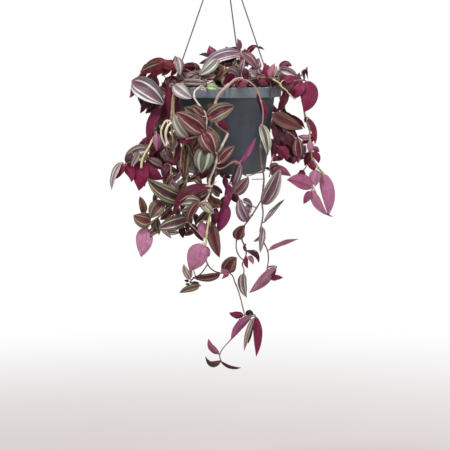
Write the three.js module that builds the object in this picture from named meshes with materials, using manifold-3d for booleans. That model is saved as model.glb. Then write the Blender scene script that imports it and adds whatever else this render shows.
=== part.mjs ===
// A tradescantia trailing out of a 17 cm plastic pot that hangs from a hook on three thin legs.
// Millimetres, +Z up. The origin is where the hook bears on whatever holds it; the front faces -Y.
// Each shoot grew as one piece, so its stems and leaves are one solid. It starts at the soil, goes over the rim
// and hangs outside the pot.
import * as THREE from "three";
import { mergeVertices } from "three/addons/utils/BufferGeometryUtils.js";
import Module from "manifold-3d";

const wasm = await Module();
wasm.setup();

// ---------------------------------------------------------------- driving dimensions (mm)
const POT_X = 5;            // the pot's axis, a little to the right of the hook: the load hangs off centre
const RIM_TOP = -257.5;     // height of the rim below the hook's bearing point
const RIM_R = 85;           // outer radius of the rim: a 17 cm pot
const SKIRT_H = 16;         // depth of the rim's skirt
const POT_H = 135;          // rim to foot
const BODY_R = 76.2;        // outer radius of the body under the skirt
const FOOT_R = 62.5;        // outer radius of the body above the foot
const WALL = 1.6;
const SOIL_GAP = 0.4;       // play between the soil and the pot
const SOIL_TOP = -266;      // crown of the soil
const DRAIN_R = 2.3;        // small drain holes round the floor of the pot
const DRAIN_COUNT = 6;
const LEG_R = 1.0;          // moulded hanger leg
const LEG_ANGLES = { left: 200, right: -37, rear: 73 };
const HUB_Z = -34;          // where the three legs meet
const HOOK_R = 11;          // centre line of the hook
const HOOK_WIRE = 3.0;
const STALK_R = 0.8;        // radius of a leaf stalk
const BLADE_T = 1.0;        // thickness of a leaf blade at its midrib

const foot = RIM_TOP - POT_H;

// ---------------------------------------------------------------- solids
function toSolid(geometry) {
  const g = geometry.index ? geometry.toNonIndexed() : geometry.clone();
  const bare = new THREE.BufferGeometry().setAttribute("position", g.getAttribute("position"));
  const merged = mergeVertices(bare, 1e-4);
  return new wasm.Manifold(
    new wasm.Mesh({
      numProp: 3,
      vertProperties: new Float32Array(merged.attributes.position.array),
      triVerts: new Uint32Array(merged.index.array),
    }),
  );
}
function toGeometry(solid) {
  const m = solid.getMesh(), n = m.numProp, pos = new Float32Array(m.numVert * 3);
  for (let i = 0; i < m.numVert; i++) pos.set(m.vertProperties.subarray(i * n, i * n + 3), i * 3);
  const g = new THREE.BufferGeometry();
  g.setAttribute("position", new THREE.BufferAttribute(pos, 3));
  g.setIndex(new THREE.BufferAttribute(new Uint32Array(m.triVerts), 1));
  g.computeVertexNormals();
  return g;
}
function turned(profile, segments) {
  // profile: [radius, z] pairs, counter-clockwise in the (r, z) plane seen with r to the right
  const g = new THREE.LatheGeometry(profile.map(([r, z]) => new THREE.Vector2(r, z)), segments);
  g.rotateX(Math.PI / 2);
  return g;
}
function ring(radius, sides) {
  const s = new THREE.Shape();
  for (let i = 0; i < sides; i++) {
    const a = (i / sides) * Math.PI * 2;
    if (i) s.lineTo(radius * Math.cos(a), radius * Math.sin(a));
    else s.moveTo(radius * Math.cos(a), radius * Math.sin(a));
  }
  s.closePath();
  return s;
}
// A curve sampled evenly between its waypoints, so that tight bends get as many sections as long runs.
class Route extends THREE.CatmullRomCurve3 {
  constructor(points) {
    super(points.map((p) => new THREE.Vector3(...p)), false, "centripetal");
  }
  getPointAt(u, target) {
    return this.getPoint(u, target);
  }
  getTangentAt(u, target) {
    return this.getTangent(u, target);
  }
}
// A rod of constant radius along a route, with the given number of sections between waypoints.
function rod(points, radius, sides, between = 1) {
  const steps = (points.length - 1) * between;
  return toSolid(new THREE.ExtrudeGeometry(ring(radius, sides), { steps, bevelEnabled: false, extrudePath: new Route(points) }));
}
// A leaf: a pointed, folded blade along a curved midrib, on a thin stalk where it stands off its stem.
function blade(leaf, grow = 0) {
  const [p0, p1, p2] = [leaf.p0, leaf.p1, leaf.p2].map((p) => new THREE.Vector3(...p));
  const curve = new THREE.QuadraticBezierCurve3(p0, p1, p2);
  const across = new THREE.Vector3(...leaf.lat), root = new THREE.Vector3(...leaf.root);
  const pos = [], idx = [], fold = (leaf.fold * Math.PI) / 180;
  const push = (v) => pos.push(v.x, v.y, v.z);
  const section = (c, T, half, rise, thick) => {
    const L = across.clone().addScaledVector(T, -across.dot(T)).normalize();
    const N = new THREE.Vector3().crossVectors(L, T);
    push(c.clone().addScaledVector(L, half).addScaledVector(N, rise));
    push(c.clone().addScaledVector(N, thick));
    push(c.clone().addScaledVector(L, -half).addScaledVector(N, rise));
    push(c.clone().addScaledVector(N, -thick));
  };
  push(root);
  let sections = 0;
  if (leaf.stalk) {
    const along = curve.getTangent(0.1).add(p0.clone().sub(root).normalize()).normalize();
    section(p0, along, STALK_R + grow, 0, STALK_R + grow);
    sections++;
  }
  for (const t of leaf.rows) {
    const half = (leaf.W / 2) * 2.435 * Math.sqrt(t) * Math.pow(1 - t, 0.85) + grow;
    section(curve.getPoint(t), curve.getTangent(t), half * Math.cos(fold), half * Math.sin(fold), BLADE_T / 2 + grow);
    sections++;
  }
  push(curve.getPoint(1));
  const tip = 1 + 4 * sections;
  for (let k = 0; k < 4; k++) {
    const k2 = (k + 1) % 4;
    idx.push(0, 1 + k, 1 + k2);
    for (let r = 0; r + 1 < sections; r++) {
      const a = 1 + 4 * r + k, b = 1 + 4 * r + k2;
      idx.push(a, b + 4, b, a, a + 4, b + 4);
    }
    idx.push(tip, tip - 4 + k2, tip - 4 + k);
  }
  const g = new THREE.BufferGeometry();
  g.setAttribute("position", new THREE.BufferAttribute(new Float32Array(pos), 3));
  g.setIndex(idx);
  return toSolid(g);
}

// ---------------------------------------------------------------- pot
function makePot() {
  const s = RIM_TOP - SKIRT_H, w = WALL;
  const profile = [
    [0, foot + 2.0], [FOOT_R - 9.5, foot + 2.0], [FOOT_R - 8.0, foot], [FOOT_R - 3.2, foot], [FOOT_R - 0.6, foot + 2.2],
    [BODY_R, s], [BODY_R + 0.6, RIM_TOP - 2.6], [RIM_R - 2.4, RIM_TOP - 2.2], [RIM_R - 2.2, s], [RIM_R - 0.6, s],
    [RIM_R, RIM_TOP - 1.2], [RIM_R - 1.2, RIM_TOP], [BODY_R + 0.2, RIM_TOP], [BODY_R - 1.0, RIM_TOP - 1.2],
    [BODY_R - w, s], [FOOT_R - w, foot + 5], [0, foot + 3.6],
  ];
  let pot = toSolid(turned(profile, 32));
  if (pot.volume() < 0) pot = toSolid(turned(profile.slice().reverse(), 32));
  for (let i = 0; i < DRAIN_COUNT; i++) {
    const a = (i / DRAIN_COUNT) * Math.PI * 2 + 0.2;
    const g = new THREE.CylinderGeometry(DRAIN_R, DRAIN_R, 8, 8).rotateX(Math.PI / 2);
    g.translate(38 * Math.cos(a), 38 * Math.sin(a), foot + 2.8);
    pot = pot.subtract(toSolid(g));
  }
  return pot.translate([POT_X, 0, 0]);
}
function makeSoil() {
  const s = RIM_TOP - SKIRT_H, inner = BODY_R - WALL - SOIL_GAP, low = FOOT_R - WALL - SOIL_GAP;
  const profile = [
    [0, foot + 4.1], [low - 3, foot + 5.6], [low, foot + 7.4], [inner, s - 1], [inner - 8, s + 3.5], [45, SOIL_TOP - 1.5], [22, SOIL_TOP - 0.3], [0, SOIL_TOP],
  ];
  let soil = toSolid(turned(profile, 32));
  if (soil.volume() < 0) soil = toSolid(turned(profile.slice().reverse(), 32));
  return soil.translate([POT_X, 0, 0]);
}

// ---------------------------------------------------------------- hanger
function makeHook() {
  const cz = HOOK_WIRE / 2 - HOOK_R; // the hook's centre: the wire's inner face bears at the origin
  const points = [[0, 0, HUB_Z - 2], [0, 0, HUB_Z + 7]];
  for (let a = -70; a <= 200; a += 18) {
    const r = (a * Math.PI) / 180;
    points.push([HOOK_R * Math.cos(r), 0, cz + HOOK_R * Math.sin(r)]);
  }
  const hub = [[0, HUB_Z - 4], [4.2, HUB_Z - 4], [5.6, HUB_Z - 2.6], [5.6, HUB_Z + 2], [2.6, HUB_Z + 5], [0, HUB_Z + 5]];
  return toSolid(turned(hub, 16)).add(rod(points, HOOK_WIRE / 2, 8));
}
function legPath(deg) {
  const a = (deg * Math.PI) / 180, c = Math.cos(a), s = Math.sin(a), low = RIM_TOP - SKIRT_H;
  const at = (r, z) => [POT_X + r * c, r * s, z];
  const out = RIM_R + 0.5 + LEG_R;
  const top = [1.4 * c, 1.4 * s, HUB_Z - 4.4 - LEG_R], bend = at(out, RIM_TOP + 2.5);
  const mix = (t) => top.map((v, i) => v + (bend[i] - v) * t);
  return [top, mix(0.05), mix(0.5), mix(0.95), mix(0.985), at(out + 0.1, RIM_TOP), at(out, RIM_TOP - 3), at(out, low + 1.5), at(out, low - 0.5), at(out - 0.5, low - 1.5), at(out - 1.6, low - 2.0), at(RIM_R - 2.6, low - 2.0)];
}
const makeLeg = (deg) => rod(legPath(deg), LEG_R, 6);

// ---------------------------------------------------------------- shoots
// stems: radius and waypoints of each stem. leaves: [midrib start, midrib control, tip, direction across, width,
// fold in degrees, point on the stem, 1 with a stalk, number of cross-sections].
const SHOOTS = {
  shoot_left_arch: {
    colour: 0x7d5f66,
    stems: [
      { r: 1.5, path: [[-26.44, -27.6, -266.08], [-27.77, -29.09, -256.38], [-29.9, -30.31, -252.08], [-40.94, -33.79, -242.68], [-60.1, -41.76, -229.22], [-92.35, -48.08, -218.35], [-110.36, -53.67, -224.11], [-125.56, -56, -236.6], [-131.01, -56, -244.9]] },
    ],
    leaves: [
      [[-138.66, -60, -250.03], [-109.17, -79, -261.01], [-88.58, -74, -283.56], [-0.5816, -0.1809, -0.7931], 36.38, 16, [-130.25, -56, -243.73], 1, 2],
      [[-87.07, -58, -218.88], [-110.19, -65, -220.6], [-125.41, -60, -238.71], [0.4441, 0.1831, -0.8771], 20.79, 12, [-89.3, -47.48, -219.38], 1, 2],
      [[-96.34, -56, -218.14], [-81.91, -61, -223.61], [-70.35, -54, -233.45], [0.5061, 0.0258, 0.8621], 15.09, 14, [-97.67, -49.73, -220.06], 1, 2],
      [[-71.93, -50, -211.3], [-68.24, -60, -225.36], [-64.88, -58, -239.51], [-0.8955, -0.4336, -0.1009], 15.75, 30, [-77.02, -45.07, -223.52], 1, 2],
      [[-94.59, -62, -219.3], [-114.35, -67, -220.94], [-127.5, -64, -236.21], [-0.4107, -0.3514, 0.8413], 8.51, 16, [-98.08, -49.86, -220.18], 1, 2],
    ],
  },
  shoot_left_long: {
    colour: 0x7a4a58,
    stems: [
      { r: 1.7, path: [[-38.02, -18.4, -266.66], [-39.78, -19.01, -257.03], [-42.11, -20.21, -252.94], [-49.27, -25.14, -248.43], [-57.39, -30.15, -246.11], [-66.39, -34.06, -246.24], [-75.55, -36.67, -248.58], [-84.31, -37.7, -252.89], [-87.95, -38.32, -256.12], [-93.07, -39.67, -264.37], [-95.68, -40.69, -273.76], [-100.04, -45.76, -307.5], [-104.48, -56, -329.39]] },
      { r: 2.25, path: [[-104.48, -56, -329.39], [-114.18, -72.97, -350.21], [-123.04, -77.81, -366.23], [-124.85, -80, -380.22]] },
      { r: 1.15, path: [[-123.87, -78.81, -372.62], [-130.87, -83.14, -368.12], [-143.41, -88.13, -370.69], [-150.56, -90, -376.46]] },
    ],
    leaves: [
      [[-124.23, -82, -368.59], [-121.17, -96, -390.95], [-128.19, -90, -413.93], [0.9859, 0.127, -0.1086], 27.63, 14, [-126.61, -80.51, -370.85], 0, 2],
      [[-94.85, -62, -286.1], [-117.81, -72, -313.11], [-111.84, -66, -348.86], [0.8796, -0.4263, -0.2111], 17.96, 16, [-97.6, -42.93, -288.61], 1, 2],
      [[-122.25, -76, -373.28], [-110.37, -85, -389.38], [-91.61, -78, -396.94], [0.6051, -0.0905, 0.791], 24.81, 14, [-123.87, -78.81, -372.63], 0, 2],
      [[-114.98, -82, -352.52], [-137.15, -95, -349.13], [-149.64, -92, -368.69], [-0.3863, -0.1362, 0.9122], 20.36, 24, [-116.35, -74.16, -354.14], 1, 2],
      [[-150.54, -90, -373.1], [-138.59, -96, -384.28], [-138.29, -94, -400.91], [0.8575, -0.2965, 0.4205], 18.12, 18, [-148.98, -89.58, -375.18], 0, 2],
      [[-154.98, -92, -370.98], [-168.65, -97, -389.71], [-169.61, -94, -413.6], [-0.8427, 0.4673, 0.2673], 12.49, 24, [-149.5, -89.72, -375.6], 1, 2],
      [[-123.3, -84, -353.93], [-134.49, -90, -362.72], [-146.08, -88, -372.01], [-0.542, -0.3553, 0.7615], 15.26, 14, [-118.97, -75.59, -358.87], 1, 2],
      [[-101.53, -72, -327.05], [-97.82, -80, -340.71], [-100.72, -76, -355.18], [0.9124, 0.4081, -0.0318], 15.33, 14, [-106.79, -60.04, -334.35], 1, 2],
      [[-152.98, -90, -372.64], [-158.54, -95, -384.5], [-164.6, -92, -396.94], [0.8211, -0.4462, -0.3559], 15.4, 18, [-149.11, -89.62, -375.29], 0, 2],
      [[-93.22, -74, -377.56], [-105.23, -80, -370.63], [-117.51, -78, -364.25], [0.3378, 0.5322, 0.7764], 13.53, 16, [-123.9, -78.85, -372.85], 1, 2],
      [[-117.76, -73, -368.41], [-106.91, -76.5, -375.09], [-96.38, -72, -382.32], [-0.482, -0.4157, -0.7712], 11.87, 16, [-122.17, -77.34, -364.66], 1, 2],
      [[-127.43, -93, -354.91], [-133.32, -98, -365.63], [-139.62, -95, -376.87], [-0.705, -0.5548, 0.4417], 13.2, 16, [-130.87, -83.14, -368.12], 1, 2],
      [[-121.53, -76, -383.57], [-120.69, -79, -396.4], [-120.03, -78, -409.55], [0.8871, -0.4534, 0.0861], 9.4, 20, [-124.67, -79.79, -378.84], 1, 2],
      [[-43.93, -16.32, -254.83], [-57.93, -21.38, -242.83], [-71.92, -26.45, -250.83], [-0.3562, 0.9208, -0.1591], 13.66, 16, [-41.3, -19.8, -254.36], 0, 2],
    ],
  },
  shoot_left_front: {
    colour: 0x6e5a50,
    stems: [
      { r: 1.55, path: [[-31.67, -41.26, -267.7], [-32.89, -42.63, -263.14], [-37.53, -47.77, -255.96], [-40.3, -50.92, -253.26], [-46.45, -58.35, -251], [-55.86, -69.98, -251.41], [-65.16, -81.23, -254.57], [-70.88, -87.88, -259.29], [-73.05, -90, -263.16], [-75.68, -92.21, -272.5], [-77.81, -94.96, -317.15], [-74.07, -96.23, -356.73], [-78.88, -98.37, -386.09], [-78.67, -99, -425.89], [-83.45, -99, -440], [-112.57, -97.42, -466.85], [-115.62, -97, -470.77]] },
      { r: 1.45, path: [[-77.43, -94.48, -309.26], [-85.4, -97.4, -307.26], [-92.71, -98.09, -319.18], [-92.35, -96.71, -333.09], [-86.25, -95, -345.66]] },
      { r: 1.85, path: [[-77.51, -94.57, -310.79], [-82.99, -101.07, -315.13], [-86.37, -101.64, -328.92], [-82.31, -99, -342.39]] },
      { r: 1.1, path: [[-78.69, -98.93, -421.58], [-69.7, -103.31, -436.62], [-54.38, -104, -453.2]] },
    ],
    leaves: [
      [[-61.97, -102, -427.42], [-91.04, -119, -414.74], [-114.28, -112, -393.88], [0.5416, -0.0135, 0.8406], 26.93, 16, [-71.76, -102.31, -433.19], 1, 2],
      [[-118.63, -98, -469.9], [-118.24, -109, -491.71], [-124.66, -104, -514.49], [0.9794, 0.1347, -0.1507], 26.51, 12, [-114.77, -97.12, -469.67], 0, 2],
      [[-54.39, -104, -456.26], [-76.45, -118, -462.09], [-99.01, -112, -469.95], [-0.2848, -0.0493, 0.9573], 24.1, 18, [-55.33, -103.96, -452.18], 0, 2],
      [[-74.08, -86, -253.43], [-62.54, -99, -266.86], [-46.12, -96, -273.3], [-0.6104, -0.1692, -0.7738], 22.03, 12, [-69.62, -86.41, -258.25], 1, 2],
      [[-90.95, -100, -432.19], [-104.41, -113, -439.08], [-108.89, -110, -454.9], [-0.8094, 0.1895, 0.5559], 24.82, 16, [-81.85, -99, -435.27], 1, 2],
      [[-110.19, -98, -459.93], [-124.62, -110, -459.89], [-135.64, -106, -449.95], [0.3575, 0.0272, 0.9335], 26.14, 16, [-107.83, -97.68, -462.48], 0, 2],
      [[-60.39, -86, -248.89], [-40.52, -96.5, -247.41], [-21.53, -99, -252.09], [0.0792, 0.4554, -0.8868], 12.69, 14, [-64.8, -80.79, -254.45], 1, 2],
      [[-121.27, -98, -449.2], [-120.78, -100, -434.66], [-126.66, -94, -422.01], [0.9091, 0.3983, 0.1217], 13.25, 24, [-108.47, -97.64, -463.07], 1, 2],
      [[-77.41, -96, -443.27], [-86.42, -101, -450.44], [-95.7, -98, -458.4], [-0.5506, -0.4204, 0.7212], 14.64, 20, [-83.45, -99, -440], 1, 2],
      [[-101.78, -98, -455.33], [-96.5, -103, -467.74], [-97.54, -100, -481.95], [-0.9417, 0.2893, -0.1717], 12.37, 24, [-101, -98.05, -456.18], 0, 2],
    ],
  },
  shoot_front_maroon: {
    colour: 0x6a3f42,
    stems: [
      { r: 1.3, path: [[-11.75, -52.6, -267.9], [-12.5, -55.38, -253.44], [-13.45, -57.95, -249.49], [-15.21, -62.35, -248.17], [-20.91, -75.84, -249.9], [-28, -88.45, -252.78], [-36.52, -99.44, -257.65], [-42.22, -105.49, -262.86], [-43.51, -107.78, -266.96], [-42.91, -109.53, -271.49], [-26.11, -114.79, -295.02], [-23.69, -115, -304.29], [-25.96, -115, -318.88]] },
      { r: 1.4, path: [[-25.96, -115, -318.88], [-36.72, -114.11, -329.15], [-55.49, -110, -334.22]] },
    ],
    leaves: [
      [[-28.21, -116, -323.35], [-47.42, -131, -305.32], [-70.43, -122, -293.34], [0.5585, 0.1502, 0.8158], 31.51, 16, [-29.32, -114.72, -322.09], 0, 2],
      [[-29.72, -116, -324.86], [-18.28, -132, -338.36], [-12.37, -124, -356.03], [-0.8802, -0.1194, -0.4593], 32.73, 14, [-30.85, -114.6, -323.55], 0, 2],
      [[-25.99, -110, -301.03], [-43.4, -114, -296.08], [-58.49, -106, -286.11], [0.4293, 0.2139, 0.8775], 20.96, 18, [-24.66, -114.92, -300.57], 1, 2],
      [[-52.44, -111, -331.15], [-69.35, -115.5, -316.23], [-72.68, -112, -294.17], [0.8154, -0.3808, 0.436], 17.96, 22, [-51.83, -110.8, -333.23], 0, 2],
      [[-25.99, -112, -317.52], [-9.16, -118, -326.05], [-4.13, -112, -344.68], [-0.6599, -0.5315, -0.5311], 18.54, 20, [-25.54, -115, -316.17], 0, 2],
      [[-37.39, -108, -329.79], [-53.49, -111, -332.46], [-67.7, -106, -341.24], [0.3327, -0.2147, -0.9183], 12.65, 14, [-38.66, -113.69, -329.67], 1, 2],
      [[-31.22, -114, -299.36], [-36.33, -117, -287.11], [-49.3, -112, -284.4], [0.637, 0.2104, 0.7416], 14.49, 18, [-25.38, -114.86, -297.82], 1, 2],
    ],
  },
  shoot_front_cluster: {
    colour: 0x74505c,
    stems: [
      { r: 1.5, path: [[14.69, -54.34, -267.78], [15.38, -56.2, -258.37], [15.79, -58.02, -253.94], [15.44, -61.72, -251.09], [13.63, -71.12, -250.39], [9.79, -84.84, -252.69], [7.88, -89.02, -254.1], [2.64, -95.64, -258.66], [-3.08, -100.31, -264.81], [-8.45, -102.39, -272.5], [-13.1, -107.14, -300.41], [-8.65, -110, -313.84]] },
      { r: 1.2, path: [[-8.65, -110, -313.84], [7.94, -114, -325.41]] },
      { r: 1.65, path: [[7.94, -114, -325.41], [-8.41, -116.58, -361.38], [-20.14, -119.95, -399.1], [-21.39, -120.35, -418.71], [-26.72, -121.04, -426.86], [-31.3, -121, -428.76]] },
      { r: 1.5, path: [[-31.3, -121, -428.76], [-20.03, -125.97, -443.23], [-25.93, -124.64, -490.67], [-27.12, -124, -495.29]] },
      { r: 1.1, path: [[-31.3, -121, -428.76], [-50.63, -125.96, -441.62], [-53.4, -126, -450.55], [-47.68, -125.75, -463.44], [-28.31, -125, -484.52]] },
      { r: 0.95, path: [[-21.07, -120.25, -413.62], [-8.64, -121, -396.97]] },
      { r: 1.15, path: [[-12.69, -117.81, -375.16], [-5.1, -113.26, -378.82], [17.91, -98.33, -369.5], [22.2, -96.11, -369.42], [25.67, -94.81, -371.95], [18.21, -97.93, -399.78], [8.86, -100.94, -421.87], [-7.21, -106, -439.27]] },
    ],
    leaves: [
      [[-32.11, -124, -491.48], [-38.24, -136, -512.52], [-50.26, -128, -533.63], [0.9172, -0.1023, -0.3852], 32.1, 10, [-26.52, -124.32, -492.96], 1, 2],
      [[-16.18, -122, -405.21], [-69.24, -133, -399.93], [-74.32, -124, -454.26], [0.5693, -0.4975, -0.6545], 19.51, 18, [-15.26, -120.6, -405.84], 0, 2],
      [[-25.19, -120, -348.74], [-31.79, -130, -365.95], [-32.71, -124, -385.42], [-0.9777, 0.0871, 0.1911], 31.75, 18, [-6.62, -116.3, -357.45], 1, 2],
      [[-19.29, -117, -459.52], [-14.61, -124.5, -486.9], [-4.16, -120, -514.06], [-0.9452, -0.2089, -0.2508], 21.15, 20, [-22.04, -125.52, -459.42], 1, 2],
      [[5.7, -109, -434.42], [1.37, -116, -456.03], [-8.73, -111, -476.93], [0.93, -0.2038, -0.306], 19.94, 16, [0.37, -103.61, -431.06], 1, 2],
      [[15.57, -104, -416.57], [31.67, -114, -407.35], [39.02, -108, -391.15], [0.7388, 0.0761, -0.6696], 20.33, 20, [11.59, -100.06, -415.43], 1, 2],
      [[-4.87, -118, -369.99], [4.39, -123, -354.48], [18.19, -116, -343.7], [0.7002, -0.412, -0.5831], 18.78, 18, [-10.56, -117.2, -368.29], 1, 2],
      [[-34.31, -122, -430.19], [-53.06, -129, -419.82], [-68.98, -124, -434.55], [-0.1027, -0.2933, 0.9505], 18.75, 18, [-34.1, -121.72, -430.62], 0, 2],
      [[-34.25, -126, -429.83], [-48.1, -133, -442.13], [-51.61, -128, -461.43], [-0.7817, 0.4794, 0.3989], 19.45, 30, [-34.58, -121.84, -430.94], 0, 2],
      [[7.98, -100, -403.18], [9.76, -108, -425.02], [-0.38, -104, -445.56], [0.8229, -0.5575, -0.1098], 15.59, 22, [15.38, -98.84, -406.47], 1, 2],
      [[26.21, -99, -372.79], [23.02, -106.5, -394.37], [14.06, -102, -415.22], [-0.8367, -0.4748, 0.2731], 13.42, 24, [25.38, -94.93, -373.02], 0, 2],
      [[26.23, -96, -371.47], [20.94, -103, -388.32], [10.27, -98, -403.34], [-0.8145, -0.3868, 0.4323], 14.67, 24, [25.53, -94.87, -371.85], 0, 2],
      [[-25.27, -118, -406.29], [-40.72, -124, -405.08], [-55.49, -118, -410.84], [0.1332, -0.4458, -0.8852], 15.36, 18, [-20.62, -120.1, -406.54], 1, 2],
      [[-32.84, -122, -459.01], [-29.03, -126.5, -471.07], [-25.31, -123, -483.99], [0.9064, 0.3328, 0.2602], 16.52, 18, [-22.17, -125.49, -460.44], 1, 2],
      [[-32.77, -124, -430.01], [-24.42, -128, -439.97], [-12.43, -124, -445.92], [-0.5245, -0.5243, -0.6709], 18.45, 24, [-33.34, -121.52, -430.12], 0, 2],
      [[4.94, -107, -420.89], [0.39, -112, -432.62], [-4.17, -109, -445.08], [0.8674, -0.4019, -0.2932], 17.35, 20, [6.76, -101.6, -424.14], 1, 2],
      [[26.09, -112, -368.88], [41, -115, -351.85], [51, -110, -331.95], [-0.6274, 0.676, 0.3865], 11.86, 24, [18.8, -97.87, -369.48], 1, 2],
      [[-11.76, -108, -439.08], [-10.61, -115, -454.01], [-15.56, -110, -469.4], [0.8926, -0.4432, -0.0827], 13.99, 16, [-6.28, -105.71, -438.26], 1, 2],
      [[-49.51, -120, -462.26], [-38.87, -125, -475.02], [-28.35, -122, -488.67], [-0.6967, -0.493, -0.5211], 12.53, 22, [-48.38, -125.78, -461.87], 1, 2],
      [[1.9, -96, -392.82], [4.94, -101, -403.86], [7.99, -98, -415.56], [0.9071, -0.3219, 0.2712], 10.31, 20, [18.9, -97.64, -397.19], 1, 2],
      [[-40.4, -120, -437.96], [-53.89, -122, -437.85], [-66.1, -120, -444.03], [-0.222, -0.2595, 0.9399], 8.41, 18, [-41.21, -123.55, -435.36], 0, 2],
    ],
  },
  shoot_front_trailer: {
    colour: 0x776058,
    stems: [
      { r: 1.38, path: [[18.21, -53.6, -267.88], [19.01, -56.57, -258.6], [19.62, -58.92, -254.32], [20.32, -62.16, -250.78], [21.29, -71.21, -247.09], [22.78, -80.75, -245.3], [24.61, -85.25, -244.67], [27.55, -89.17, -244.42], [31.11, -92.54, -244.71], [35, -95.33, -245.75], [43.01, -98.72, -250.25], [49.65, -101.05, -257.07], [55.6, -103.26, -270.34], [61.06, -104, -294.19], [58.36, -104, -328.48]] },
      { r: 1.2, path: [[58.36, -104, -328.48], [58.21, -101.89, -368.11], [62.6, -101, -397.45], [60.29, -101, -437.06], [59.63, -101, -461.73], [56.85, -101, -476.27], [68.97, -102.05, -508.58], [67.56, -102, -533.2]] },
      { r: 1.05, path: [[61.03, -101, -424.5], [37.55, -96.26, -461.08], [23.48, -94.98, -480.65], [20.52, -95, -499.74], [24.84, -95, -513.46], [31.73, -95, -520.22]] },
      { r: 1.05, path: [[28.81, -95.46, -473.23], [30.22, -93.75, -491.76], [35.46, -92.94, -504.68], [33.92, -93, -518.5], [29.91, -93, -526.9], [32.23, -93, -540.55], [31.47, -93, -545.18]] },
      { r: 2.2, path: [[19.52, -58.52, -255.06], [31.87, -50.77, -253.69], [36.12, -50.41, -252.43], [36.35, -54.93, -250.78], [32.82, -68.66, -247.18], [27.35, -81.97, -244.58], [21.81, -89.95, -244.08], [18.71, -93.53, -245.18], [9.17, -101.64, -252.69], [-0.59, -108.27, -261.32], [-6.44, -111.18, -268.55], [-8.79, -112.06, -272.73], [-11.34, -112.5, -282.12]] },
      { r: 0.85, path: [[60.39, -101.45, -382.62], [40.47, -89.43, -391.22], [37.03, -86, -392.35]] },
      { r: 0.65, path: [[62.31, -101.06, -395.5], [44.55, -94, -396.63]] },
    ],
    leaves: [
      [[60.89, -103, -433.44], [77.9, -115.5, -406.92], [87.16, -108, -378.25], [0.8942, 0.1821, -0.409], 24.91, 20, [60.51, -101, -433.42], 0, 2],
      [[-22.16, -117, -303.75], [-3.77, -126.5, -289.57], [18.46, -116, -284.26], [0.4313, -0.1367, -0.8918], 28.2, 20, [-10.97, -112.44, -280.78], 1, 2],
      [[81.26, -103, -530.76], [64.74, -110.5, -553.84], [40.07, -106, -569.62], [0.6296, 0.3485, -0.6944], 19.85, 26, [67.74, -102.01, -529.98], 1, 2],
      [[57.83, -106, -313.27], [67.8, -113, -335.24], [69.24, -108, -360.05], [-0.9197, -0.3318, -0.2101], 18.5, 24, [59.55, -104, -313.4], 0, 2],
      [[37.73, -98, -459.93], [25.76, -107, -443.44], [25.45, -104, -424.2], [0.9425, -0.1498, 0.2988], 19.93, 22, [38.22, -96.4, -460.04], 0, 2],
      [[31.3, -95, -541.83], [29.21, -102.5, -559.95], [36.36, -98, -578.51], [-0.9039, 0.3978, -0.1573], 17.57, 26, [32, -93, -541.94], 0, 2],
      [[61.28, -103, -470.14], [56.28, -108, -488.41], [57.52, -105, -508.23], [-0.8748, -0.4715, 0.1112], 14.13, 30, [58.14, -101, -469.53], 0, 2],
      [[71.24, -104, -503.29], [92.71, -105, -493.16], [115.62, -98, -486.78], [-0.1449, -0.7388, 0.6582], 13.6, 14, [67.53, -101.93, -504.75], 0, 2],
      [[63.61, -100, -461.26], [78.62, -101, -443.17], [93.73, -98, -425.49], [0.3511, -0.9037, -0.2451], 15.62, 14, [59.65, -101, -461.15], 0, 2],
      [[36.29, -96, -505.47], [56.4, -101, -503.82], [54.64, -98, -524.47], [0.5538, 0.6929, 0.4617], 12.65, 20, [35.38, -92.94, -505.38], 0, 2],
      [[51.81, -100, -265.18], [55.6, -101, -281.74], [59.48, -98, -298.49], [0.6274, -0.7725, 0.0982], 10.04, 20, [52.9, -102.26, -264.32], 0, 2],
      [[59.35, -102, -277.19], [63.51, -103, -290.73], [67.78, -100, -304.46], [0.6217, -0.7714, 0.1357], 11.28, 20, [57.27, -103.49, -277.62], 0, 2],
    ],
  },
  shoot_right_short: {
    colour: 0x742a4a,
    stems: [
      { r: 1.4, path: [[22.11, -27.6, -265.68], [22.29, -25.76, -261.28], [22.49, -24.99, -256.56], [23.38, -25.71, -251.99], [25.53, -29.23, -249.75], [32.32, -41.84, -248.47], [39.38, -54.37, -248.08], [44.7, -62.11, -246.28], [50.8, -68.91, -243.43], [54.76, -71.47, -242.66], [63.92, -74.16, -242.36], [73.5, -74, -242.67]] },
      { r: 1.1, path: [[73.53, -74.1, -242.62], [73.96, -78.18, -242.98], [85.4, -73.88, -249.9], [88.57, -72.37, -252.95], [90.58, -70.96, -256.95], [93.47, -69.28, -260.17], [100.65, -65.53, -264.72], [102.55, -63.98, -268.72], [105.29, -62.14, -272], [112.56, -58, -276.27]] },
      { r: 1.2, path: [[73.93, -77.93, -242.96], [84.73, -68.31, -245.59], [95.61, -58.78, -248.05], [108.12, -51.08, -247.96], [121.07, -44.2, -246.89], [125.45, -42, -246.7]] },
    ],
    leaves: [
      [[128.45, -44, -248.2], [141.68, -56, -273.19], [124.92, -52, -296.45], [0.9953, 0.0522, -0.0815], 28.88, 14, [124.2, -42.63, -246.75], 0, 2],
      [[119.18, -44, -246.66], [113.76, -55, -261.02], [109.03, -50, -275.74], [0.9427, -0.1496, -0.2982], 27.06, 12, [119.7, -44.92, -247], 0, 2],
      [[31.38, -36.92, -252.24], [18.74, -42.26, -234.39], [6.1, -47.6, -236.54], [-0.076, 0.8771, 0.4742], 13.56, 16, [29.92, -37.37, -248.92], 0, 2],
    ],
  },
  shoot_right_trailer: {
    colour: 0x8a4a6a,
    stems: [
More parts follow.
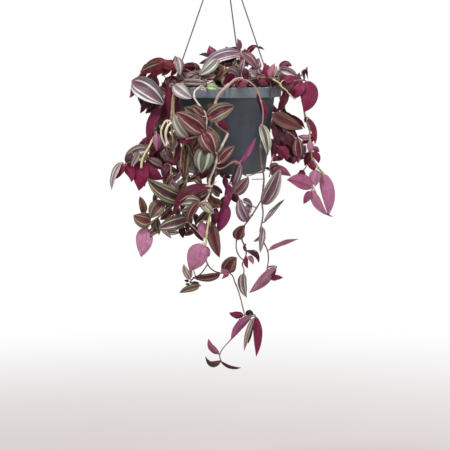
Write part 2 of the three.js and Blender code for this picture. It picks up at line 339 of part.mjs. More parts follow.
      { r: 1.5, path: [[56.57, -18.4, -267.87], [58.06, -19.15, -258.13], [59.73, -19.74, -253.52], [63.19, -20.3, -250.11], [72.28, -21.26, -246.39], [82.02, -21.96, -244.79], [91.85, -22.02, -245.67], [101.29, -21.88, -248.64], [109.81, -22.59, -253.54], [116.66, -23.92, -260.53], [120.87, -25.15, -269.35], [130.66, -32.39, -312.14], [135.14, -34.55, -331.05], [140.16, -38.54, -369.76], [157.21, -42, -393.78]] },
      { r: 0.85, path: [[139.86, -38.29, -367.41], [125.93, -29, -387.71]] },
      { r: 1.05, path: [[146.06, -39.73, -378.06], [144.95, -51.87, -399.64], [139.51, -56, -412.89]] },
    ],
    leaves: [
      [[154.76, -44, -392.08], [167.8, -55, -422.63], [163.34, -50, -456.99], [0.9807, -0.1347, 0.1421], 22.25, 12, [155.74, -41.7, -391.71], 0, 2],
      [[138.63, -58, -411.95], [121.07, -67, -396.52], [99.11, -60, -400.18], [-0.2739, -0.1659, -0.9473], 23.75, 12, [140.02, -55.61, -411.65], 0, 2],
      [[138.76, -56, -416], [145.29, -61, -438.55], [163.1, -54, -455.82], [0.7939, 0.3425, 0.5024], 16.81, 22, [140.02, -55.61, -411.65], 0, 2],
      [[143.54, -50, -385.43], [143.19, -58, -397.24], [143.47, -54, -409.95], [0.9962, 0.0853, -0.017], 19.94, 12, [145.54, -45.39, -388.12], 1, 2],
      [[89.55, -28, -231.5], [104.92, -37, -231.52], [115.73, -34, -242.99], [-0.29, 0.3998, -0.8695], 18.15, 20, [88.35, -22, -245.35], 1, 2],
      [[132.3, -34, -304.89], [147.92, -36, -323.6], [142.83, -30, -347.84], [0.755, 0.6095, 0.2419], 12.95, 20, [129.26, -31.35, -306.03], 0, 2],
      [[70.23, -9.17, -254.58], [87.34, -24.37, -244.53], [91.78, -37.78, -250.47], [-0.7078, -0.1365, 0.6931], 18.33, 14, [66.61, -20.66, -248.71], 1, 2],
    ],
  },
  shoot_right_inner: {
    colour: 0x5a3a3c,
    stems: [
      { r: 1.4, path: [[57.13, 7.36, -267.45], [59.5, 5.46, -263.57], [64.37, 4.59, -255.03], [68.15, 2.45, -252.84], [76.06, -3.43, -252.12], [83.68, -9.6, -253.46], [90.81, -15.47, -257.32], [93.44, -18.2, -260.31], [95.27, -20.82, -264.06], [95.7, -24.87, -273.04], [86.46, -37.27, -309.29], [89.84, -40.21, -317.86], [108.64, -44.15, -333.17], [117.11, -44, -345.12], [121.71, -44, -364.36]] },
      { r: 1.2, path: [[86.46, -37.27, -309.29], [84.72, -35.04, -311.12], [80.93, -42.27, -352.53], [73.79, -52.96, -377.96], [72.86, -57.29, -391.22], [71.37, -58, -395.69]] },
    ],
    leaves: [
      [[76.99, -40, -299.22], [98.92, -48, -314.44], [125.61, -36, -322.17], [-0.4102, -0.1627, -0.8974], 23.33, 20, [87.91, -35.33, -303.61], 1, 2],
      [[96.38, -42, -325.45], [102.95, -50, -336.09], [104.07, -46, -349.25], [0.9522, 0.0846, 0.2934], 27.3, 14, [97.51, -41.82, -324.11], 0, 2],
      [[118.16, -44, -364.88], [116.44, -52, -349.28], [115.4, -44, -334.64], [0.9803, -0.1759, 0.0897], 20.55, 18, [121.31, -44, -362.69], 0, 2],
      [[82.52, -38, -314.79], [84.63, -47, -330.63], [87.09, -44, -347.04], [0.9826, 0.1481, 0.1117], 17.86, 14, [84.33, -35.78, -315.34], 0, 2],
      [[71.29, -60, -384.71], [90.69, -65, -380.48], [105.34, -58, -394.91], [0.2667, 0.2316, 0.9356], 16.43, 18, [73.21, -55.67, -386.26], 1, 2],
      [[97.5, -30, -262.4], [96.46, -37, -281.83], [84.08, -36, -297.06], [0.8836, -0.3776, -0.2769], 13.93, 18, [95.37, -21.79, -266.21], 1, 2],
      [[86.98, -48, -349.91], [93.7, -56, -359.1], [100.83, -52, -369.02], [0.7994, -0.0775, 0.5958], 19.19, 14, [81.12, -41.9, -350.44], 1, 2],
      [[79.37, -42, -336.3], [80.79, -48, -353.29], [76.26, -46, -370.18], [0.9557, -0.2894, -0.0536], 13.23, 14, [82.35, -39.56, -337], 0, 2],
    ],
  },
  shoot_crest_centre: {
    colour: 0x84666c,
    stems: [
      { r: 1.75, path: [[13.56, -22.08, -265.12], [13.96, -23.42, -255.9], [16.92, -25.84, -242.41], [27.35, -24.09, -216.54], [29.06, -22, -207.59]] },
      { r: 1.35, path: [[17.53, -25.74, -240.88], [5.4, -35.39, -229.41], [-10.47, -42, -220.56]] },
    ],
    leaves: [
      [[28.69, -28, -206.79], [-11.88, -45, -203.55], [-35.18, -42, -236.54], [-0.4573, 0.3391, 0.8221], 22.05, 20, [28.68, -22.46, -209.55], 1, 2],
      [[-7.37, -44, -214.71], [-20.4, -54, -229.11], [-37.35, -52, -238.84], [-0.637, 0.4014, 0.6581], 19.84, 20, [-9.32, -41.52, -221.2], 1, 2],
      [[28.21, -30, -206.79], [44.85, -41, -214.7], [52.86, -40, -231.34], [-0.7184, -0.432, -0.5452], 18.59, 20, [28.59, -22.58, -210.06], 1, 2],
      [[20.54, -18, -216.13], [7.29, -24, -218.79], [-5.91, -22, -221.52], [-0.2439, 0.472, 0.8472], 11.17, 18, [26.68, -24.2, -218.19], 1, 2],
      [[1.88, -40, -225.19], [-11.84, -47, -232.65], [-27.41, -46, -234.33], [-0.1959, -0.4049, 0.8931], 9.1, 20, [0.15, -37.58, -226.48], 0, 2],
      [[26.74, -20, -203.73], [13.44, -26, -203.82], [3.42, -24, -195.23], [-0.3737, 0.4167, -0.8287], 8.07, 16, [28.8, -22.31, -208.93], 1, 2],
      [[15.04, -2.39, -253.05], [26.46, -9.8, -234.62], [37.88, -17.21, -236.2], [-0.5741, -0.8166, 0.06], 14.96, 16, [13.96, -23.4, -256.05], 1, 2],
    ],
  },
  shoot_crest_left: {
    colour: 0x80706c,
    stems: [
      { r: 1.35, path: [[-15.17, -7.36, -265.2], [-16.16, -7.53, -256.07], [-17.68, -8.67, -251.92], [-24.9, -15.49, -242.41], [-36.99, -24, -231.55]] },
      { r: 1.25, path: [[-23.4, -14.07, -244.39], [-16.52, -3.4, -225.4], [-13.82, 0, -212.36]] },
    ],
    leaves: [
      [[-30.54, -43, -238.99], [-42.78, -50, -242.72], [-55.12, -49, -246.57], [-0.1678, -0.4317, 0.8863], 16.65, 20, [-36.07, -23.35, -232.38], 1, 2],
      [[-35.25, -37, -232.92], [-46.71, -41, -239.72], [-59.91, -41, -237.48], [-0.2248, 0.3488, 0.9098], 8.79, 20, [-36.07, -23.35, -232.38], 1, 2],
      [[-8.43, -12.96, -258.95], [-20.02, -17.14, -239.98], [-31.61, -21.32, -241.01], [-0.1389, 0.9542, 0.2651], 13.84, 16, [-15.77, -7.46, -259.64], 1, 2],
      [[-7.34, -21.63, -255.29], [-20.69, -27.07, -240.67], [-34.03, -32.5, -246.05], [-0.2594, 0.9107, 0.3214], 13.75, 16, [-16.59, -7.85, -254.9], 1, 2],
      [[-15.42, -3.69, -259.37], [-28.16, -10.43, -244.96], [-40.91, -17.18, -250.54], [-0.3299, 0.8672, 0.3731], 13.28, 16, [-15.79, -7.47, -259.48], 0, 2],
    ],
  },
  shoot_crest_right: {
    colour: 0x8a6a74,
    stems: [
      { r: 1.3, path: [[45.36, -3.68, -266.12], [45.92, -3.71, -261.33], [47.67, -3.57, -256.82], [49.26, -4.45, -252.38], [51.34, -9.17, -244.2], [54.8, -12.04, -235.69], [56.94, -15.07, -233.05], [59.2, -23.73, -236.53], [61.63, -32.47, -239.73], [66.64, -46, -241.25]] },
      { r: 1.15, path: [[51.99, -9.71, -242.59], [44.98, 9.6, -223.26], [38.09, 16, -206.97]] },
      { r: 1.25, path: [[51.99, -9.71, -242.59], [65.44, -3.95, -239.41], [88.68, 2.02, -233.52], [97.71, 1, -237.41], [110.97, -2.43, -243.4], [115.63, -3.84, -244.34], [120.05, -5.01, -242.55], [123.93, -6, -239.59]] },
    ],
    leaves: [

    ],
  },
  shoot_left_inner: {
    colour: 0x5f3444,
    stems: [
      { r: 1.45, path: [[-38.42, 5.52, -266.24], [-39.01, 5.64, -261.36], [-40.48, 6.33, -256.71], [-43.23, 5.47, -252.81], [-50.36, 0.64, -248.07], [-61.24, -8.52, -244.13], [-67.87, -15.8, -243.92], [-73.87, -23.39, -245.75], [-78.89, -30.51, -250.28], [-82.57, -36.68, -257.02], [-85.81, -41.39, -265.04], [-94.95, -47.61, -297.64], [-102.72, -47.88, -336.25], [-104.43, -51.47, -380.4], [-104.88, -52, -385.28]] },
    ],
    leaves: [
      [[-100.14, -43, -274.41], [-106.24, -46, -285.1], [-112.69, -41, -296.09], [0.7948, 0.4384, -0.4196], 26.42, 14, [-89.26, -43.73, -277.32], 1, 2],
      [[-99.77, -62, -366.05], [-91.93, -67, -376.51], [-84.38, -64, -387.51], [0.7892, -0.1908, 0.5838], 22.03, 20, [-103.91, -50.37, -366.84], 1, 2],
      [[-99.69, -63, -353.66], [-98, -68, -365.66], [-96.63, -65, -378.19], [0.8999, -0.4111, 0.1457], 20.2, 20, [-103.43, -49.37, -354.62], 1, 2],
      [[-88.79, -58, -272.43], [-90.61, -63, -291.43], [-92.71, -60, -310.74], [0.8538, -0.517, -0.0602], 13.68, 20, [-88.68, -43.34, -275.27], 1, 2],
      [[-97.01, -45, -283.6], [-108.46, -49, -290.4], [-120.26, -45, -297.49], [-0.4804, 0.3504, 0.804], 14.02, 20, [-91.44, -45.22, -285.12], 1, 2],
      [[-115.39, -48, -277.34], [-123.57, -51, -286.18], [-126.7, -46, -298.22], [0.7687, -0.4452, -0.4592], 13.04, 20, [-91.31, -45.13, -284.64], 1, 2],
    ],
  },
  shoot_centre_inner: {
    colour: 0x5c4a42,
    stems: [
      { r: 1.5, path: [[-20.86, -48.77, -267.82], [-23.59, -46.73, -264.23], [-27.04, -49.2, -255.33], [-29.24, -51.16, -251.32], [-33.08, -52.94, -248.84], [-42.5, -55.93, -247.96], [-56.9, -59.33, -249.89], [-61.54, -59.96, -251.56], [-65.63, -59.8, -254.32], [-71.43, -56.78, -261.8], [-73.65, -55.86, -266.14], [-75.15, -57.06, -270.67], [-73.95, -81.1, -302.25], [-67.41, -90.96, -323.97], [-60.85, -92.98, -342.54], [-55.89, -92.16, -361.76], [-50.84, -96.16, -375.09], [-57.43, -97, -419.32], [-57.82, -97, -424.28]] },
      { r: 1.2, path: [[-62.74, -92.4, -337.19], [-57.9, -99.33, -335.47], [-63.14, -96.25, -362.99], [-62, -97, -391.22]] },
    ],
    leaves: [
      [[-80.98, -60, -254], [-78.94, -67, -281.45], [-83.41, -62, -309.11], [0.82, 0.5695, -0.0567], 15.62, 20, [-70.69, -57.16, -260.84], 1, 2],
      [[-59.01, -90, -342.9], [-60.88, -96, -368.99], [-68.94, -94, -394.49], [0.9009, -0.4103, -0.1416], 14.29, 20, [-60.62, -92.94, -343.44], 0, 2],
      [[-54.31, -96, -345.6], [-56.13, -102, -371.06], [-58.14, -100, -397.09], [-0.8936, -0.4374, 0.1005], 12.48, 20, [-59.69, -98.28, -344.84], 1, 2],
      [[-48.27, -94, -341.15], [-51.25, -99, -362.89], [-54.4, -96, -385.19], [-0.9051, 0.4114, 0.1075], 14.27, 20, [-58.71, -98.85, -339.71], 1, 2],
      [[-43.76, -92, -351.92], [-41.42, -97, -369.88], [-39.22, -94, -388.39], [-0.8757, -0.4757, -0.0829], 16.08, 18, [-57.43, -92.5, -355.45], 1, 2],
      [[-65.21, -87, -355.28], [-67.03, -92, -373.26], [-69.07, -89, -391.82], [-0.82, -0.5602, 0.1173], 15.28, 18, [-57.98, -92.51, -353.64], 1, 2],
      [[-71.17, -90, -336.81], [-69.26, -95, -354.78], [-67.56, -92, -373.27], [0.8496, -0.5153, 0.1123], 15.26, 18, [-63.87, -92.05, -334.01], 1, 2],
      [[-52.97, -98, -446.14], [-54.06, -102, -461.04], [-55.33, -98, -476.8], [-0.932, -0.3554, 0.0717], 15.46, 20, [-57.71, -97, -422.89], 1, 2],
      [[-57.47, -96, -394.34], [-64.22, -101, -406.15], [-71.18, -98, -418.61], [-0.8116, -0.3251, 0.4854], 13.75, 20, [-53.79, -96.53, -394.88], 0, 2],
      [[-52.79, -104, -421.15], [-58.01, -109, -431.37], [-63.43, -106, -442.32], [0.8332, 0.3225, -0.4491], 15.42, 20, [-57.54, -97, -420.77], 1, 2],
      [[-55.96, -100, -439.83], [-58.22, -102.5, -453.34], [-60.67, -97, -467.7], [0.923, -0.3336, -0.1919], 12.02, 20, [-57.71, -97, -422.89], 1, 2],
      [[-52.63, -103, -339.14], [-46.11, -108.5, -353.21], [-39.75, -106, -367.76], [-0.8275, -0.4585, -0.3242], 10.67, 20, [-58.31, -99.09, -337.62], 1, 2],
      [[-65.06, -94, -367.03], [-61.9, -100, -381.86], [-58.95, -98, -397.24], [-0.8938, 0.384, -0.2316], 10.7, 20, [-62.98, -96.35, -366.89], 0, 2],
    ],
  },
  shoot_side_left_2: {
    colour: 0x6d4a58,
    stems: [
      { r: 1.5, path: [[-30.74, 19, -265.99], [-31.45, 19.38, -261.25], [-38.76, 23.27, -256.09], [-51.01, 29.78, -251.13], [-63.76, 36.93, -249.42], [-72.66, 40.63, -251.01], [-77.01, 41.73, -253.01], [-81.03, 42.09, -255.79], [-84.38, 41.43, -259.3], [-91.14, 36.8, -271.51], [-97.36, 26.6, -298.38], [-99.34, 16.8, -341.42], [-98.98, 14.61, -356]] },
    ],
    leaves: [
      [[-99.15, 16.17, -346.16], [-112.88, 40.7, -355.42], [-112.6, 57.51, -384.68], [0.7548, 0.5065, 0.4169], 21.61, 22, [-99.22, 16.09, -346.15], 0, 2],
      [[-99.28, 18.96, -329.54], [-121.61, 8.62, -341.11], [-128.21, -4.58, -372.67], [0.0332, 0.7808, -0.6239], 20.94, 22, [-98.8, 19.47, -329.68], 0, 2],
      [[-98.67, 21.93, -316.47], [-117.72, 35.64, -323.47], [-120.94, 51.62, -350.47], [0.3616, 0.7258, 0.5852], 19.32, 14, [-98.2, 22.45, -316.61], 0, 2],
      [[-93.57, 33.07, -280.32], [-105.05, 53.23, -284.43], [-101.37, 68.3, -308.53], [0.2827, 0.4874, 0.8262], 18.33, 22, [-93.23, 33.38, -280.52], 0, 2],
      [[-75.65, 40.85, -253.21], [-87.19, 63.7, -248.12], [-84.47, 79.31, -263.03], [0.5179, 0.1179, 0.8473], 17.08, 18, [-75.84, 41.43, -252.47], 0, 2],
      [[-96.96, 27, -297.87], [-109.06, 40.98, -298.24], [-105.7, 50.86, -318.61], [0.4059, 0.559, 0.723], 12.98, 18, [-97.22, 26.84, -297.75], 0, 2],
    ],
  },
  shoot_side_right_2: {
    colour: 0x6f4f54,
    stems: [
      { r: 1.5, path: [[48.49, 7.67, -266.22], [49.33, 7.82, -261.51], [57.49, 9.26, -256.35], [70.99, 11.64, -251.03], [80.38, 13.29, -248.81], [85.15, 14.13, -249.38], [89.44, 14.89, -251.6], [92.93, 15.5, -254.96], [94.87, 15.88, -259.4], [95.89, 15.73, -274.07], [97, 15.48, -303.39], [99.86, 15.12, -347.37], [99.54, 16.67, -362]] },
    ],
    leaves: [
      [[96.74, 14.95, -296.33], [109.03, 36.38, -305.38], [105.54, 55.24, -334.43], [0.6713, -0.4991, -0.548], 22.97, 18, [96.73, 15.54, -296.34], 0, 2],
      [[99.56, 16.56, -360.86], [114.44, 40.34, -362.36], [113.56, 61.36, -383.85], [0.6458, -0.3656, -0.6703], 21.62, 22, [99.6, 16.4, -359.47], 0, 2],
      [[98.45, 15.82, -326.67], [114.22, 37.71, -327.79], [114.23, 56.94, -348.92], [0.5848, -0.4099, -0.6999], 22.31, 18, [98.52, 15.29, -326.66], 0, 2],
      [[80.07, 13.24, -249.71], [97.92, 35.09, -243.88], [100.01, 54.17, -258.06], [0.5883, -0.1792, -0.7886], 20.88, 22, [79.89, 13.21, -248.92], 0, 2],
      [[64.93, 22.33, -260.97], [83.7, 11.35, -248.99], [102.48, 0.36, -257.01], [-0.5109, -0.8422, 0.172], 19.89, 16, [64.17, 10.43, -253.72], 1, 2],
      [[63.96, 10.4, -254.58], [88.23, 1.4, -243.55], [96.73, -10.37, -252.52], [-0.4764, -0.2006, 0.856], 19.39, 22, [63.7, 10.35, -253.91], 0, 2],
      [[93.97, 15.69, -258.4], [117.71, 5.12, -248.28], [125.69, -8.23, -258.17], [-0.5141, -0.3347, 0.7897], 17.64, 18, [94.36, 15.78, -258.22], 0, 2],
      [[97.1, 41.46, -311.26], [118.5, 49.52, -308.49], [132.97, 43.15, -325.71], [0.1408, -0.6718, 0.7272], 18.03, 18, [97.5, 15.42, -311.01], 1, 2],
      [[99.73, 15.07, -343.8], [119.57, 2.44, -343.77], [123.62, -12.71, -363.74], [-0.4973, -0.6451, 0.5801], 16.63, 22, [99.63, 15.15, -343.81], 0, 2],
      [[89.97, 38.55, -251.06], [110.59, 22.49, -247.53], [115.81, 10.75, -263.99], [-0.3231, -0.492, 0.8084], 17.15, 14, [91.58, 15.27, -253.66], 1, 2],
      [[97.42, 16.07, -311.56], [117.27, 9.77, -308.7], [121.36, 0.73, -325.85], [-0.2913, -0.7337, 0.6139], 13.74, 18, [97.53, 15.41, -311.54], 0, 2],
    ],
  },
  shoot_lowest_trailer: {
    colour: 0x7a5a5c,
    stems: [
      { r: 1.1, path: [[12.05, -46, -266.66], [12.64, -47.48, -256.84], [12.67, -49.93, -252.74], [11.81, -54.57, -251.29], [8.35, -69.2, -251.93], [3.69, -82.82, -255.46], [1.64, -86.97, -258.24], [-3.11, -92.21, -264.87], [-8.49, -93.91, -273.05], [-17.66, -97.95, -316.62], [-16.8, -99.04, -346.34], [-10.23, -105.22, -379.94], [-18.85, -110.73, -423.56], [-24.75, -114.18, -467.8], [-26.06, -113.72, -507.56], [-22.22, -109.42, -526.44], [-11.86, -105.73, -536.26], [2.22, -102.71, -539], [11.97, -101.02, -538.93], [26.39, -101, -575.81], [33.6, -100, -609.53], [8.61, -100, -646.64], [-3.75, -100, -662.26], [-3.99, -100, -671.97], [-2.73, -100, -676.76]] },
      { r: 0.9, path: [[-22.65, -109.9, -524.35], [-33.73, -108.45, -539.79], [-46, -107.99, -547.11], [-49.95, -108, -555.48]] },
    ],
    leaves: [
      [[50.2, -98, -607.16], [60.64, -105, -636.69], [49.82, -100, -668.2], [0.9002, 0.435, -0.0199], 17.21, 20, [33.6, -100, -609.53], 1, 2],
      [[43.24, -102, -608.08], [20.85, -109, -618.42], [12.31, -104, -643.09], [0.7063, 0.3001, -0.6412], 15.88, 20, [33.6, -100, -609.53], 1, 2],
      [[4.94, -108, -537.03], [8.45, -117, -521.04], [21.68, -110, -514.52], [0.8036, 0.061, -0.5921], 24.69, 22, [3.99, -102.4, -538.98], 1, 2],
      [[-4.2, -108, -539.33], [-24.75, -114, -546.54], [-46.88, -108, -546.25], [-0.1443, -0.4309, 0.8908], 15.78, 24, [-4.69, -104.19, -537.65], 0, 2],
      [[48.57, -104, -608.54], [37.36, -109, -632.67], [32.08, -106, -660.12], [-0.799, 0.554, 0.234], 11.1, 30, [33.6, -100, -609.53], 1, 2],
      [[-35.5, -106, -558.84], [-52.13, -113, -558.88], [-66, -108, -569.33], [-0.2675, -0.4345, 0.86], 14.8, 24, [-48.61, -108, -552.64], 1, 2],
      [[-5.79, -101, -665.22], [-21.31, -106, -657.19], [-21.41, -103, -640.47], [-0.8289, 0.2439, -0.5034], 12.01, 20, [-3.82, -100, -665.26], 0, 2],
      [[-49.85, -112, -547.24], [-58.55, -116, -536.91], [-58.93, -112, -524.24], [0.8499, 0.4067, 0.3352], 12.5, 26, [-46.76, -107.99, -548.72], 1, 2],
      [[44.82, -100, -615.37], [44.32, -105, -632.22], [37.94, -102, -649.18], [-0.8304, 0.54, 0.137], 10.1, 30, [33.6, -100, -609.53], 1, 2],
      [[-2.72, -101, -675.8], [-20.81, -108, -689.89], [-26.81, -103, -667.65], [0.1825, 0.6831, 0.7071], 12.85, 24, [-3.32, -100, -674.51], 0, 2],
      [[-2.72, -101, -675.8], [10.85, -105, -686.39], [28.47, -101, -686.71], [0.1893, 0.8191, 0.5415], 8.21, 24, [-3.32, -100, -674.51], 0, 2],
      [[4.54, -65.43, -254.65], [11.69, -76.49, -236.03], [18.85, -87.54, -237.4], [-0.8844, -0.2823, 0.3717], 13.94, 16, [8.96, -66.6, -251.82], 1, 2],
    ],
  },
  shoot_rear_1: {
    colour: 0x6f4f54,
    stems: [
      { r: 1.5, path: [[45.94, 16.54, -266.22], [46.77, 16.88, -261.49], [57.92, 21.2, -252.69], [65.97, 25.04, -248.42], [74.25, 29.8, -245.89], [78.48, 32.32, -246.06], [82.45, 34.72, -247.75], [85.96, 36.9, -250.47], [88.83, 38.75, -254.04], [90.57, 40, -258.48], [91.52, 41.19, -273.23], [94.51, 40.21, -307.67], [94.76, 39.34, -352.14], [94.37, 40.21, -362]] },
    ],
    leaves: [
      [[94.66, 39.55, -329.49], [109.62, 62.72, -340.28], [109.94, 79.43, -371.06], [0.3359, -0.6316, -0.6987], 23.39, 14, [94.63, 39.78, -329.5], 0, 2],
      [[59.36, 21.96, -252.89], [90.41, 30.97, -251.29], [109.58, 29.27, -269.7], [0.0676, -0.9827, 0.1726], 22.87, 14, [59.04, 21.74, -252.09], 0, 2],
      [[27.91, 10.52, -260.19], [43.31, 23.3, -239.42], [58.71, 36.08, -238.66], [0.7348, -0.5435, -0.4059], 20.4, 16, [46.36, 16.71, -263.86], 1, 2],
      [[72.72, 29.04, -247.4], [92.27, 50.25, -236.63], [97.12, 65.15, -245.86], [0.4228, -0.0295, -0.9057], 20.34, 22, [72.54, 28.82, -246.41], 0, 2],
      [[94.16, 40.19, -294.86], [105.23, 61.16, -300.83], [101.7, 75.55, -326.8], [0.5677, -0.5119, -0.6447], 18.03, 14, [93.41, 40.57, -294.93], 0, 2],
      [[94.77, 39.31, -349.23], [119.74, 39.62, -348.96], [133.15, 28.88, -368.68], [0.1514, -0.2822, 0.9473], 18.87, 22, [94.74, 39.39, -349.24], 0, 2],
      [[90.33, 39.98, -263.22], [104.58, 62.87, -260.63], [104.34, 78.97, -278.03], [0.3738, -0.2354, -0.8971], 18.43, 18, [90.87, 40.37, -263.16], 0, 2],
      [[69.34, 23.9, -253.07], [81.7, 12.11, -236.72], [94.06, 0.32, -240.37], [-0.6149, -0.7593, -0.2129], 17.4, 16, [66.88, 25.56, -248.14], 1, 2],
      [[45.81, 14.41, -258.32], [58.46, 8.68, -239.05], [71.11, 2.96, -239.78], [-0.5215, -0.8297, 0.1992], 14.2, 16, [47.1, 17.01, -261.23], 0, 2],
    ],
  },
  shoot_rear_2: {
    colour: 0x75565a,
    stems: [
      { r: 1.5, path: [[32.19, 34.8, -266.22], [32.72, 35.49, -261.51], [40.16, 44.73, -252.76], [45.18, 51.99, -248.5], [49.93, 60.19, -245.93], [52.33, 64.47, -246], [54.54, 68.5, -247.65], [58.08, 75.21, -253.82], [60.47, 79.23, -262.4], [61.66, 82.81, -276.63], [57.88, 88.32, -300.19], [59.83, 89.55, -324.56], [59.9, 87.68, -348.96], [58.44, 90, -373.22], [57.34, 90.38, -378]] },
    ],
    leaves: [
      [[59.79, 85.09, -286.08], [83.55, 93.27, -293.77], [98.65, 87.99, -321.46], [0.3062, -0.8676, 0.3918], 22.62, 18, [60.13, 85.04, -286.15], 0, 2],
      [[58.44, 88.44, -303.48], [52.95, 115.63, -303.85], [39.19, 129.12, -324.22], [0.4038, -0.0168, -0.9147], 21.98, 14, [58.14, 88.49, -303.5], 0, 2],
      [[61.3, 81.5, -272.29], [58.43, 106.83, -279.4], [46.47, 119, -306.51], [0.7212, -0.1263, -0.6811], 20.56, 18, [61.29, 81.7, -272.24], 0, 2],
      [[59.56, 88.03, -335.34], [62.23, 115.92, -339.43], [56.47, 130.2, -363.52], [0.9291, -0.0761, -0.3619], 19.29, 22, [59.86, 88.72, -335.39], 0, 2],
      [[41.1, 46.2, -252.89], [65.64, 57.2, -239.91], [80.34, 55.59, -246.92], [-0.288, -0.3793, 0.8793], 21.62, 14, [40.93, 45.85, -252.1], 0, 2],
      [[36.96, 53.98, -259.38], [42.67, 74.75, -246.65], [48.39, 95.52, -253.91], [0.9325, -0.2856, 0.2212], 19.94, 16, [41.35, 46.46, -251.75], 1, 2],
      [[24.92, 33.21, -259.31], [17.51, 49.41, -238.02], [10.1, 65.62, -236.73], [0.6972, 0.5962, -0.3981], 20.49, 16, [32.72, 35.49, -261.51], 1, 2],
      [[66.48, 40.44, -257.26], [79.71, 57.74, -242.9], [92.94, 75.04, -248.54], [0.7767, -0.4964, -0.3877], 19.45, 16, [44.43, 50.91, -249.14], 1, 2],
      [[25.04, 35.5, -257.54], [40.81, 47.9, -247.15], [56.57, 60.29, -256.75], [0.4484, -0.5916, 0.67], 19.74, 16, [32.72, 35.49, -261.51], 1, 2],
      [[40.79, 30.46, -256.99], [53.17, 42.46, -236.39], [65.54, 54.45, -235.79], [0.596, -0.7807, 0.1878], 19.09, 16, [34.54, 37.74, -259.38], 1, 2],
      [[59.81, 88.04, -349.41], [81.85, 96.52, -350.52], [95.44, 91.42, -371.62], [0.3423, -0.3866, 0.8564], 18.07, 22, [59.94, 87.66, -349.41], 0, 2],
      [[59.77, 89.93, -319.42], [80.76, 100.65, -321.57], [93.42, 97.71, -343.72], [0.4018, -0.7608, 0.5097], 16.43, 14, [59.42, 89.29, -319.48], 0, 2],
      [[59.84, 89.37, -365.56], [55.78, 112.27, -365.51], [43.36, 121.53, -385.46], [0.5143, -0.0165, -0.8575], 16.08, 18, [58.91, 89.26, -365.51], 0, 2],
      [[50.33, 61.07, -246.88], [53.21, 85.67, -236.65], [46.55, 97.43, -246.42], [0.1018, 0.2718, -0.957], 17.29, 14, [50.41, 61.04, -245.94], 0, 2],
      [[58.19, 75.43, -254.51], [80.83, 84.77, -247.59], [94.25, 81.03, -260.67], [-0.0227, -0.3548, 0.9347], 16.36, 18, [58.25, 75.51, -254.46], 0, 2],
    ],
  },
  shoot_rear_3: {
    colour: 0x6c5250,
    stems: [
      { r: 1.5, path: [[14.18, 43.19, -266.22], [14.36, 44.03, -261.54], [16.97, 55.52, -252.83], [18.3, 64.18, -248.56], [18.99, 73.56, -245.96], [19.26, 78.43, -245.95], [19.49, 83.03, -247.52], [19.73, 90.64, -253.56], [20.18, 95.45, -261.99], [20.29, 98.1, -271.39], [19.66, 99.11, -276.12], [12.49, 100.66, -299.14], [18.66, 102.17, -322.46], [10.47, 104.68, -355.44], [4.48, 101.86, -384]] },
    ],
    leaves: [
      [[19.82, 95, -264.01], [7.51, 120.29, -269.2], [-7.27, 129.77, -294.38], [0.8109, 0.4111, -0.4164], 23.52, 14, [20.2, 95.94, -263.74], 0, 2],
      [[16, 101.23, -309.52], [31.96, 125.52, -312.16], [46.19, 133.92, -334.79], [0.6972, -0.7038, 0.1364], 21.09, 18, [15.28, 101.35, -309.7], 0, 2],
      [[15.04, 104.29, -337.09], [31.33, 119.48, -346.16], [46.09, 118.73, -375.23], [0.6963, -0.1967, 0.6903], 19.5, 14, [15.01, 103.29, -337.16], 0, 2],
      [[13.28, 100.33, -294.33], [7.84, 122.46, -301.7], [-4.31, 130.07, -329.08], [0.8996, 0.2302, -0.3711], 20.24, 14, [13.93, 100.35, -294.52], 0, 2],
      [[15.01, 69.81, -255.99], [18.93, 90.89, -239.2], [22.84, 111.97, -242.41], [0.922, -0.0475, -0.3842], 21.98, 16, [18.53, 67.26, -247.71], 1, 2],
      [[26.21, 48.69, -259], [11.56, 65.54, -244.63], [-3.09, 82.4, -250.27], [0.7252, 0.5105, 0.462], 19.35, 16, [15.65, 49.73, -257.21], 1, 2],
      [[18.58, 69.62, -248.01], [3.94, 91.86, -235.33], [-8.2, 98.3, -242.65], [-0.3519, 0.1822, -0.9181], 20.26, 22, [18.68, 69.36, -247.12], 0, 2],
      [[5.13, 32.8, -258.7], [1.36, 53.18, -245.74], [-2.4, 73.56, -252.79], [0.9119, 0.2188, -0.3472], 18.65, 16, [14.36, 44.03, -261.54], 1, 2],
      [[19.11, 99.06, -277.27], [29.13, 119.13, -282.29], [42.45, 123.55, -307.32], [0.7038, -0.0898, 0.7047], 17.09, 14, [19.29, 99.19, -277.32], 0, 2],
      [[16.57, 54.41, -252.89], [23.6, 74.42, -246.81], [32.43, 81.75, -256.73], [0.4934, -0.4027, 0.7709], 15.53, 14, [16.8, 54.75, -253.41], 0, 2],
      [[7.52, 103.58, -368.44], [23.07, 121.25, -368.42], [38.24, 122.93, -388.39], [0.5793, -0.6598, 0.4787], 18.12, 18, [7.73, 103.39, -368.47], 0, 2],
      [[3.48, 34.02, -254.9], [1.15, 52.83, -242.16], [-1.18, 71.65, -249.42], [0.9047, 0.1691, -0.391], 19.12, 16, [14.36, 44.03, -261.54], 1, 2],
      [[10.02, 37.95, -254.22], [-2.72, 47.65, -235.31], [-15.46, 57.35, -236.4], [0.6935, 0.6719, 0.2601], 18.12, 16, [14.36, 44.03, -261.54], 1, 2],
      [[18, 102.26, -322.64], [10.68, 122.25, -325.61], [1.35, 126.37, -348.58], [0.8719, 0.3753, -0.3145], 16.08, 14, [18.58, 102.2, -322.78], 0, 2],
      [[11.65, 104.54, -351.06], [0.24, 125.9, -348.5], [-12.18, 131.29, -365.94], [0.7122, 0.536, -0.4534], 15.94, 14, [11.56, 104.35, -351.05], 0, 2],
      [[6.5, 64.19, -261.54], [9.95, 81.54, -250.37], [13.39, 98.89, -259.2], [0.9809, -0.1942, -0.0076], 15.73, 16, [17.31, 57.71, -251.75], 1, 2],
